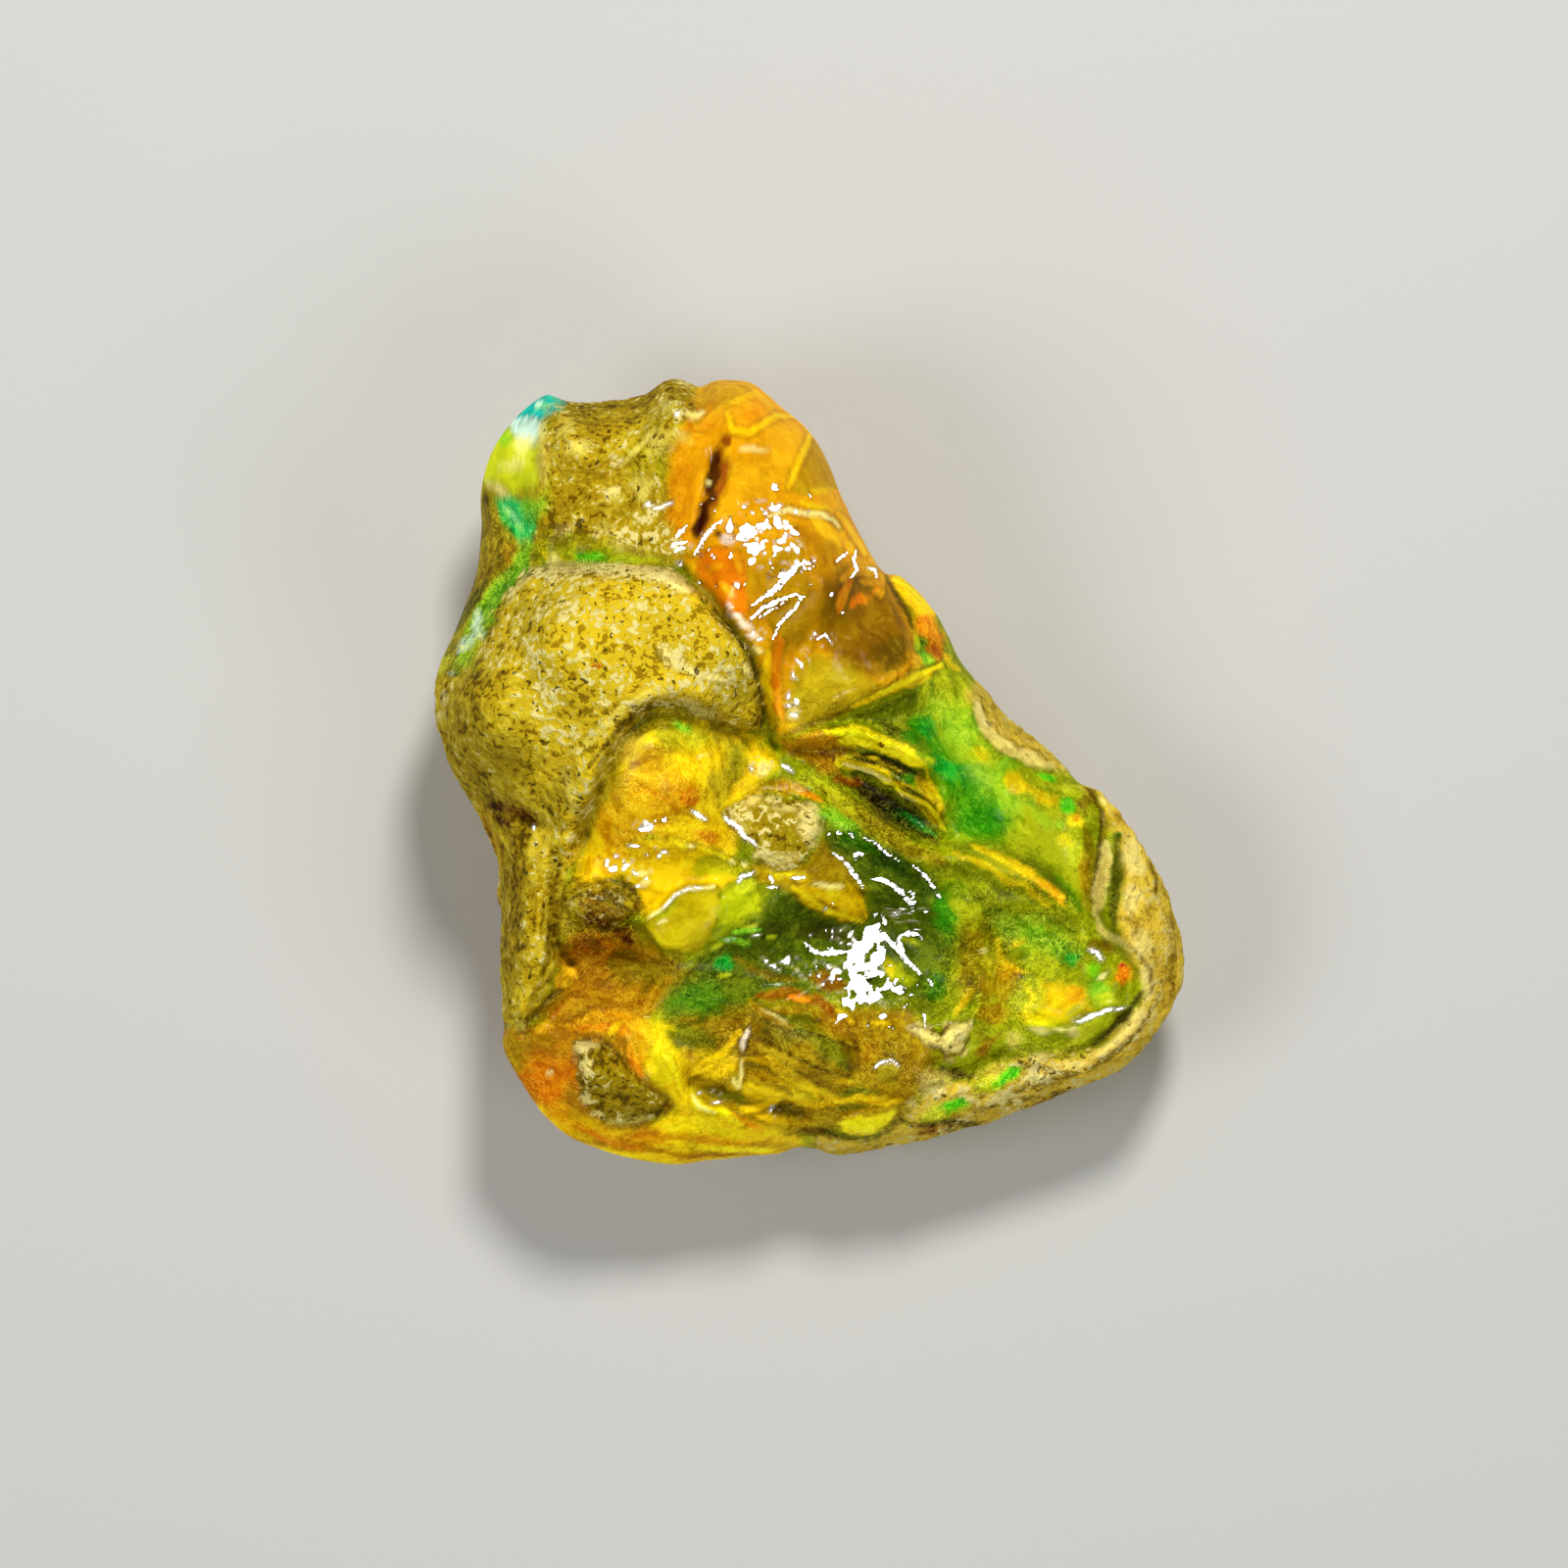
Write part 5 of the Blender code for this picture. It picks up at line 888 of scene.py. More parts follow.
crustMarks = {"areas": [
    ("crustPale", [(3.65, -9.3), (4.3, -9.4), (4.75, -9.65), (5.05, -9.25), (5.5, -9.2), (5.85, -8.95),
        (5.7, -9.6), (5.45, -10.15), (4.95, -10.2), (4.75, -9.95), (4.2, -9.75)], 0.03),
], "ovals": [
    ("crustPale", (11.8, -3), (0.5, 0.9)), ("crustPale", (11.7, -4.6), (0.4, 0.7)),
    ("crustPale", (12, -6.3), (0.45, 0.6), 0.8, 20), ("crustPale", (12.3, -7.6), (0.3, 0.9), 0.9, -5),
    ("crustPale", (11.9, -9), (0.3, 0.6), 0.8, -50), ("crustShade", (12.9, -7.6), (0.5, 1.4), 0.6),
    ("crustShade", (12.2, -9.8), (0.8, 0.7), 0.6, -40),
    ("crustShade", (11.4, -5.3), (0.28, 0.16), 0.9, -10), ("crustPale", (8.6, -11), (0.65, 0.3), 0.8, 10),
    ("crustPale", (8.3, -10.45), (0.4, 0.25), 0.7), ("crustPale", (9.7, -10.6), (0.5, 0.2), 0.7, 15),
    ("crustPale", (4.5, -11.3), (0.7, 0.5), 0.7, 20), ("rockCream", (5.45, -9.5), (0.35, 0.4), 1.0, -20),
    ("rockCream", (4.1, -9.5), (0.3, 0.12), 1.0), ("crustPale", (3.6, -12.1), (0.22, 0.25), 0.9),
    ("rockCream", (4.7, -11.7), (0.14, 0.1), 0.9), ("rockCream", (6.55, -12.05), (0.28, 0.16), 0.9),
    ("crustDark", (7.8, -12.15), (0.9, 0.15), 0.7), ("umber", (5.4, -12.9), (1.3, 0.2), 0.7, 8),
    ("crustDark", (9.4, -11.6), (0.8, 0.2), 0.6, 15), ("lime", (6.6, -11.3), (0.95, 0.32), 1.0, 12),
    ("brightGreen", (7.2, -11.05), (0.65, 0.32), 1.0, 30), ("lime", (4.8, -12.35), (1.05, 0.34), 1.0, 10),
    ("brightGreen", (5.25, -12.1), (0.6, 0.28), 1.0, 10), ("honey", (7.4, -12.3), (1.2, 0.25), 0.4, 8),
    ("rust", (4.4, -13), (0.7, 0.2), 0.4, 5), ("crustPale", (10.85, -1), (0.3, 0.3), 0.8, -40),
    ("green", (11.2, -2.2), (0.2, 0.13)), ("crustShade", (11, -1.7), (0.4, 0.4), 0.6),
    ("crustShade", (12.5, -4.6), (0.3, 0.8), 0.35, 5), ("crustShade", (10.4, -10.5), (0.6, 0.25), 0.5, 20),
], "strokes": [
    ("oliveBrown", [(10, -0.5), (10.6, -1.4), (10.65, -2.2), (10.4, -3.4), (10.2, -4.9)], 0.1, 0.85),
    ("umber", [(10.1, -0.6), (10.6, -1.5), (10.5, -2.6), (10.25, -4.4)], 0.02),
    ("crustPale", [(10.75, -2.5), (10.65, -3.4), (10.45, -4.4), (10.4, -5.1)], 0.2, 1.0),
    ("crustPale", [(10.4, -5.2), (10.6, -5.8), (11.2, -6.1), (11.7, -6.5)], 0.08, 0.9),
    ("darkOlive", [(11.15, -2.2), (11.15, -3.6), (10.95, -4.8), (11.1, -5.6)], 0.2, 0.85),
    ("crustPale", [(13, -5.4), (13.2, -6.6)], 0.08, 0.4),
    ("umber", [(11.95, -7.9), (11.5, -8.8), (10.9, -9.5), (10.2, -10.1)], 0.1, 0.9),
    ("crustPale", [(10.4, -10.4), (11.2, -9.9), (11.9, -9.2)], 0.16, 0.7),
    ("rockCream", [(5.4, -11.7), (5.9, -11.9), (6.2, -12.05)], 0.05),
    ("umber", [(3.3, -12.7), (4.2, -12.85), (5.2, -12.7), (6.2, -12.75)], 0.06),
    ("crustDark", [(6, -12.35), (7.2, -12), (8.4, -11.8)], 0.05),
    ("crustDark", [(7.7, -10.75), (8.3, -10.65), (9, -10.95), (9.8, -10.9)], 0.05),
    ("crackBrown", [(3.6, -9.25), (4.3, -9.3), (4.75, -9.55), (5.05, -9.15), (5.9, -8.85)], 0.01),
    ("crackBrown", [(4.2, -9.85), (4.7, -10.05), (4.95, -10.3), (5.5, -10.25), (5.8, -9.6)], 0.01, 0.9),
    ("rockCream", [(4.1, -11.6), (4.6, -11.5), (4.9, -11.7)], 0.1, 0.9),
    ("rockCream", [(7.7, -11.2), (8.3, -11.1), (8.8, -11.25)], 0.1, 0.9),
    ("crustShade", [(11.6, -5), (11.9, -5.4), (11.8, -5.9)], 0.04),
    ("crustDark", [(12.3, -3.2), (12.6, -3.9), (12.5, -4.6)], 0.04, 0.9),
    ("crustDark", [(12.7, -8), (12.3, -8.9), (11.8, -9.6), (10.9, -10.35), (10, -10.8)], 0.05, 0.9),
    ("crustShade", [(13, -5), (13.2, -6.4), (13.1, -8.2)], 0.1, 0.6),
    ("crustDark", [(9.6, -11), (8.7, -11.3), (8, -11.4), (7.4, -11.7)], 0.04),
    ("crustDark", [(11.4, -6.2), (11.9, -6.6), (12.4, -7.2), (12.4, -8.2)], 0.03),
    ("crustShade", [(3.6, -11.7), (4, -11.1), (4.6, -10.9), (5.2, -11)], 0.08, 0.5),
    ("crustPale", [(6.1, 2.6), (6.1, 1.9), (6.9, 1.1), (7.9, 0.5), (8.9, 0.2)], 0.19, 0.9),
    ("rockCream", [(6.1, 2.5), (6.15, 2), (6.4, 1.7)], 0.08, 0.9),
]}
ballMarks = {"ovals": [
    ("rockShade", (-11.6, 0.8), (2, 3.6), 0.6, 20), ("rockShade", (-10.6, -1.4), (1.8, 1.3), 0.5),
    ("rockShade", (-2.4, 2.6), (0.7, 1.3), 0.5, 10), ("rockShade", (-8.8, -0.5), (0.9, 0.6), 0.35, 60),
    ("rust", (-7.6, 3.8), (0.3, 0.18), 0.95, 5), ("rockCream", (-13.35, 2.7), (0.18, 0.28), 0.9),
    ("rockCream", (-13.4, 2.15), (0.14, 0.22)), ("columnRock", (-10.2, -5.2), (1.6, 4.2), 0.9),
    ("rockTan", (-10.3, -6.8), (0.5, 0.7), 0.4), ("rockTan", (-8.9, -1.6), (0.5, 1.1), 0.5, -20),
    ("caramel", (-11.7, -2.2), (0.4, 1.3), 0.55, 20), ("rockDark", (-9.3, -3.8), (0.35, 1.2), 0.4),
    ("rockTan", (-9.4, -2.6), (0.3, 0.8), 0.5, -15), ("rockShade", (-9.6, -6), (0.4, 0.5), 0.5),
    ("rockTan", (-10.8, -8), (0.4, 1), 0.3),
], "strokes": [
    ("rockCream", [(-10.1, 7.1), (-9.4, 7.32), (-8.2, 7.28), (-7, 7.28)], 0.14),
    ("rockCream", [(-6.5, 7.1), (-5.6, 7.15), (-4.9, 6.95), (-4.3, 6.5)], 0.2),
    ("rockCream", [(-10.9, 6.3), (-10.4, 6.9), (-10, 7.15)], 0.07, 0.6),
    ("rockDark", [(-6.65, 7.35), (-6.5, 6.9)], 0.06),
    ("umber", [(-3.5, 5.9), (-2.9, 5.2), (-2.3, 4.4), (-1.95, 3.6), (-1.75, 2.6), (-1.8, 1.6)], 0.05, 0.9),
    ("rockCream", [(-5.35, 4.4), (-5.05, 4.1), (-4.6, 3.95)], 0.12, 0.9),
    ("rockCream", [(-5.2, 3.9), (-4.5, 3.75), (-4, 3.5), (-3.4, 3.4), (-2.8, 3.15)], 0.07, 0.9),
    ("rockCream", [(-4.5, 2.45), (-4, 2.2), (-3.5, 2.1)], 0.12),
    ("rockCream", [(-2.35, 3.9), (-2.15, 3.4)], 0.07, 0.7),
    ("rockPale", [(-8.7, 0.7), (-7.8, 1.2), (-6.9, 2.1), (-5.9, 2.8), (-5, 2.9)], 0.13, 0.6),
    ("rockDark", [(-8, 0.1), (-7, 1.4), (-6.2, 2.2), (-5.3, 2.45), (-4.3, 2.3)], 0.07, 0.7),
    ("rockPale", [(-8.9, 0.1), (-8.6, -0.8), (-8.4, -1.8)], 0.1, 0.5),
    ("crackBrown", [(-11.6, -1.1), (-11, -1.3), (-10.5, -1.4), (-10, -1.8)], 0.17, 0.85),
    ("crackBrown", [(-11.4, -1.6), (-10.9, -1.9)], 0.15, 0.7),
    ("rockDark", [(-10.6, -5.5), (-10.2, -5.8)], 0.1),
    # The white mark at the crack's end is a painted highlight.
    ("rockDark", [(-10.6, -6.4), (-10.3, -6.3)], 0.08, 0.9), ("white", [(-10, -1.9), (-10, -2.1)], 0.06),
    ("rockPale", [(-10.4, -9.3), (-10.7, -9.1)], 0.14, 0.6),
]}
islandMarks = {"areas": [
    ("oliveBrown", steps["rockIsland"][0], 0.12, 0.9),
], "ovals": [
    ("rockShade", (-6.5, -11.6), (1.2, 0.8), 0.5, -30), ("rockCream", (-8.25, -9.95), (0.45, 0.2), 0.9, 10),
    ("rockCream", (-8.05, -10.6), (0.2, 0.45), 0.8, 15), ("rockCream", (-8.2, -11.8), (0.2, 0.25)),
    ("rockCream", (-7.7, -12.4), (0.3, 0.2)),
], "strokes": [
    ("rockPale", [(-7.4, -12.7), (-6.6, -12.7), (-5.6, -12.5)], 0.08),
    ("toffee", [(-5.2, -11.8), (-5, -12.1), (-5.3, -12.5)], 0.08, 0.7),
]}
patchMarks = {"areas": [
    ("columnRock", [(-3.2, -1.5), (-2.4, -0.9), (-1.2, -0.85), (-0.2, -1), (0.35, -1.7), (0.2, -2.6),
        (-0.4, -3.3), (-1.2, -3.6), (-1.9, -3.2), (-2, -2.6), (-2.8, -2.2)], 0.12, 0.9),
], "ovals": [
    ("rockCream", (-0.05, -1.9), (0.4, 0.8), 0.8, 5), ("rockCream", (-0.9, -1.3), (0.5, 0.2), 0.6, -10),
    ("crustPale", (-1.1, -3.15), (0.8, 0.35), 0.7, 5), ("crustPale", (-2.1, -1.05), (0.4, 0.2), 0.7, 5),
    ("rockShade", (-1.2, -1.9), (0.8, 0.7), 0.7), ("rockCream", (-1.6, 0.15), (0.35, 0.3), 0.8, -20),
    ("rockCream", (-1.8, -3), (0.25, 0.17), 0.8, 20), ("rockPale", (-2.6, -1.9), (0.5, 0.3), 0.6, -35),
], "strokes": [
    # Painted highlights on the patch's left side and on the cream knot.
    ("white", [(-3.2, -1.6), (-2.8, -1.9), (-2.4, -2.3), (-1.9, -2.6)], 0.11, 0.95),
    ("white", [(-2.2, 0.25), (-2.05, 0.05)], 0.07), ("white", [(-1, 0.25), (-0.6, 0)], 0.08, 0.9),
    ("rockCream", [(-1.6, -1), (-1.1, -1)], 0.07, 0.7),
]}
regions = [
    opalBase, glassyTip, greenBand, lobeMarks, bulgeMarks, fanMarks, slopeMarks, swellingMarks, planeMarks,
    centreMarks, brownMarks, cornerMarks, bottomMarks, basinMarks,
]
rockBase = [
    ("rockTan", "skin"), ("upperRock", "upper"), ("columnRock", "island"), ("crustPale", "creamPlate"),
    ("crust", "crust"), ("crust", "slopeEdge"),
]
rockRegions = [
    upperRockMarks, ballMarks, islandMarks, patchMarks, crustMarks,
]

# Bright scratches and edges: thin ridges of clear opal, each with a painted highlight that also turns it
# towards the lamp (line, half width, height).
glints = [
    ([(-2.2, 5.9), (-1.5, 6.4), (-1, 6.9), (-0.5, 7.4), (0.2, 7.6)], 0.1, 0.06),
    ([(-1.6, 6.15), (-1, 6.75), (-0.6, 7.15), (-0.1, 7.35)], 0.05, 0.03),
    ([(-2.2, 5.4), (-1.7, 5.9), (-1.1, 6.2), (-0.5, 6.4), (-0.2, 6.3)], 0.1, 0.06),
    ([(-1.9, 5.45), (-1.3, 5.9), (-0.7, 6.15)], 0.05, 0.03),
    ([(-1.35, 4.8), (-1.1, 5.3), (-0.6, 5.8), (-0.3, 6.3)], 0.08, 0.04),
    ([(2.7, -5.9), (3, -6.3), (3.5, -6.8), (4.05, -7.35)], 0.14, 0.07),
    ([(-0.2, -6.2), (0.1, -6.5), (0.7, -6.6), (1.4, -6.55), (1.9, -6.4)], 0.12, 0.06),
    ([(3.2, -6), (3.6, -5.85), (3.9, -5.9), (4.15, -6.1)], 0.1, 0.05),
    ([(3.2, -6), (3.3, -6.4), (3.5, -6.65)], 0.09, 0.05),
    ([(2.2, -3.85), (2.8, -4), (3.3, -4.35), (3.65, -4.8), (3.7, -5.15)], 0.12, 0.06),
    ([(0.8, -2.9), (1.3, -3.3), (1.7, -3.8), (1.9, -4.2)], 0.12, 0.06),
    ([(1.6, -3.2), (1.65, -2.95), (1.95, -3)], 0.1, 0.05),
    ([(1.9, -2.35), (2.4, -2.6), (2.8, -3), (3.2, -3.25)], 0.08, 0.04),
    ([(3.7, -3.4), (4.2, -3.8), (4.5, -4.2), (4.65, -4.5)], 0.08, 0.04),
    ([(4.6, -4.45), (4.7, -4.6)], 0.13, 0.05), ([(4.15, -5.05), (4.3, -5.05)], 0.13, 0.05),
    ([(2.6, -5.2), (2.8, -5.6)], 0.1, 0.05), ([(3.6, -4.2), (3.8, -4.6)], 0.08, 0.04),
    ([(0.65, -2.2), (0.75, -2.3)], 0.08, 0.03), ([(0.95, -2.15), (1.1, -2.25)], 0.08, 0.03),
    ([(1.4, -2.2), (1.6, -2.4)], 0.08, 0.03), ([(-1.35, 10.35), (-1.2, 10.1)], 0.16, 0.06),
    ([(1.65, 8), (1.55, 7.6), (1.7, 7.3), (1.45, 7)], 0.09, 0.05),
    ([(0.85, 7.5), (1.35, 7.95)], 0.08, 0.04), ([(2, 7.4), (2.35, 7.35), (2.4, 7)], 0.07, 0.04),
    ([(-4.2, 7.8), (-3.9, 8.3), (-3.5, 8.8), (-3.1, 9.1)], 0.08, 0.05),
    ([(-4.9, 8.4), (-4.4, 8.9)], 0.1, 0.05), ([(-5, 8.2), (-4.4, 8.3)], 0.07, 0.04),
    ([(-4.9, 7.9), (-4.6, 8.1), (-4.4, 8)], 0.07, 0.04), ([(0.7, 6.35), (0.85, 6.5)], 0.1, 0.04),
    ([(1.1, 5.7), (1.2, 5.8)], 0.08, 0.04), ([(0.2, 4.7), (0.5, 4.95), (0.8, 4.7)], 0.07, 0.04),
    ([(-1.5, -3.7), (-1.35, -4)], 0.09, 0.04), ([(-1.6, -4.15), (-1.1, -4.2)], 0.07, 0.04),
    ([(-0.7, -3.85), (-0.2, -3.8)], 0.11, 0.05), ([(4.3, -7.5), (4.45, -7.75)], 0.08, 0.04),
]

# Painted reflections of the lamp, broken up: patches of fine broken glass, painted bright (outline of the
# bright part, strength).
sheens = [
    ([(-3.3, 8.6), (-3.15, 9.1), (-2.7, 9.15), (-2.4, 8.85), (-1.7, 9), (-1.2, 9.25), (-0.9, 9.05),
        (-0.55, 8.65), (-0.8, 8.5), (-1.2, 8.75), (-1.75, 8.7), (-1.8, 8.2), (-1.9, 7.6), (-2.1, 7.3),
        (-2.25, 7.8), (-2.5, 8.2), (-2.9, 8.45)], 1),
    ([(2, -5.8), (2.45, -5.5), (2.85, -5.9), (2.8, -6.5), (2.7, -7), (2.8, -7.4), (3.4, -7.95),
        (2.7, -7.95), (2.55, -8.3), (2.2, -8.35), (1.9, -8.4), (1.5, -8.6), (0.95, -8.3), (1.35, -7.9),
        (1.4, -7.4), (1.1, -7), (1.6, -6.55), (1.85, -6.3)], 1),
]
# Scattered painted highlight specks in pale pink: centre, half widths, turn, how many of the places are
# bright.
highlightSpecks = [
    ((-6, -1.95), (0.45, 0.22), -15, 0.8), ((-6.9, -3.2), (0.6, 0.4), 20, 0.5),
    ((-5.6, -2.9), (0.5, 0.25), -10, 0.4), ((-1.3, 8), (1.2, 0.9), -20, 0.35),
    ((-0.1, 7.2), (0.5, 0.6), -20, 0.3), ((-0.6, 7.8), (0.5, 0.5), 0, 0.45),
    ((0.45, 4.8), (0.5, 0.3), 0, 0.35), ((-0.35, 3.8), (0.3, 0.7), -20, 0.45),
    ((-0.6, 2.5), (0.35, 0.7), -10, 0.5), ((-2, 4.9), (0.4, 0.5), -30, 0.5),
    ((0.5, -7.4), (1, 0.5), -20, 0.45), ((-0.8, -6.9), (1, 0.4), -10, 0.2),
    ((1.4, -6.1), (0.4, 0.25), 20, 0.5), ((3.4, -5.1), (0.8, 0.4), 0, 0.15),
    ((-1.7, 9.4), (0.9, 0.4), 0, 0.3), ((-6.1, -3.8), (0.5, 0.4), 0, 0.35),
    ((0.6, -5.8), (0.9, 0.3), 0, 0.12), ((-4.7, 7.8), (0.7, 0.5), 0, 0.3),
    ((-3.7, -11.7), (0.6, 0.3), -20, 0.15), ((-1, -12.3), (0.7, 0.3), -15, 0.15),
]

# Where host rock covers the opal: outlines with how fully they are rock, and how soft their edge is.
rockAreas = {
    "skin": (steps["rockSkin"][0], 1, 0.12),
    "upper": ([(-9.5, 12.8), (-8.95, 13.4), (-8.9, 14.6), (-4.2, 15.2), (-4.2, 13), (-4.9, 12.3),
        (-5.3, 11.4), (-5.3, 10), (-5, 8.8), (-4.4, 7.9), (-4.8, 7.6), (-6, 8), (-8, 8.4), (-9.4, 8.4),
        (-9.8, 9.2), (-9.5, 10.2), (-9.7, 11.8)], 0.95, 0.3),
    "island": (steps["rockIsland"][0], 1, 0.15),
    "creamPlate": (crustMarks["areas"][0][1], 1, 0.05),
    "crust": ([(10, -0.3), (10.5, -1.2), (11.2, -2.4), (11.3, -4), (11.1, -5.4), (11.6, -6.5), (12.1, -7.4),
        (11.6, -8.9), (10.6, -10), (9, -10.3), (7.6, -10.3), (6.4, -10.9), (5, -11.3), (4, -11.7),
        (3.4, -12.7), (2.4, -13.4), (1.2, -13.4), (0.3, -13.2), (0, -16), (18, -16), (18, 2)], 1, 0.25),
    "patch": ([(-3.2, -1.5), (-2.6, -1.2), (-2.3, -0.9), (-1.7, -1.1), (-1.1, -0.75), (-0.4, -0.95),
        (-0.1, -1.35), (0.35, -1.6), (0.25, -2.3), (0.05, -2.8), (-0.1, -3.3), (-0.6, -3.45), (-1, -3.8),
        (-1.5, -3.6), (-1.65, -3.2), (-2.1, -3.1), (-1.95, -2.6), (-2.4, -2.45), (-2.8, -2.2)], 1, 0.15),
    "slopeEdge": ([(5.9, 3.4), (6, 2.4), (6.4, 1.6), (7.2, 0.8), (8.4, 0.3), (9.3, 0), (12, 2),
        (8, 5)], 1, 0.2),
}
rockWindows = [
    ((6.8, -11.2), (1.15, 0.42), 22), ((4.9, -12.3), (1.15, 0.4), 10), ((11.15, -3.8), (0.22, 1.5), 0),
]
rockOvals = {
    "knot": ((-1.6, 0.1), (0.6, 0.4), -30, 0.8),
    "knob": ((-7.7, -4.8), (1.4, 0.9), -12, 0.38),
}


def polygonMask(points, outline, soft):
    return fade(depthInside(points[:, 0], points[:, 1], outline), -soft, soft)


def linear(name):
    return ((np.array(palette[name]) / 255 + 0.055) / 1.055) ** 2.4


# How far each place is from a line, and how far along the line it is, from 0 to 1.
def alongDistance(x, y, line):
    nearest, share = np.full(x.shape, np.inf), np.zeros(x.shape)
    lengths = [math.dist(a, b) for a, b in zip(line, line[1:])]
    walked = 0
    for (ax, ay), (bx, by), length in zip(line, line[1:], lengths):
        dx, dy = bx - ax, by - ay
        along = np.clip(((x - ax) * dx + (y - ay) * dy) / (dx * dx + dy * dy), 0, 1)
        distance = np.hypot(x - ax - along * dx, y - ay - along * dy)
        closer = distance < nearest
        nearest = np.where(closer, distance, nearest)
        share = np.where(closer, (walked + along * length) / sum(lengths), share)
        walked += length
    return nearest, share


# The grain of the stone runs along the drawn lines. Its direction is worked out on a coarse grid.
grainSetup = {
    "reach": 16.0, "spacing": 0.5, "spread": 0.45,   # the grid, and how far a line turns the grain beside it
    "step": 0.11, "stepSize": 0.2, "steps": 4,       # how far the noise is drawn out, for flakes of this size
    "turns": 0.5, "turnSize": 1.1,                   # how far the grain wanders from the lines
    "streaks": ((0.26, 0.7, 121), (0.6, 0.7, 131)),  # size, amount, seed
    "flakes": ((0.34, 1.0, 141), (0.8, 0.7, 142)),
    "flakeFlatness": 0.35,
    "rockFlakes": 0.95, "rockStreaks": 0.3, "drawnStreaks": 0.9,   # how much of each the rock shows
}


def grainGrid():
    middles, ways = [], []
    for marks in regions + rockRegions:
        lines = [mark[1] for kind in ("strokes", "areas") for mark in marks.get(kind, [])]
        for line in lines:
            for (ax, ay), (bx, by) in zip(line, line[1:]):
                turn, length = 2 * math.atan2(by - ay, bx - ax), math.hypot(bx - ax, by - ay)
                for share in np.arange(0.25, 1, 0.5):
                    middles.append((ax + share * (bx - ax), ay + share * (by - ay)))
                    ways.append((length * math.cos(turn), length * math.sin(turn)))
    middles, ways = np.array(middles), np.array(ways)
    marks = np.arange(-grainSetup["reach"], grainSetup["reach"] + 0.01, grainSetup["spacing"])
    x, y = np.meshgrid(marks, marks, indexing="ij")
    apart = (x[..., None] - middles[:, 0]) ** 2 + (y[..., None] - middles[:, 1]) ** 2
    return (apart + grainSetup["spread"] ** 2) ** -2 @ ways


def grainDirection(grid, x, y):
    u = np.clip((x + grainSetup["reach"]) / grainSetup["spacing"], 0, len(grid) - 1.001)
    v = np.clip((y + grainSetup["reach"]) / grainSetup["spacing"], 0, len(grid) - 1.001)
    i, j = u.astype(int), v.astype(int)
    u, v = (u - i)[:, None], (v - j)[:, None]
    near, far = (grid[i, row] * (1 - u) + grid[i + 1, row] * u for row in (j, j + 1))
    way = near * (1 - v) + far * v
    return 0.5 * np.arctan2(way[:, 1], way[:, 0])


def wander(points, seed):
    return grainSetup["turns"] * softNoise(points[:, :2], grainSetup["turnSize"], seed)


# Noise drawn out along the grain, as streaks and flakes. The result has a spread of 1.
def grainNoise(points, grid, size, seed):
    wandering = wander(points, seed + 3)
    total = softNoise(points, size, seed)
    for way in (1, -1):
        places = points.copy()
        before = None
        for _ in range(grainSetup["steps"]):
            turn = grainDirection(grid, places[:, 0], places[:, 1]) + wandering
            ahead = np.stack([np.cos(turn), np.sin(turn)], axis=1)
            if before is not None:
                ahead *= np.where(np.sum(ahead * before, axis=1) < 0, -1, 1)[:, None]
            before = ahead
            places[:, :2] += way * grainSetup["step"] * (size / grainSetup["stepSize"]) * ahead
            total += softNoise(places, size, seed)
    return total / total.std()


# How the paint is laid on.
brush = {
    "ground": "olive", "groundGlow": 0.2, "dullGlow": 0.15,
    "sway": (0.9, 0.16, 0.035),       # how edges wander: size, how far, and how far for fine marks
    "shiver": (0.25, 0.05, 0.015),
    "ragged": (0.3, 0.7, 0.5),        # size and amount of the raggedness, and how much of the grain's
    "crispBelow": 0.2, "fineBelow": 0.1,
    "rim": (0.3, 0.07, 0.08),         # dark line beside a crisp edge: amount, half width, distance
    "rimAbove": 170,                  # strokes brighter than this have one
    "ovalEdge": (0.45, 1.15, 0.25),   # where an oval fades out, and how raggedly
    "strokeWidth": (0.045, 1.0, 0.35, 0.6),   # added width, share of the half width, width of the tips, power
    "glintWidth": (0.02, 0.5, 0.4, 0.6),
    "strokeSoft": (0.03, 0.25),
    "mirror": (0.8, 0.3),             # shine along the middle of a bright line, and its fall to the edge
    "sheenNoise": ((0.26, 1.0, 63), (0.13, 0.7, 64)),     # size, amount, seed
    "speckleNoise": ((0.16, 1.0, 61), (0.45, 0.5, 62)),
}


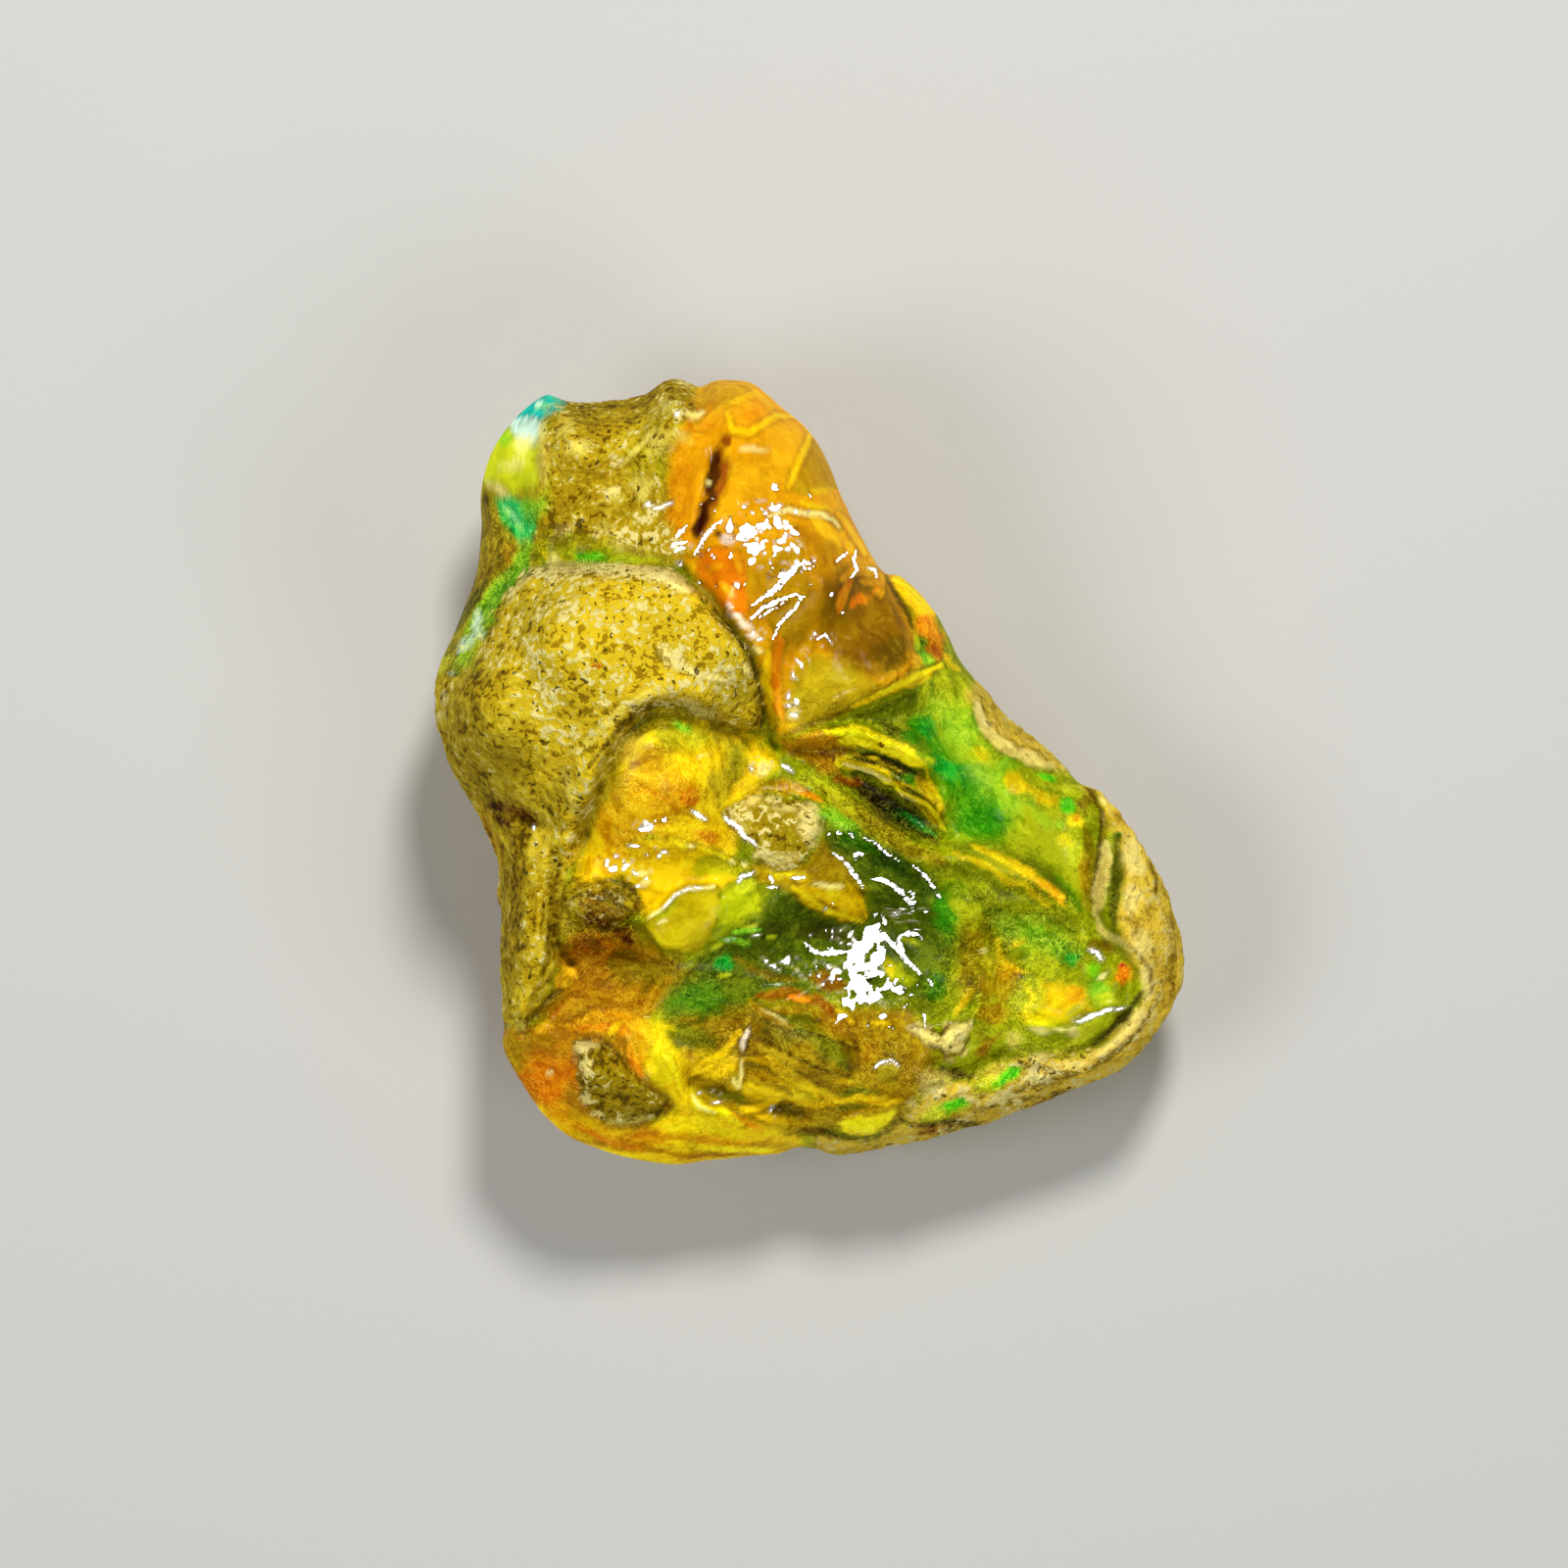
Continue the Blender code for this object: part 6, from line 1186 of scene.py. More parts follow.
class Paint:
    def __init__(self, points, flow):
        self.points = points
        flat = points[:, :2]
        swaySize, sway, fineSway = brush["sway"]
        shiverSize, shiver, fineShiver = brush["shiver"]
        raggedSize, ragged, grainy = brush["ragged"]
        swaying = np.stack([layeredNoise(flat, swaySize, seed) for seed in (11, 21)], axis=1)
        shivering = np.stack([softNoise(flat, shiverSize, seed) for seed in (31, 41)], axis=1)
        self.x, self.y = (flat + sway * swaying + shiver * shivering).T
        self.fineX, self.fineY = (flat + fineSway * swaying + fineShiver * shivering).T
        self.ragged = ragged * softNoise(flat, raggedSize, 51) + grainy * flow
        self.tint = np.tile(linear(brush["ground"]), (len(points), 1))
        self.glow = np.full(len(points), brush["groundGlow"])
        self.shine = np.zeros(len(points))

    def near(self, places, reach, margin=0.3):
        places = np.array(places)
        low, high = places.min(axis=0) - reach - margin, places.max(axis=0) + reach + margin
        x, y = self.points[:, 0], self.points[:, 1]
        return np.flatnonzero((x > low[0]) & (x < high[0]) & (y > low[1]) & (y < high[1]))

    def lay(self, colour, where, mask):
        glow = 1.0 if colour in glowing else brush["dullGlow"]
        self.tint[where] += (linear(colour) - self.tint[where]) * mask[:, None]
        self.glow[where] += (glow - self.glow[where]) * mask

    def darken(self, where, amount):
        self.tint[where] *= 1 - amount[:, None]

    def brighten(self, where, shine):
        self.shine[where] = np.maximum(self.shine[where], shine)

    def shade(self, amount):
        self.tint *= amount[:, None]

    def area(self, colour, outline, soft, strength=1.0, ragged=0.05):
        where = self.near(outline, soft)
        depth = depthInside(self.x[where], self.y[where], outline) + ragged * self.ragged[where]
        self.lay(colour, where, strength * fade(depth, -soft, soft))
        if soft < brush["crispBelow"]:
            dark, halfWidth, _ = brush["rim"]
            self.darken(where, dark * strength * np.exp(-((depth / halfWidth) ** 2)))

    def oval(self, colour, centre, halfWidths, strength=0.8, turn=0):
        where = self.near([centre], 1.4 * max(halfWidths))
        start, end, ragged = brush["ovalEdge"]
        d = ovalDistance(self.x[where], self.y[where], centre, halfWidths, turn) + ragged * self.ragged[where]
        self.lay(colour, where, strength * (1 - fade(d, start, end)))

    # Where a line runs, its distance, and its half width, which narrows to both tips.
    def followed(self, line, halfWidth, reach, fine, widths):
        where = self.near(line, reach)
        x, y = (self.fineX, self.fineY) if fine else (self.x, self.y)
        distance, share = alongDistance(x[where], y[where], line)
        added, part, tips, power = widths
        narrowing = tips + (1 - tips) * np.sin(math.pi * share) ** power
        return where, distance, (added + part * halfWidth) * narrowing

    # A painted highlight along a line, brightest in its middle.
    def mirror(self, where, distance, width):
        shine, fall = brush["mirror"]
        self.brighten(where, shine - fall * distance / width)

    def stroke(self, colour, line, halfWidth, strength=0.8):
        fine = halfWidth < brush["fineBelow"]
        where, distance, width = self.followed(line, halfWidth, halfWidth, fine, brush["strokeWidth"])
        soft = brush["strokeSoft"][0] + brush["strokeSoft"][1] * halfWidth
        # White strokes are painted highlights: narrower, and they also mark the shine.
        if colour == "white":
            width *= 0.5
            self.mirror(where, distance, width)
        self.lay(colour, where, strength * (1 - fade(distance - width, -soft, soft)))
        if max(palette[colour]) > brush["rimAbove"]:
            dark, rimWidth, gap = brush["rim"]
            self.darken(where, dark * strength * np.exp(-(((distance - width - gap) / rimWidth) ** 2)))

    # A painted highlight along a glint.
    def glint(self, line, halfWidth):
        self.mirror(*self.followed(line, halfWidth, 3 * halfWidth, True, brush["glintWidth"]))

    # A painted reflection of the lamp, broken up by noise.
    def sheen(self, outline, strength):
        where = self.near(outline, 0.5)
        depth = depthInside(self.x[where], self.y[where], outline)
        broken = noiseSum(self.points[where], brush["sheenNoise"])
        self.brighten(where, 0.4 + np.clip(2.5 * depth, -0.5, 0.3) + 0.7 * strength * broken)

    # Painted highlight specks, laid in a pale colour.
    def paintHighlightSpecks(self, colour, centre, halfWidths, turn, share, strength):
        where = self.near([centre], 1.2 * max(halfWidths))
        flat = self.points[where, :2]
        d = ovalDistance(flat[:, 0], flat[:, 1], centre, halfWidths, turn)
        spots = noiseSum(flat, brush["speckleNoise"]) + 0.8 * share
        self.brighten(where, 0.5 + 1.5 * (spots - 0.8) - 1.5 * fade(d, 0.7, 1.2))
        self.lay(colour, where, strength * fade(spots - 0.7, -0.1, 0.1) * (1 - fade(d, 0.7, 1.1)))

    def region(self, marks):
        for kind, draw in (("areas", self.area), ("ovals", self.oval), ("strokes", self.stroke)):
            for mark in marks.get(kind, []):
                draw(*mark)


# How strongly the grain shows in the opal: centre, half widths, turn, amount. Later ones lie on top.
grainAmounts = [
    ((-1.6, 8.6), (3.4, 6), 10, 0.3), ((1.2, 5.4), (2.6, 2.6), -45, 0.35),
    ((-10.8, 11.6), (1.4, 2.2), 0, 0.35), ((2.6, -0.6), (3.2, 2.2), -32, 1),
    ((6.6, -1.2), (4.2, 2.4), -38, 0.65), ((-5.4, -0.4), (2.6, 3), 0, 0.75),
    ((-4.6, -4.8), (2.4, 1.6), 0, 0.4), ((2, -5.6), (4.2, 2.4), -10, 0.6), ((7.4, -6.8), (3, 2.8), 0, 0.85),
    ((0, -10.8), (5.2, 2.6), -10, 0.75), ((-5, -12.6), (5, 1.4), 2, 0.65),
    ((-7.4, -8.2), (2.8, 1.8), 0, 0.7), ((-11.6, 6.6), (1.6, 3.6), -25, 0.9),
    ((-7.6, -5), (1.9, 1.1), 0, 1.1), ((9.6, -8.6), (1.6, 1.4), 30, 0.6),
]
# Where the rock's flakes are paler, or darker below 0: partly the rock's own tone, partly painted light on
# the ball's upper side and painted shade on its left side and on the column.
paleness = [
    ((-7.6, 4.6), (4.4, 2.9), 0, 0.1), ((-4.2, 5), (2.4, 2.6), -35, 0.06),
    ((-11.6, 0.6), (2.2, 3.8), 20, -0.25), ((-10.4, -5), (1.6, 4.4), 0, -0.25),
    ((-7, 11.2), (2.8, 2.4), 0, -0.2), ((12, -5.2), (1.5, 4.4), 0, 0.05),
    ((-7.9, 7.2), (3.6, 0.4), 0, 0.35), ((-0.6, -2.3), (1.2, 1.4), 0, 0.06),
    ((8.8, -10.8), (3.4, 0.9), 18, 0.1), ((-8.3, -10.4), (0.5, 1.2), 10, 0.4),
]
# Where the rock shows streaks along the drawn lines instead of flakes.
drawnSpots = [
    ((-7.2, 10.8), (3.4, 3.4), 0), ((-10.4, -4.4), (1.8, 5.2), 0), ((-12.4, 0.6), (1.6, 3.6), 20),
    ((12.2, -6), (2, 5.4), 0),
]
# Where the opal doesn't mirror the lamps.
quietSpots = [
    ((1.7, 4.2), (1.7, 1.4), -30), ((7, -1.8), (1.4, 1), 0), ((5.3, -4.7), (1.6, 1), 0),
    ((4.6, -7.8), (1.2, 1), 0), ((6.4, -7.6), (1.4, 2), 0), ((-0.6, -9.4), (3.4, 1.2), -20),
    ((8, -8.6), (1.2, 1.2), 0), ((-2, -11.8), (3.4, 1.2), -10), ((10.6, -2.8), (0.8, 2.8), 0),
    ((3.6, -12.2), (1.6, 1), 0), ((-5, -4.9), (1, 1), 0), ((-7.4, -7.6), (2.2, 1.4), 0),
]


def spotMask(points, centre, halfWidths, turn, start=0.7, end=1.15):
    return 1 - fade(ovalDistance(points[:, 0], points[:, 1], centre, halfWidths, turn), start, end)


def anySpot(points, spots):
    return np.max([spotMask(points, *spot) for spot in spots], axis=0)


# How strongly the grain shows elsewhere, and along the ragged lower edge.
grainLevels = {"opal": 0.7, "rock": 1.0, "crust": 0.55, "lowerEdge": 0.95}
lowerEdge = ((6.6, -11.9), (4.4, 1.6), 16)


def grainStrength(points, rock):
    strength = np.full(len(points), grainLevels["opal"])
    for centre, halfWidths, turn, amount in grainAmounts:
        strength += (amount - strength) * spotMask(points, centre, halfWidths, turn)
    strength += (grainLevels["rock"] - strength) * rock
    for area in ("crust", "slopeEdge"):
        outline, _, soft = rockAreas[area]
        strength += (grainLevels["crust"] - strength) * polygonMask(points, outline, soft)
    strength += (grainLevels["lowerEdge"] - strength) * spotMask(points, *lowerEdge)
    return strength


# Below the widest line the photograph shows nothing: the same rock, with amber windows.
below = {"start": 0.3, "depth": 1.1, "windowSize": 5.0, "windowEdge": (0.12, 0.3), "flakeSize": 1.3}
# The last shading of the paint: soft clouds of tone, painted shade in hollows with painted light on ridges,
# painted shade on steep rock, and dull flanks.
shading = {
    "cloudSize": 1.6, "cloud": 0.14, "hollow": 1.1, "hollowRange": (0.6, 1.2),
    "steep": 0.3, "steepRange": (0.25, 0.8), "flankRange": (0.12, 0.36), "quiet": 0.9,
}


def belowWidest(points, girth):
    return fade(girth - below["start"] - points[:, 2], 0, below["depth"])


def amberWindows(points):
    return fade(layeredNoise(points, below["windowSize"], 91), *below["windowEdge"])


def paintStone(points, girth, rock, hollow, flow, steep):
    paint = Paint(points, flow)
    for marks in regions:
        paint.region(marks)
    for colour, area in rockBase:
        outline, amount, soft = rockAreas[area]
        paint.area(colour, outline, soft, amount, ragged=0.2)
    for marks in rockRegions:
        paint.region(marks)
    for centre, halfWidths, turn, share in highlightSpecks:
        paint.paintHighlightSpecks("blush", centre, halfWidths, turn, share, strength=0.7)
    for line, halfWidth, _ in glints:
        paint.glint(line, halfWidth)
    for outline, strength in sheens:
        paint.sheen(outline, strength)
    paint.shade(1 + shading["cloud"] * layeredNoise(points, shading["cloudSize"], 81))
    paintBelow(paint, points, belowWidest(points, girth))
    # Painted shade in hollows and painted light on ridges, then painted shade on steep rock.
    hollowShade = np.clip(1 - shading["hollow"] * hollow, *shading["hollowRange"])
    paint.shade(hollowShade * (1 - shading["steep"] * steep))
    return paint


def paintBelow(paint, points, low):
    where = np.flatnonzero(low > 0)
    fine = layeredNoise(points[where], below["flakeSize"], 92)
    windows = amberWindows(points[where])
    shown, glow = paint.tint.copy(), paint.glow.copy()
    paint.lay("crustShade", where, np.ones(len(where)))
    paint.lay("crust", where, fade(fine, -0.2, 0.35))
    paint.lay("crustDark", where, 0.6 * fade(-fine, 0.15, 0.5))
    paint.lay("brownAmber", where, windows)
    paint.lay("amber", where, windows * fade(fine, -0.1, 0.4))
    paint.lay("darkOlive", where, windows * fade(-fine, 0.1, 0.4))
    paint.tint = shown + (paint.tint - shown) * low[:, None]
    paint.glow = glow + (paint.glow - glow) * low
    paint.shine *= 1 - low


# A closed net: a square grid drawn out to a disc for the upper side, and rings that thin out below it.
def makeNet():
    cells = stone["cells"]
    marks = np.linspace(-1, 1, cells + 1)
    v, u = np.meshgrid(marks, marks, indexing="ij")
    wide = np.abs(u) > np.abs(v)
    signed = np.where(wide, u, v)
    turn = math.pi / 4 * np.where(wide, v, u) / np.where(signed == 0, 1, signed)
    angles = np.where(wide, turn, math.pi / 2 - turn) + np.where(signed < 0, math.pi, 0)
    inward = 1 - np.abs(signed)
    crowded = 2 * stone["rimRows"] / cells
    inward = np.where(inward < crowded, crowded * (inward / crowded) ** stone["rimPower"], inward)
    index = np.arange((cells + 1) ** 2).reshape(cells + 1, cells + 1)
    corners = np.stack([index[:-1, :-1], index[:-1, 1:], index[1:, 1:], index[1:, :-1]], axis=2)
    faces = corners.reshape(-1, 4).tolist()
    reaches, turns = [1 - inward.ravel()], [angles.ravel()]
    ring = np.concatenate([index[:-1, -1], index[-1, :0:-1], index[:0:-1, 0], index[0, :-1]])
    ringAngles, made, row = angles.ravel()[ring], index.size, 0
    rowCount = sum(stone["lowerRows"]) + 1
    for group, rows in enumerate(stone["lowerRows"]):
        for step in range(rows):
            row += 1
            halving = group > 0 and step == 0
            newAngles = ringAngles[::2] if halving else ringAngles
            inner = made + np.arange(len(newAngles))
            nextInner = np.roll(inner, -1)
            if halving:
                first, middle, last = ring[::2], ring[1::2], np.roll(ring[::2], -1)
                faces += np.stack([first, inner, middle], axis=1).tolist()
                faces += np.stack([middle, inner, nextInner], axis=1).tolist()
                faces += np.stack([middle, nextInner, last], axis=1).tolist()
            else:
                faces += np.stack([ring, inner, nextInner, np.roll(ring, -1)], axis=1).tolist()
            reaches.append(np.full(len(inner), 1 - (row / rowCount) ** stone["lowerPower"]))
            turns.append(newAngles)
            ring, ringAngles, made = inner, newAngles, made + len(inner)
    faces += [[a, made, b] for a, b in zip(ring.tolist(), np.roll(ring, -1).tolist())]
    reaches.append(np.zeros(1))
    turns.append(np.zeros(1))
    reach = np.concatenate(reaches)
    return reach, np.concatenate(turns), np.arange(len(reach)) < index.size, faces


def readPoints(mesh, what="co"):
    values = np.empty(3 * len(mesh.vertices), np.float32)
    mesh.vertices.foreach_get(what, values)
    return values.reshape(-1, 3).astype(float)


def writePoints(mesh, points):
    mesh.vertices.foreach_set("co", points.astype(np.float32).ravel())
    mesh.update()


def fitToBox(points, low, high):
    ownLow, ownHigh = points.min(axis=0), points.max(axis=0)
    return low + (points - ownLow) * (high - low) / (ownHigh - ownLow)


# How the rock's edges waver, and how its ovals and windows fade out.
rockEdge = {"waveSize": 0.7, "wave": 0.08, "ovalStart": 0.85, "window": (0.8, 1.2), "windowAmount": 0.9}


def rockMask(points, girth):
    flat = points[:, :2]
    waves = np.stack([layeredNoise(flat, rockEdge["waveSize"], seed) for seed in (101, 102)], axis=1)
    wavy = flat + rockEdge["wave"] * waves
    mask = np.zeros(len(points))
    for outline, amount, soft in rockAreas.values():
        mask = np.maximum(mask, amount * polygonMask(wavy, outline, soft))
    for centre, halfWidths, turn, amount in rockOvals.values():
        mask = np.maximum(mask, amount * spotMask(wavy, centre, halfWidths, turn, rockEdge["ovalStart"]))
    for window in rockWindows:
        mask *= 1 - rockEdge["windowAmount"] * spotMask(wavy, *window, *rockEdge["window"])
    return mask + (1 - amberWindows(points) - mask) * belowWidest(points, girth)


def neighbourMean(values, ends, rounds):
    count = np.bincount(ends.ravel(), minlength=len(values))[:, None]
    for _ in range(rounds):
        total = np.empty_like(values)
        for column in range(values.shape[1]):
            total[:, column] = np.bincount(ends[:, 0], values[ends[:, 1], column], len(values))
            total[:, column] += np.bincount(ends[:, 1], values[ends[:, 0], column], len(values))
        values = (values + total) / (count + 1)
    return values


# How far each place lies below its near and its far surroundings: rounds of smoothing, and their shares.
hollowSetup = {"nearRounds": 8, "near": 0.8, "farRounds": 40, "far": 0.5}


def hollowness(mesh, points):
    ends = np.empty(2 * len(mesh.edges), np.int32)
    mesh.edges.foreach_get("vertices", ends)
    ends = ends.reshape(-1, 2)
    near = neighbourMean(points, ends, hollowSetup["nearRounds"])
    far = neighbourMean(near, ends, hollowSetup["farRounds"])
    towards = hollowSetup["near"] * (near - points) + hollowSetup["far"] * (far - points)
    return np.sum(readPoints(mesh, "normal") * towards, axis=1)


# The mesh's own low relief: swells of the glass, broken glass in the sheens, grains of the rock.
reliefSetup = {
    "glass": (1.1, 0.035, 111), "sheen": (0.3, 0.03, 112), "sheenSoft": 0.35,   # size, height, seed
    "rock": ((0.36, 0.05, 1), (0.2, 0.03, 2), (0.9, 0.05, 3)),
}


def fineRelief(points, rock):
    size, height, seed = reliefSetup["glass"]
    relief = (1 - rock) * height * layeredNoise(points, size, seed, 2)
    for line, halfWidth, height in glints:
        relief += height * np.exp(-((lineDistance(points[:, 0], points[:, 1], line) / halfWidth) ** 2))
    broken = noiseSum(points, [reliefSetup["sheen"]])
    for outline, strength in sheens:
        relief += strength * polygonMask(points, outline, reliefSetup["sheenSoft"]) * broken
    return relief + rock * noiseSum(points, reliefSetup["rock"])


# Streaks in the opal, flakes in the rock, and streaks again on the rock's drawn spots.
def grainFlow(points, grid, rock):
    streaks = np.zeros(len(points))
    for size, amount, seed in grainSetup["streaks"]:
        streaks += amount * grainNoise(points, grid, size, seed)
    flakes = noiseSum(points * (1, 1, grainSetup["flakeFlatness"]), grainSetup["flakes"])
    drawn = anySpot(points, drawnSpots)
    rocky = grainSetup["rockFlakes"] * (1 - drawn) * flakes / flakes.std()
    rocky += (grainSetup["rockStreaks"] + grainSetup["drawnStreaks"] * drawn) * streaks
    return streaks + (rocky - streaks) * rock


# Kind and field of a mesh attribute, by the count of numbers in each value.
valueKinds = {1: ("FLOAT", "value"), 3: ("FLOAT_VECTOR", "vector"), 4: ("FLOAT_COLOR", "color")}


def writeValues(mesh, name, values):
    kind, field = valueKinds[values.size // len(values)]
    made = mesh.attributes.new(name, kind, "POINT")
    made.data.foreach_set(field, values.astype(np.float32).ravel())


def makeStone():
    reach, angle, isTop, faces = makeNet()
    points, girth = stonePoints(reach, angle, isTop)
    points = breakSides(points)
    mesh = bpy.data.meshes.new("opalStone")
    mesh.from_pydata(points.tolist(), [], faces)
    print("stone net", len(mesh.polygons), "faces")
    belowGirth = np.clip((girth - points[:, 2]) / stone["sideBumpDepth"], 0, 1)
    points += readPoints(mesh, "normal") * (belowGirth * bumps(points, stone["sideBumps"]))[:, None]
    writePoints(mesh, points)
    rock = rockMask(points, girth)
    grid = grainGrid()
    flow = grainFlow(points, grid, rock)
    print("grain worked out")
    points += readPoints(mesh, "normal") * fineRelief(points, rock)[:, None]
    points[:, 2] = np.maximum(points[:, 2], 0)
    points = fitToBox(points, *(np.array(cadBox) / metresPerMm))
    writePoints(mesh, points)
    hollow = hollowness(mesh, points)
    lean = 1 - readPoints(mesh, "normal")[:, 2]
    flank = np.maximum(fade(lean, *shading["flankRange"]), shading["quiet"] * anySpot(points, quietSpots))
    # Rock that turns away from the top gets painted shade.
    steep = rock * fade(lean, *shading["steepRange"]) * isTop
    pale = isTop * sum(amount * spotMask(points, *spot) for *spot, amount in paleness)
    paint = paintStone(points, girth, rock, hollow, flow, steep)
    print("stone painted")
    writePoints(mesh, points * metresPerMm)
    mesh.shade_smooth()
    turn = grainDirection(grid, points[:, 0], points[:, 1]) + wander(points, 124)
    # shine carries the painted highlights, and glow the painted glow of the colours.
    values = {
        "rock": rock, "glow": paint.glow, "shine": paint.shine, "flank": flank, "pale": pale, "flow": flow,
        "way": np.stack([np.cos(turn), np.sin(turn), np.zeros(len(turn))], axis=1),
        "grain": grainStrength(points, rock),
        "tint": np.concatenate([np.clip(paint.tint, 0, 1), np.ones((len(points), 1))], axis=1),
    }
    for name, amounts in values.items():
        writeValues(mesh, name, amounts)
    piece = bpy.data.objects.new("opalStone", mesh)
    bpy.context.scene.collection.objects.link(piece)
    return piece


# A socket of a material, so that shading reads as arithmetic.
class Sock:
    def __init__(self, tree, socket=None):
        self.tree = tree
        self.socket = socket

    def node(self, kind, settings, inputs, output=0):
        made = self.tree.nodes.new(kind)
        for name, value in settings.items():
            setattr(made, name, value)
        for name, value in inputs.items():
            if isinstance(value, Sock):
                self.tree.links.new(value.socket, made.inputs[name])
            else:
                made.inputs[name].default_value = value
        return Sock(self.tree, made.outputs[output])

    def attribute(self, name, output=2):
        return self.node("ShaderNodeAttribute", {"attribute_name": name}, {}, output)

    def maths(self, operation, first, second):
        return self.node("ShaderNodeMath", {"operation": operation}, {0: first, 1: second})

    def __add__(self, other):
        return self.maths("ADD", self, other)

    def __radd__(self, other):
        return self.maths("ADD", other, self)

    def __sub__(self, other):
        return self.maths("SUBTRACT", self, other)

    def __rsub__(self, other):
        return self.maths("SUBTRACT", other, self)

    def __mul__(self, other):
        return self.maths("MULTIPLY", self, other)

    def __rmul__(self, other):
        return self.maths("MULTIPLY", other, self)

    def fade(self, low, high):
        span = {1: low, 2: high, 3: 0.0, 4: 1.0}
        return self.node("ShaderNodeMapRange", {"interpolation_type": "SMOOTHSTEP"}, {0: self, **span})

    def scaled(self, amount):
        return self.node("ShaderNodeVectorMath", {"operation": "SCALE"}, {0: self, "Scale": amount})

    def times(self, colour):
        return self.node("ShaderNodeVectorMath", {"operation": "MULTIPLY"}, {0: self, 1: colour})

    def moved(self, other):
        return self.node("ShaderNodeVectorMath", {"operation": "ADD"}, {0: self, 1: other})

    def mixed(self, colour, factor):
        if not isinstance(colour, Sock):
            colour = (*colour, 1)
        return self.node("ShaderNodeMix", {"data_type": "RGBA"}, {0: factor, 6: self, 7: colour}, 2)

    def power(self, amount):
        return self.node("ShaderNodeGamma", {}, {0: self, 1: amount})

    # One of the layers below, made from a base colour and laid where the mask is above 0.
    def layered(self, base, layer, mask):
        power, tint, amount = layers[layer]
        return self.mixed(base.power(power).times(tint), amount * mask)

    # Thin lines where the value crosses 0.
    def crossing(self, outer, inner):
        return (0 - self * self).fade(-outer, -inner)

    def bumped(self, strength):
        return self.node("ShaderNodeBump", {}, {"Height": self, "Strength": strength, "Distance": 0.0001})

    # A normal turned towards one fixed direction, as far as the factor says.
    def turned(self, direction, factor):
        turned = self.node("ShaderNodeMix", {"data_type": "VECTOR"}, {0: factor, 4: self, 5: direction}, 1)
        return self.node("ShaderNodeVectorMath", {"operation": "NORMALIZE"}, {0: turned})

    def noise(self, name):
        scale, detail, distortion = textures[name]
        inputs = {"Vector": self, "Scale": scale, "Detail": detail, "Distortion": distortion}
        return self.node("ShaderNodeTexNoise", {}, inputs)


# Noises of the material: scale to the millimetre, detail, distortion.
textures = {
    "sand": (3.9, 5.0, 0.6), "pits": (3.2, 1.0, 0.4), "threads": (6.0, 2.0, 0.0), "cloud": (1.6, 4.0, 0.6),
    "mist": (3.2, 5.0, 1.0), "curls": (1.7, 3.0, 1.6), "folds": (1.2, 4.0, 2.0), "wisps": (2.7, 4.0, 2.4),
    "wispPatches": (0.9, 2.0, 0.5), "glitter": (7.0, 3.0, 0.5),
}
# Lighter and darker layers of the grain: power and tint of the base colour, and how strongly they cover it.
layers = {
    "paleFlakes": (0.6, (1.25, 1.2, 0.6), 0.85), "darkFlakes": (1.4, (0.55, 0.5, 0.3), 0.85),
    "paleVeins": (0.6, (1.15, 1.15, 0.4), 0.8), "darkVeins": (1.4, (0.7, 0.7, 0.5), 0.8),
    "folds": (1.5, (0.5, 0.46, 0.4), 0.7), "curls": (0.5, (1.25, 1.2, 0.5), 0.85),
    "darkWisps": (1.5, (0.45, 0.42, 0.4), 0.65), "paleWisps": (0.5, (1.25, 1.2, 0.5), 0.7),
}
# Cream flakes and dark pits of the rock, and the near-white of the opal's painted highlights.
layerColours = {"cream": (1.0, 0.86, 0.3), "pit": (0.06, 0.035, 0.005), "mirrored": (0.95, 0.95, 0.88)}
# A facet with this direction mirrors the main lamp straight up.
lampFacing = (0.061, 0.286, 0.956)


def rockLooks(place, tint, grain, flow, pale, sand):
    cells = place.node("ShaderNodeTexVoronoi", {}, {"Vector": place.moved(sand * 0.25), "Scale": 4.2}, 1)
    facets = place.node("ShaderNodeSeparateXYZ", {}, {0: cells}) - 0.5
    flakes = 0.2 * flow + 2.9 * sand + 0.35 * facets
    creamy = flakes + pale
    pits = (place.noise("pits") - 0.12 * sand).fade(0.685, 0.71)
    colour = tint.scaled(1.28).layered(tint, "paleFlakes", grain * flakes.fade(0.06, 0.16))
    colour = colour.scaled(1 - 0.35 * grain * creamy.fade(0.22, 0.3))
    colour = colour.mixed(layerColours["cream"], 0.9 * grain * creamy.fade(0.32, 0.38))
    colour = colour.layered(tint, "darkFlakes", grain * (0 - flakes).fade(0.36, 0.46))
    colour = colour.mixed(layerColours["pit"], 0.85 * grain * pits)
    return {
        "Base Color": colour, "Roughness": 0.85, "IOR": 1.4, "Specular IOR Level": 0.1,
        "Normal": (flakes - 1.5 * pits).bumped(0.7),
    }


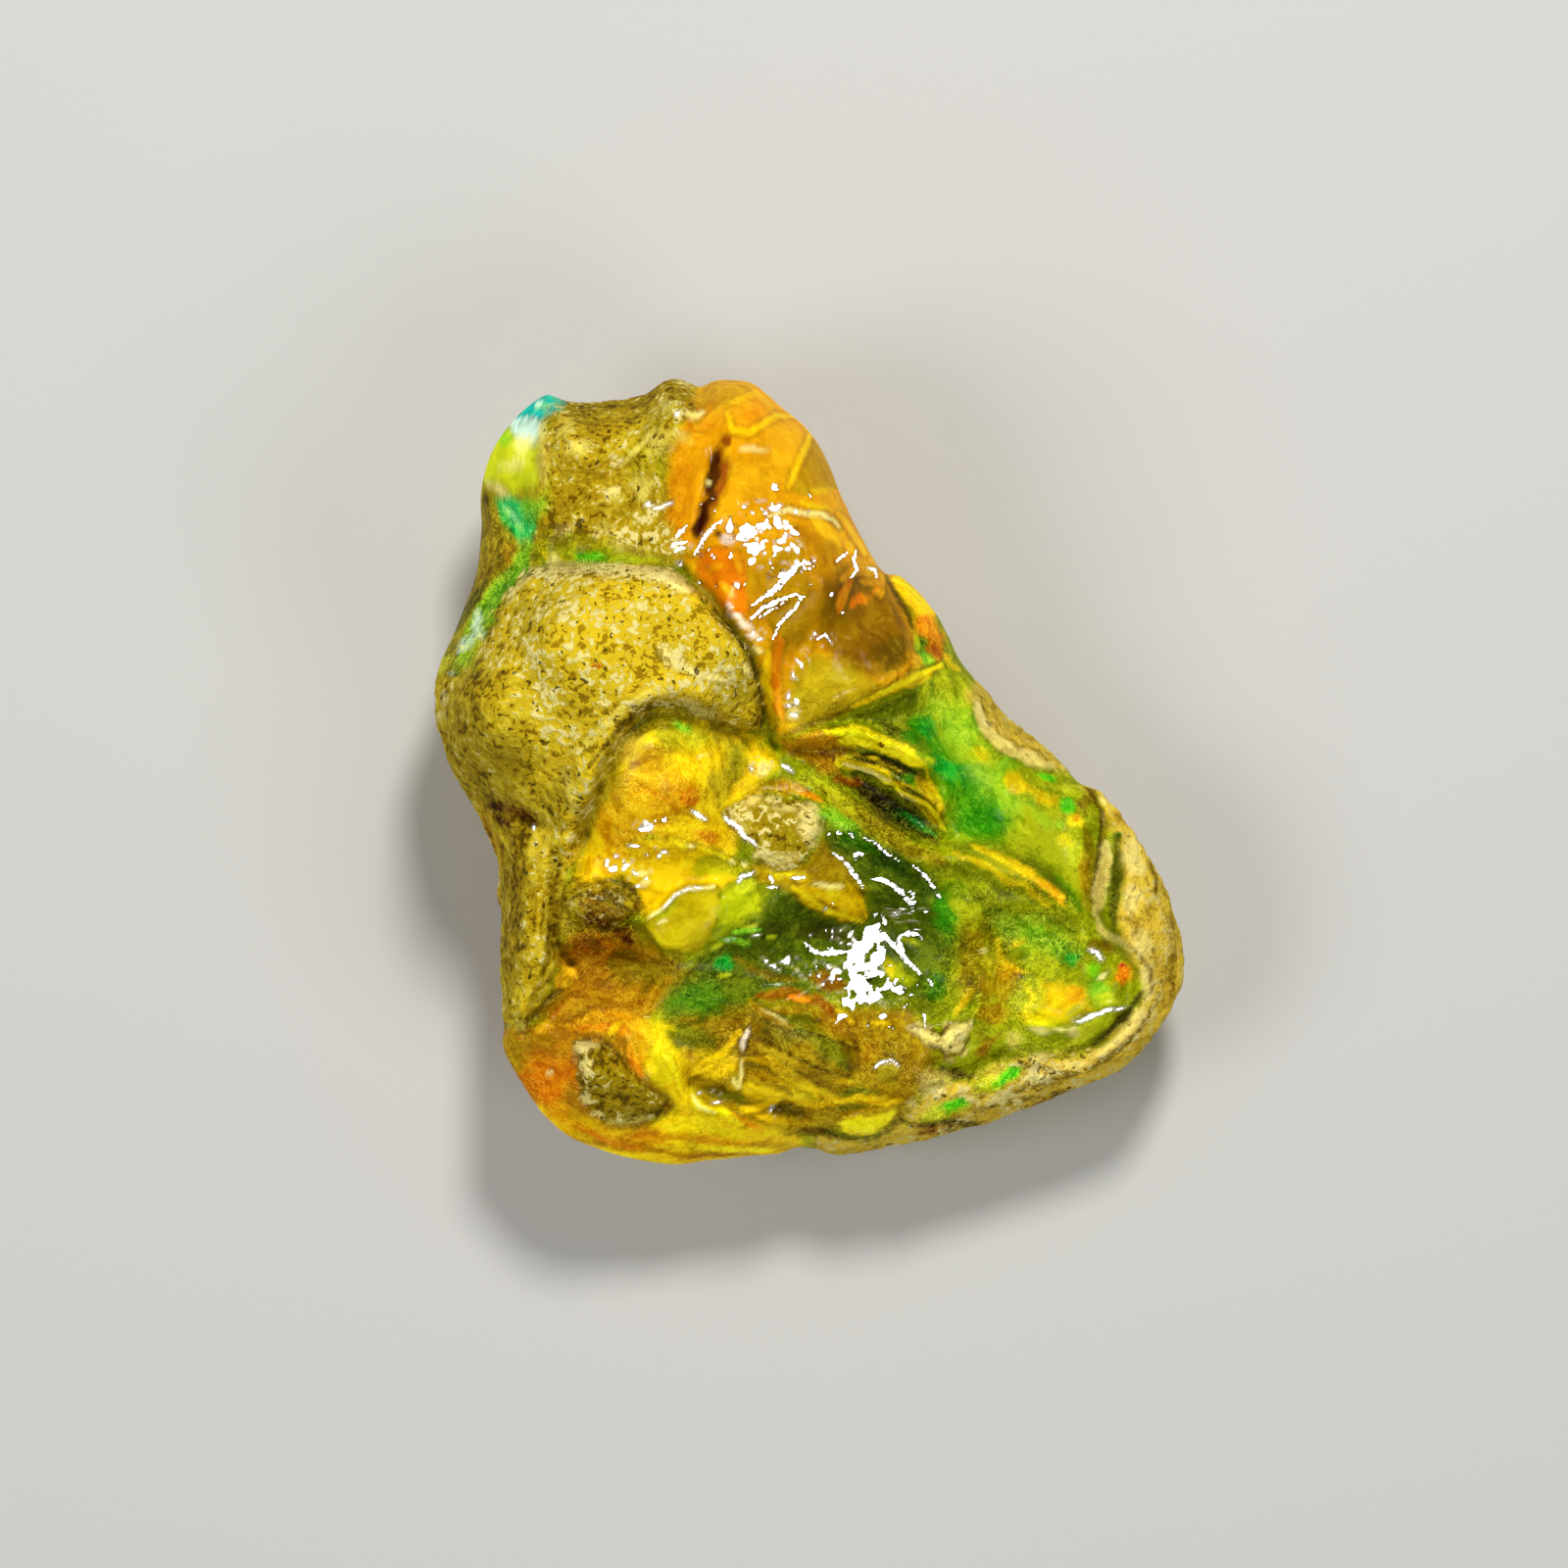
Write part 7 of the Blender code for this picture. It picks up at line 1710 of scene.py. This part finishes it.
# The opal's looks where it mirrors the lamps and where it is dull, and how bright its painted reflections
# are; its colours glow a little, which is painted light.
def glassLooks(place, tint, grain, flow, way, shine, glow):
    shifted = (place.moved(way.scaled(0.09 * shift)) for shift in range(-1, 2))
    threads = sum(there.noise("threads") for there in shifted) * (1 / 3) - 0.5
    cloud = place.noise("cloud")
    mist = place.noise("mist") - 0.5
    veins = 0.3 * flow + 2.0 * mist + 1.4 * threads
    bend = place.noise("curls") - 0.5
    curls = bend.crossing(0.0007, 0.0001) * cloud.fade(0.4, 0.56) * grain.fade(0.5, 0.9)
    folds = (place.noise("folds") - 0.5).crossing(0.0006, 0.0001) * grain.fade(0.55, 0.95)
    wisp = place.noise("wisps") - 0.5
    wisps = grain.fade(0.45, 0.8) * place.noise("wispPatches").fade(0.42, 0.56)
    highlightLevel = shine + 0.35 * mist + 0.9 * (place.noise("glitter") - 0.5)
    bright = highlightLevel.fade(0.46, 0.54)
    body = tint.scaled(0.74 + 0.26 * cloud)
    colour = body.layered(body, "paleVeins", grain * veins.fade(0.16, 0.3))
    colour = colour.layered(body, "darkVeins", grain * (0 - veins).fade(0.16, 0.34))
    colour = colour.layered(body, "folds", folds)
    colour = colour.layered(body, "curls", curls)
    colour = colour.layered(body, "darkWisps", wisp.crossing(0.0011, 0.0002) * wisps)
    colour = colour.layered(body, "paleWisps", (wisp - 0.045).crossing(0.0009, 0.0002) * wisps)
    # Painted highlights: darker around them, whitened where they are brightest.
    colour = colour.scaled(1 - 0.5 * highlightLevel.fade(0.26, 0.42))
    colour = colour.mixed(layerColours["mirrored"], 0.5 * bright)
    ripples = (veins * grain - folds).bumped(0.2)
    glass = {
        "Base Color": colour, "Roughness": 0.08 + 0.1 * cloud.fade(0.45, 0.7), "IOR": 1.45,
        "Specular IOR Level": 0.3,
        "Subsurface Weight": 0.05, "Subsurface Radius": (1.0, 0.7, 0.2), "Subsurface Scale": 0.0003,
        "Emission Color": colour.scaled(glow), "Emission Strength": 0.3,
        "Normal": ripples.turned(lampFacing, bright),
    }
    return glass, {**glass, "Roughness": 0.5, "Specular IOR Level": 0.02, "Normal": ripples}, bright


def makeOpalMaterial():
    material = bpy.data.materials.new("opalStone")
    material.use_nodes = True
    tree = material.node_tree
    tree.nodes.clear()
    start = Sock(tree)
    place = start.node("ShaderNodeTexCoord", {}, {}, 3).scaled(1 / metresPerMm)
    tint, way = start.attribute("tint", 0), start.attribute("way", 1)
    names = ("rock", "glow", "shine", "flow", "grain", "flank", "pale")
    rock, glow, shine, flow, grain, flank, pale = (start.attribute(name) for name in names)
    sand = place.noise("sand") - 0.5
    rough = rockLooks(place, tint, grain, flow, pale, sand)
    glass, matt, bright = glassLooks(place, tint, grain, flow, way, shine, glow)
    shaders = (start.node("ShaderNodeBsdfPrincipled", {}, looks) for looks in (glass, matt, rough))
    glassy, dull, rocky = shaders
    dullness = (0.6 + 0.38 * flank) * (1 - bright)
    opal = start.node("ShaderNodeMixShader", {}, {0: dullness, 1: glassy, 2: dull})
    edge = (rock + 0.8 * sand - 0.6 * bright).fade(0.35, 0.65)
    surface = start.node("ShaderNodeMixShader", {}, {0: edge, 1: opal, 2: rocky})
    output = tree.nodes.new("ShaderNodeOutputMaterial")
    tree.links.new(surface.socket, output.inputs["Surface"])
    return material


def plainMaterial(name, colour, roughness):
    material = bpy.data.materials.new(name)
    material.use_nodes = True
    surface = material.node_tree.nodes["Principled BSDF"]
    surface.inputs["Base Color"].default_value = (*colour, 1)
    surface.inputs["Roughness"].default_value = roughness
    return material


# The camera looks straight down, as the photograph does. Distances are in millimetres.
cameraSetup = {
    "height": 605.0, "level": 5.0, "pictureWidth": 57.14, "sensor": 36.0, "offset": (-0.946, -0.4375),
}
lights = {
    "key": {
        "compass": 78, "rise": 56, "distance": 260, "size": 50, "watts": 0.44, "colour": (1, 0.98, 0.94),
    },
    "fillLeft": {
        "compass": 195, "rise": 50, "distance": 300, "size": 140, "watts": 0.26, "colour": (1, 1, 1),
    },
    "fillRight": {
        "compass": 320, "rise": 45, "distance": 300, "size": 140, "watts": 0.155, "colour": (1, 1, 1),
    },
}
worldGrey = 0.13
floorSetup = {"halfWidth": 0.6, "colour": (0.66, 0.66, 0.64), "roughness": 0.8}   # half width in metres


def makeCamera():
    data = bpy.data.cameras.new("camera")
    data.sensor_width = cameraSetup["sensor"]
    distance = cameraSetup["height"] - cameraSetup["level"]
    data.lens = cameraSetup["sensor"] * distance / cameraSetup["pictureWidth"]
    camera = bpy.data.objects.new("camera", data)
    bpy.context.scene.collection.objects.link(camera)
    x, y = cameraSetup["offset"]
    camera.location = Vector((x, y, cameraSetup["height"])) * metresPerMm
    bpy.context.scene.camera = camera


def makeLights():
    for name, setup in lights.items():
        data = bpy.data.lights.new(name, "AREA")
        data.shape = "DISK"
        data.size = setup["size"] * metresPerMm
        data.energy = setup["watts"]
        data.color = setup["colour"]
        lamp = bpy.data.objects.new(name, data)
        a, t = math.radians(setup["compass"]), math.radians(setup["rise"])
        towards = Vector((math.cos(a) * math.cos(t), math.sin(a) * math.cos(t), math.sin(t)))
        lamp.location = towards * setup["distance"] * metresPerMm
        lamp.rotation_mode = "QUATERNION"
        lamp.rotation_quaternion = towards.to_track_quat("Z", "Y")
        bpy.context.scene.collection.objects.link(lamp)
    world = bpy.data.worlds.new("studio")
    world.use_nodes = True
    world.node_tree.nodes["Background"].inputs["Color"].default_value = (worldGrey, worldGrey, worldGrey, 1)
    bpy.context.scene.world = world


def makeFloor():
    shape = bmesh.new()
    bmesh.ops.create_grid(shape, x_segments=1, y_segments=1, size=floorSetup["halfWidth"])
    mesh = bpy.data.meshes.new("floor")
    shape.to_mesh(mesh)
    shape.free()
    mesh.materials.append(plainMaterial("paleFloor", floorSetup["colour"], floorSetup["roughness"]))
    floor = bpy.data.objects.new("floor", mesh)
    bpy.context.scene.collection.objects.link(floor)


piece = makeStone()
piece.data.materials.clear()
piece.data.materials.append(makeOpalMaterial())
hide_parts("opal_stone")
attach(piece, "root")
print("stone made")
makeCamera()
makeLights()
makeFloor()
bpy.context.scene.view_settings.view_transform = "Standard"
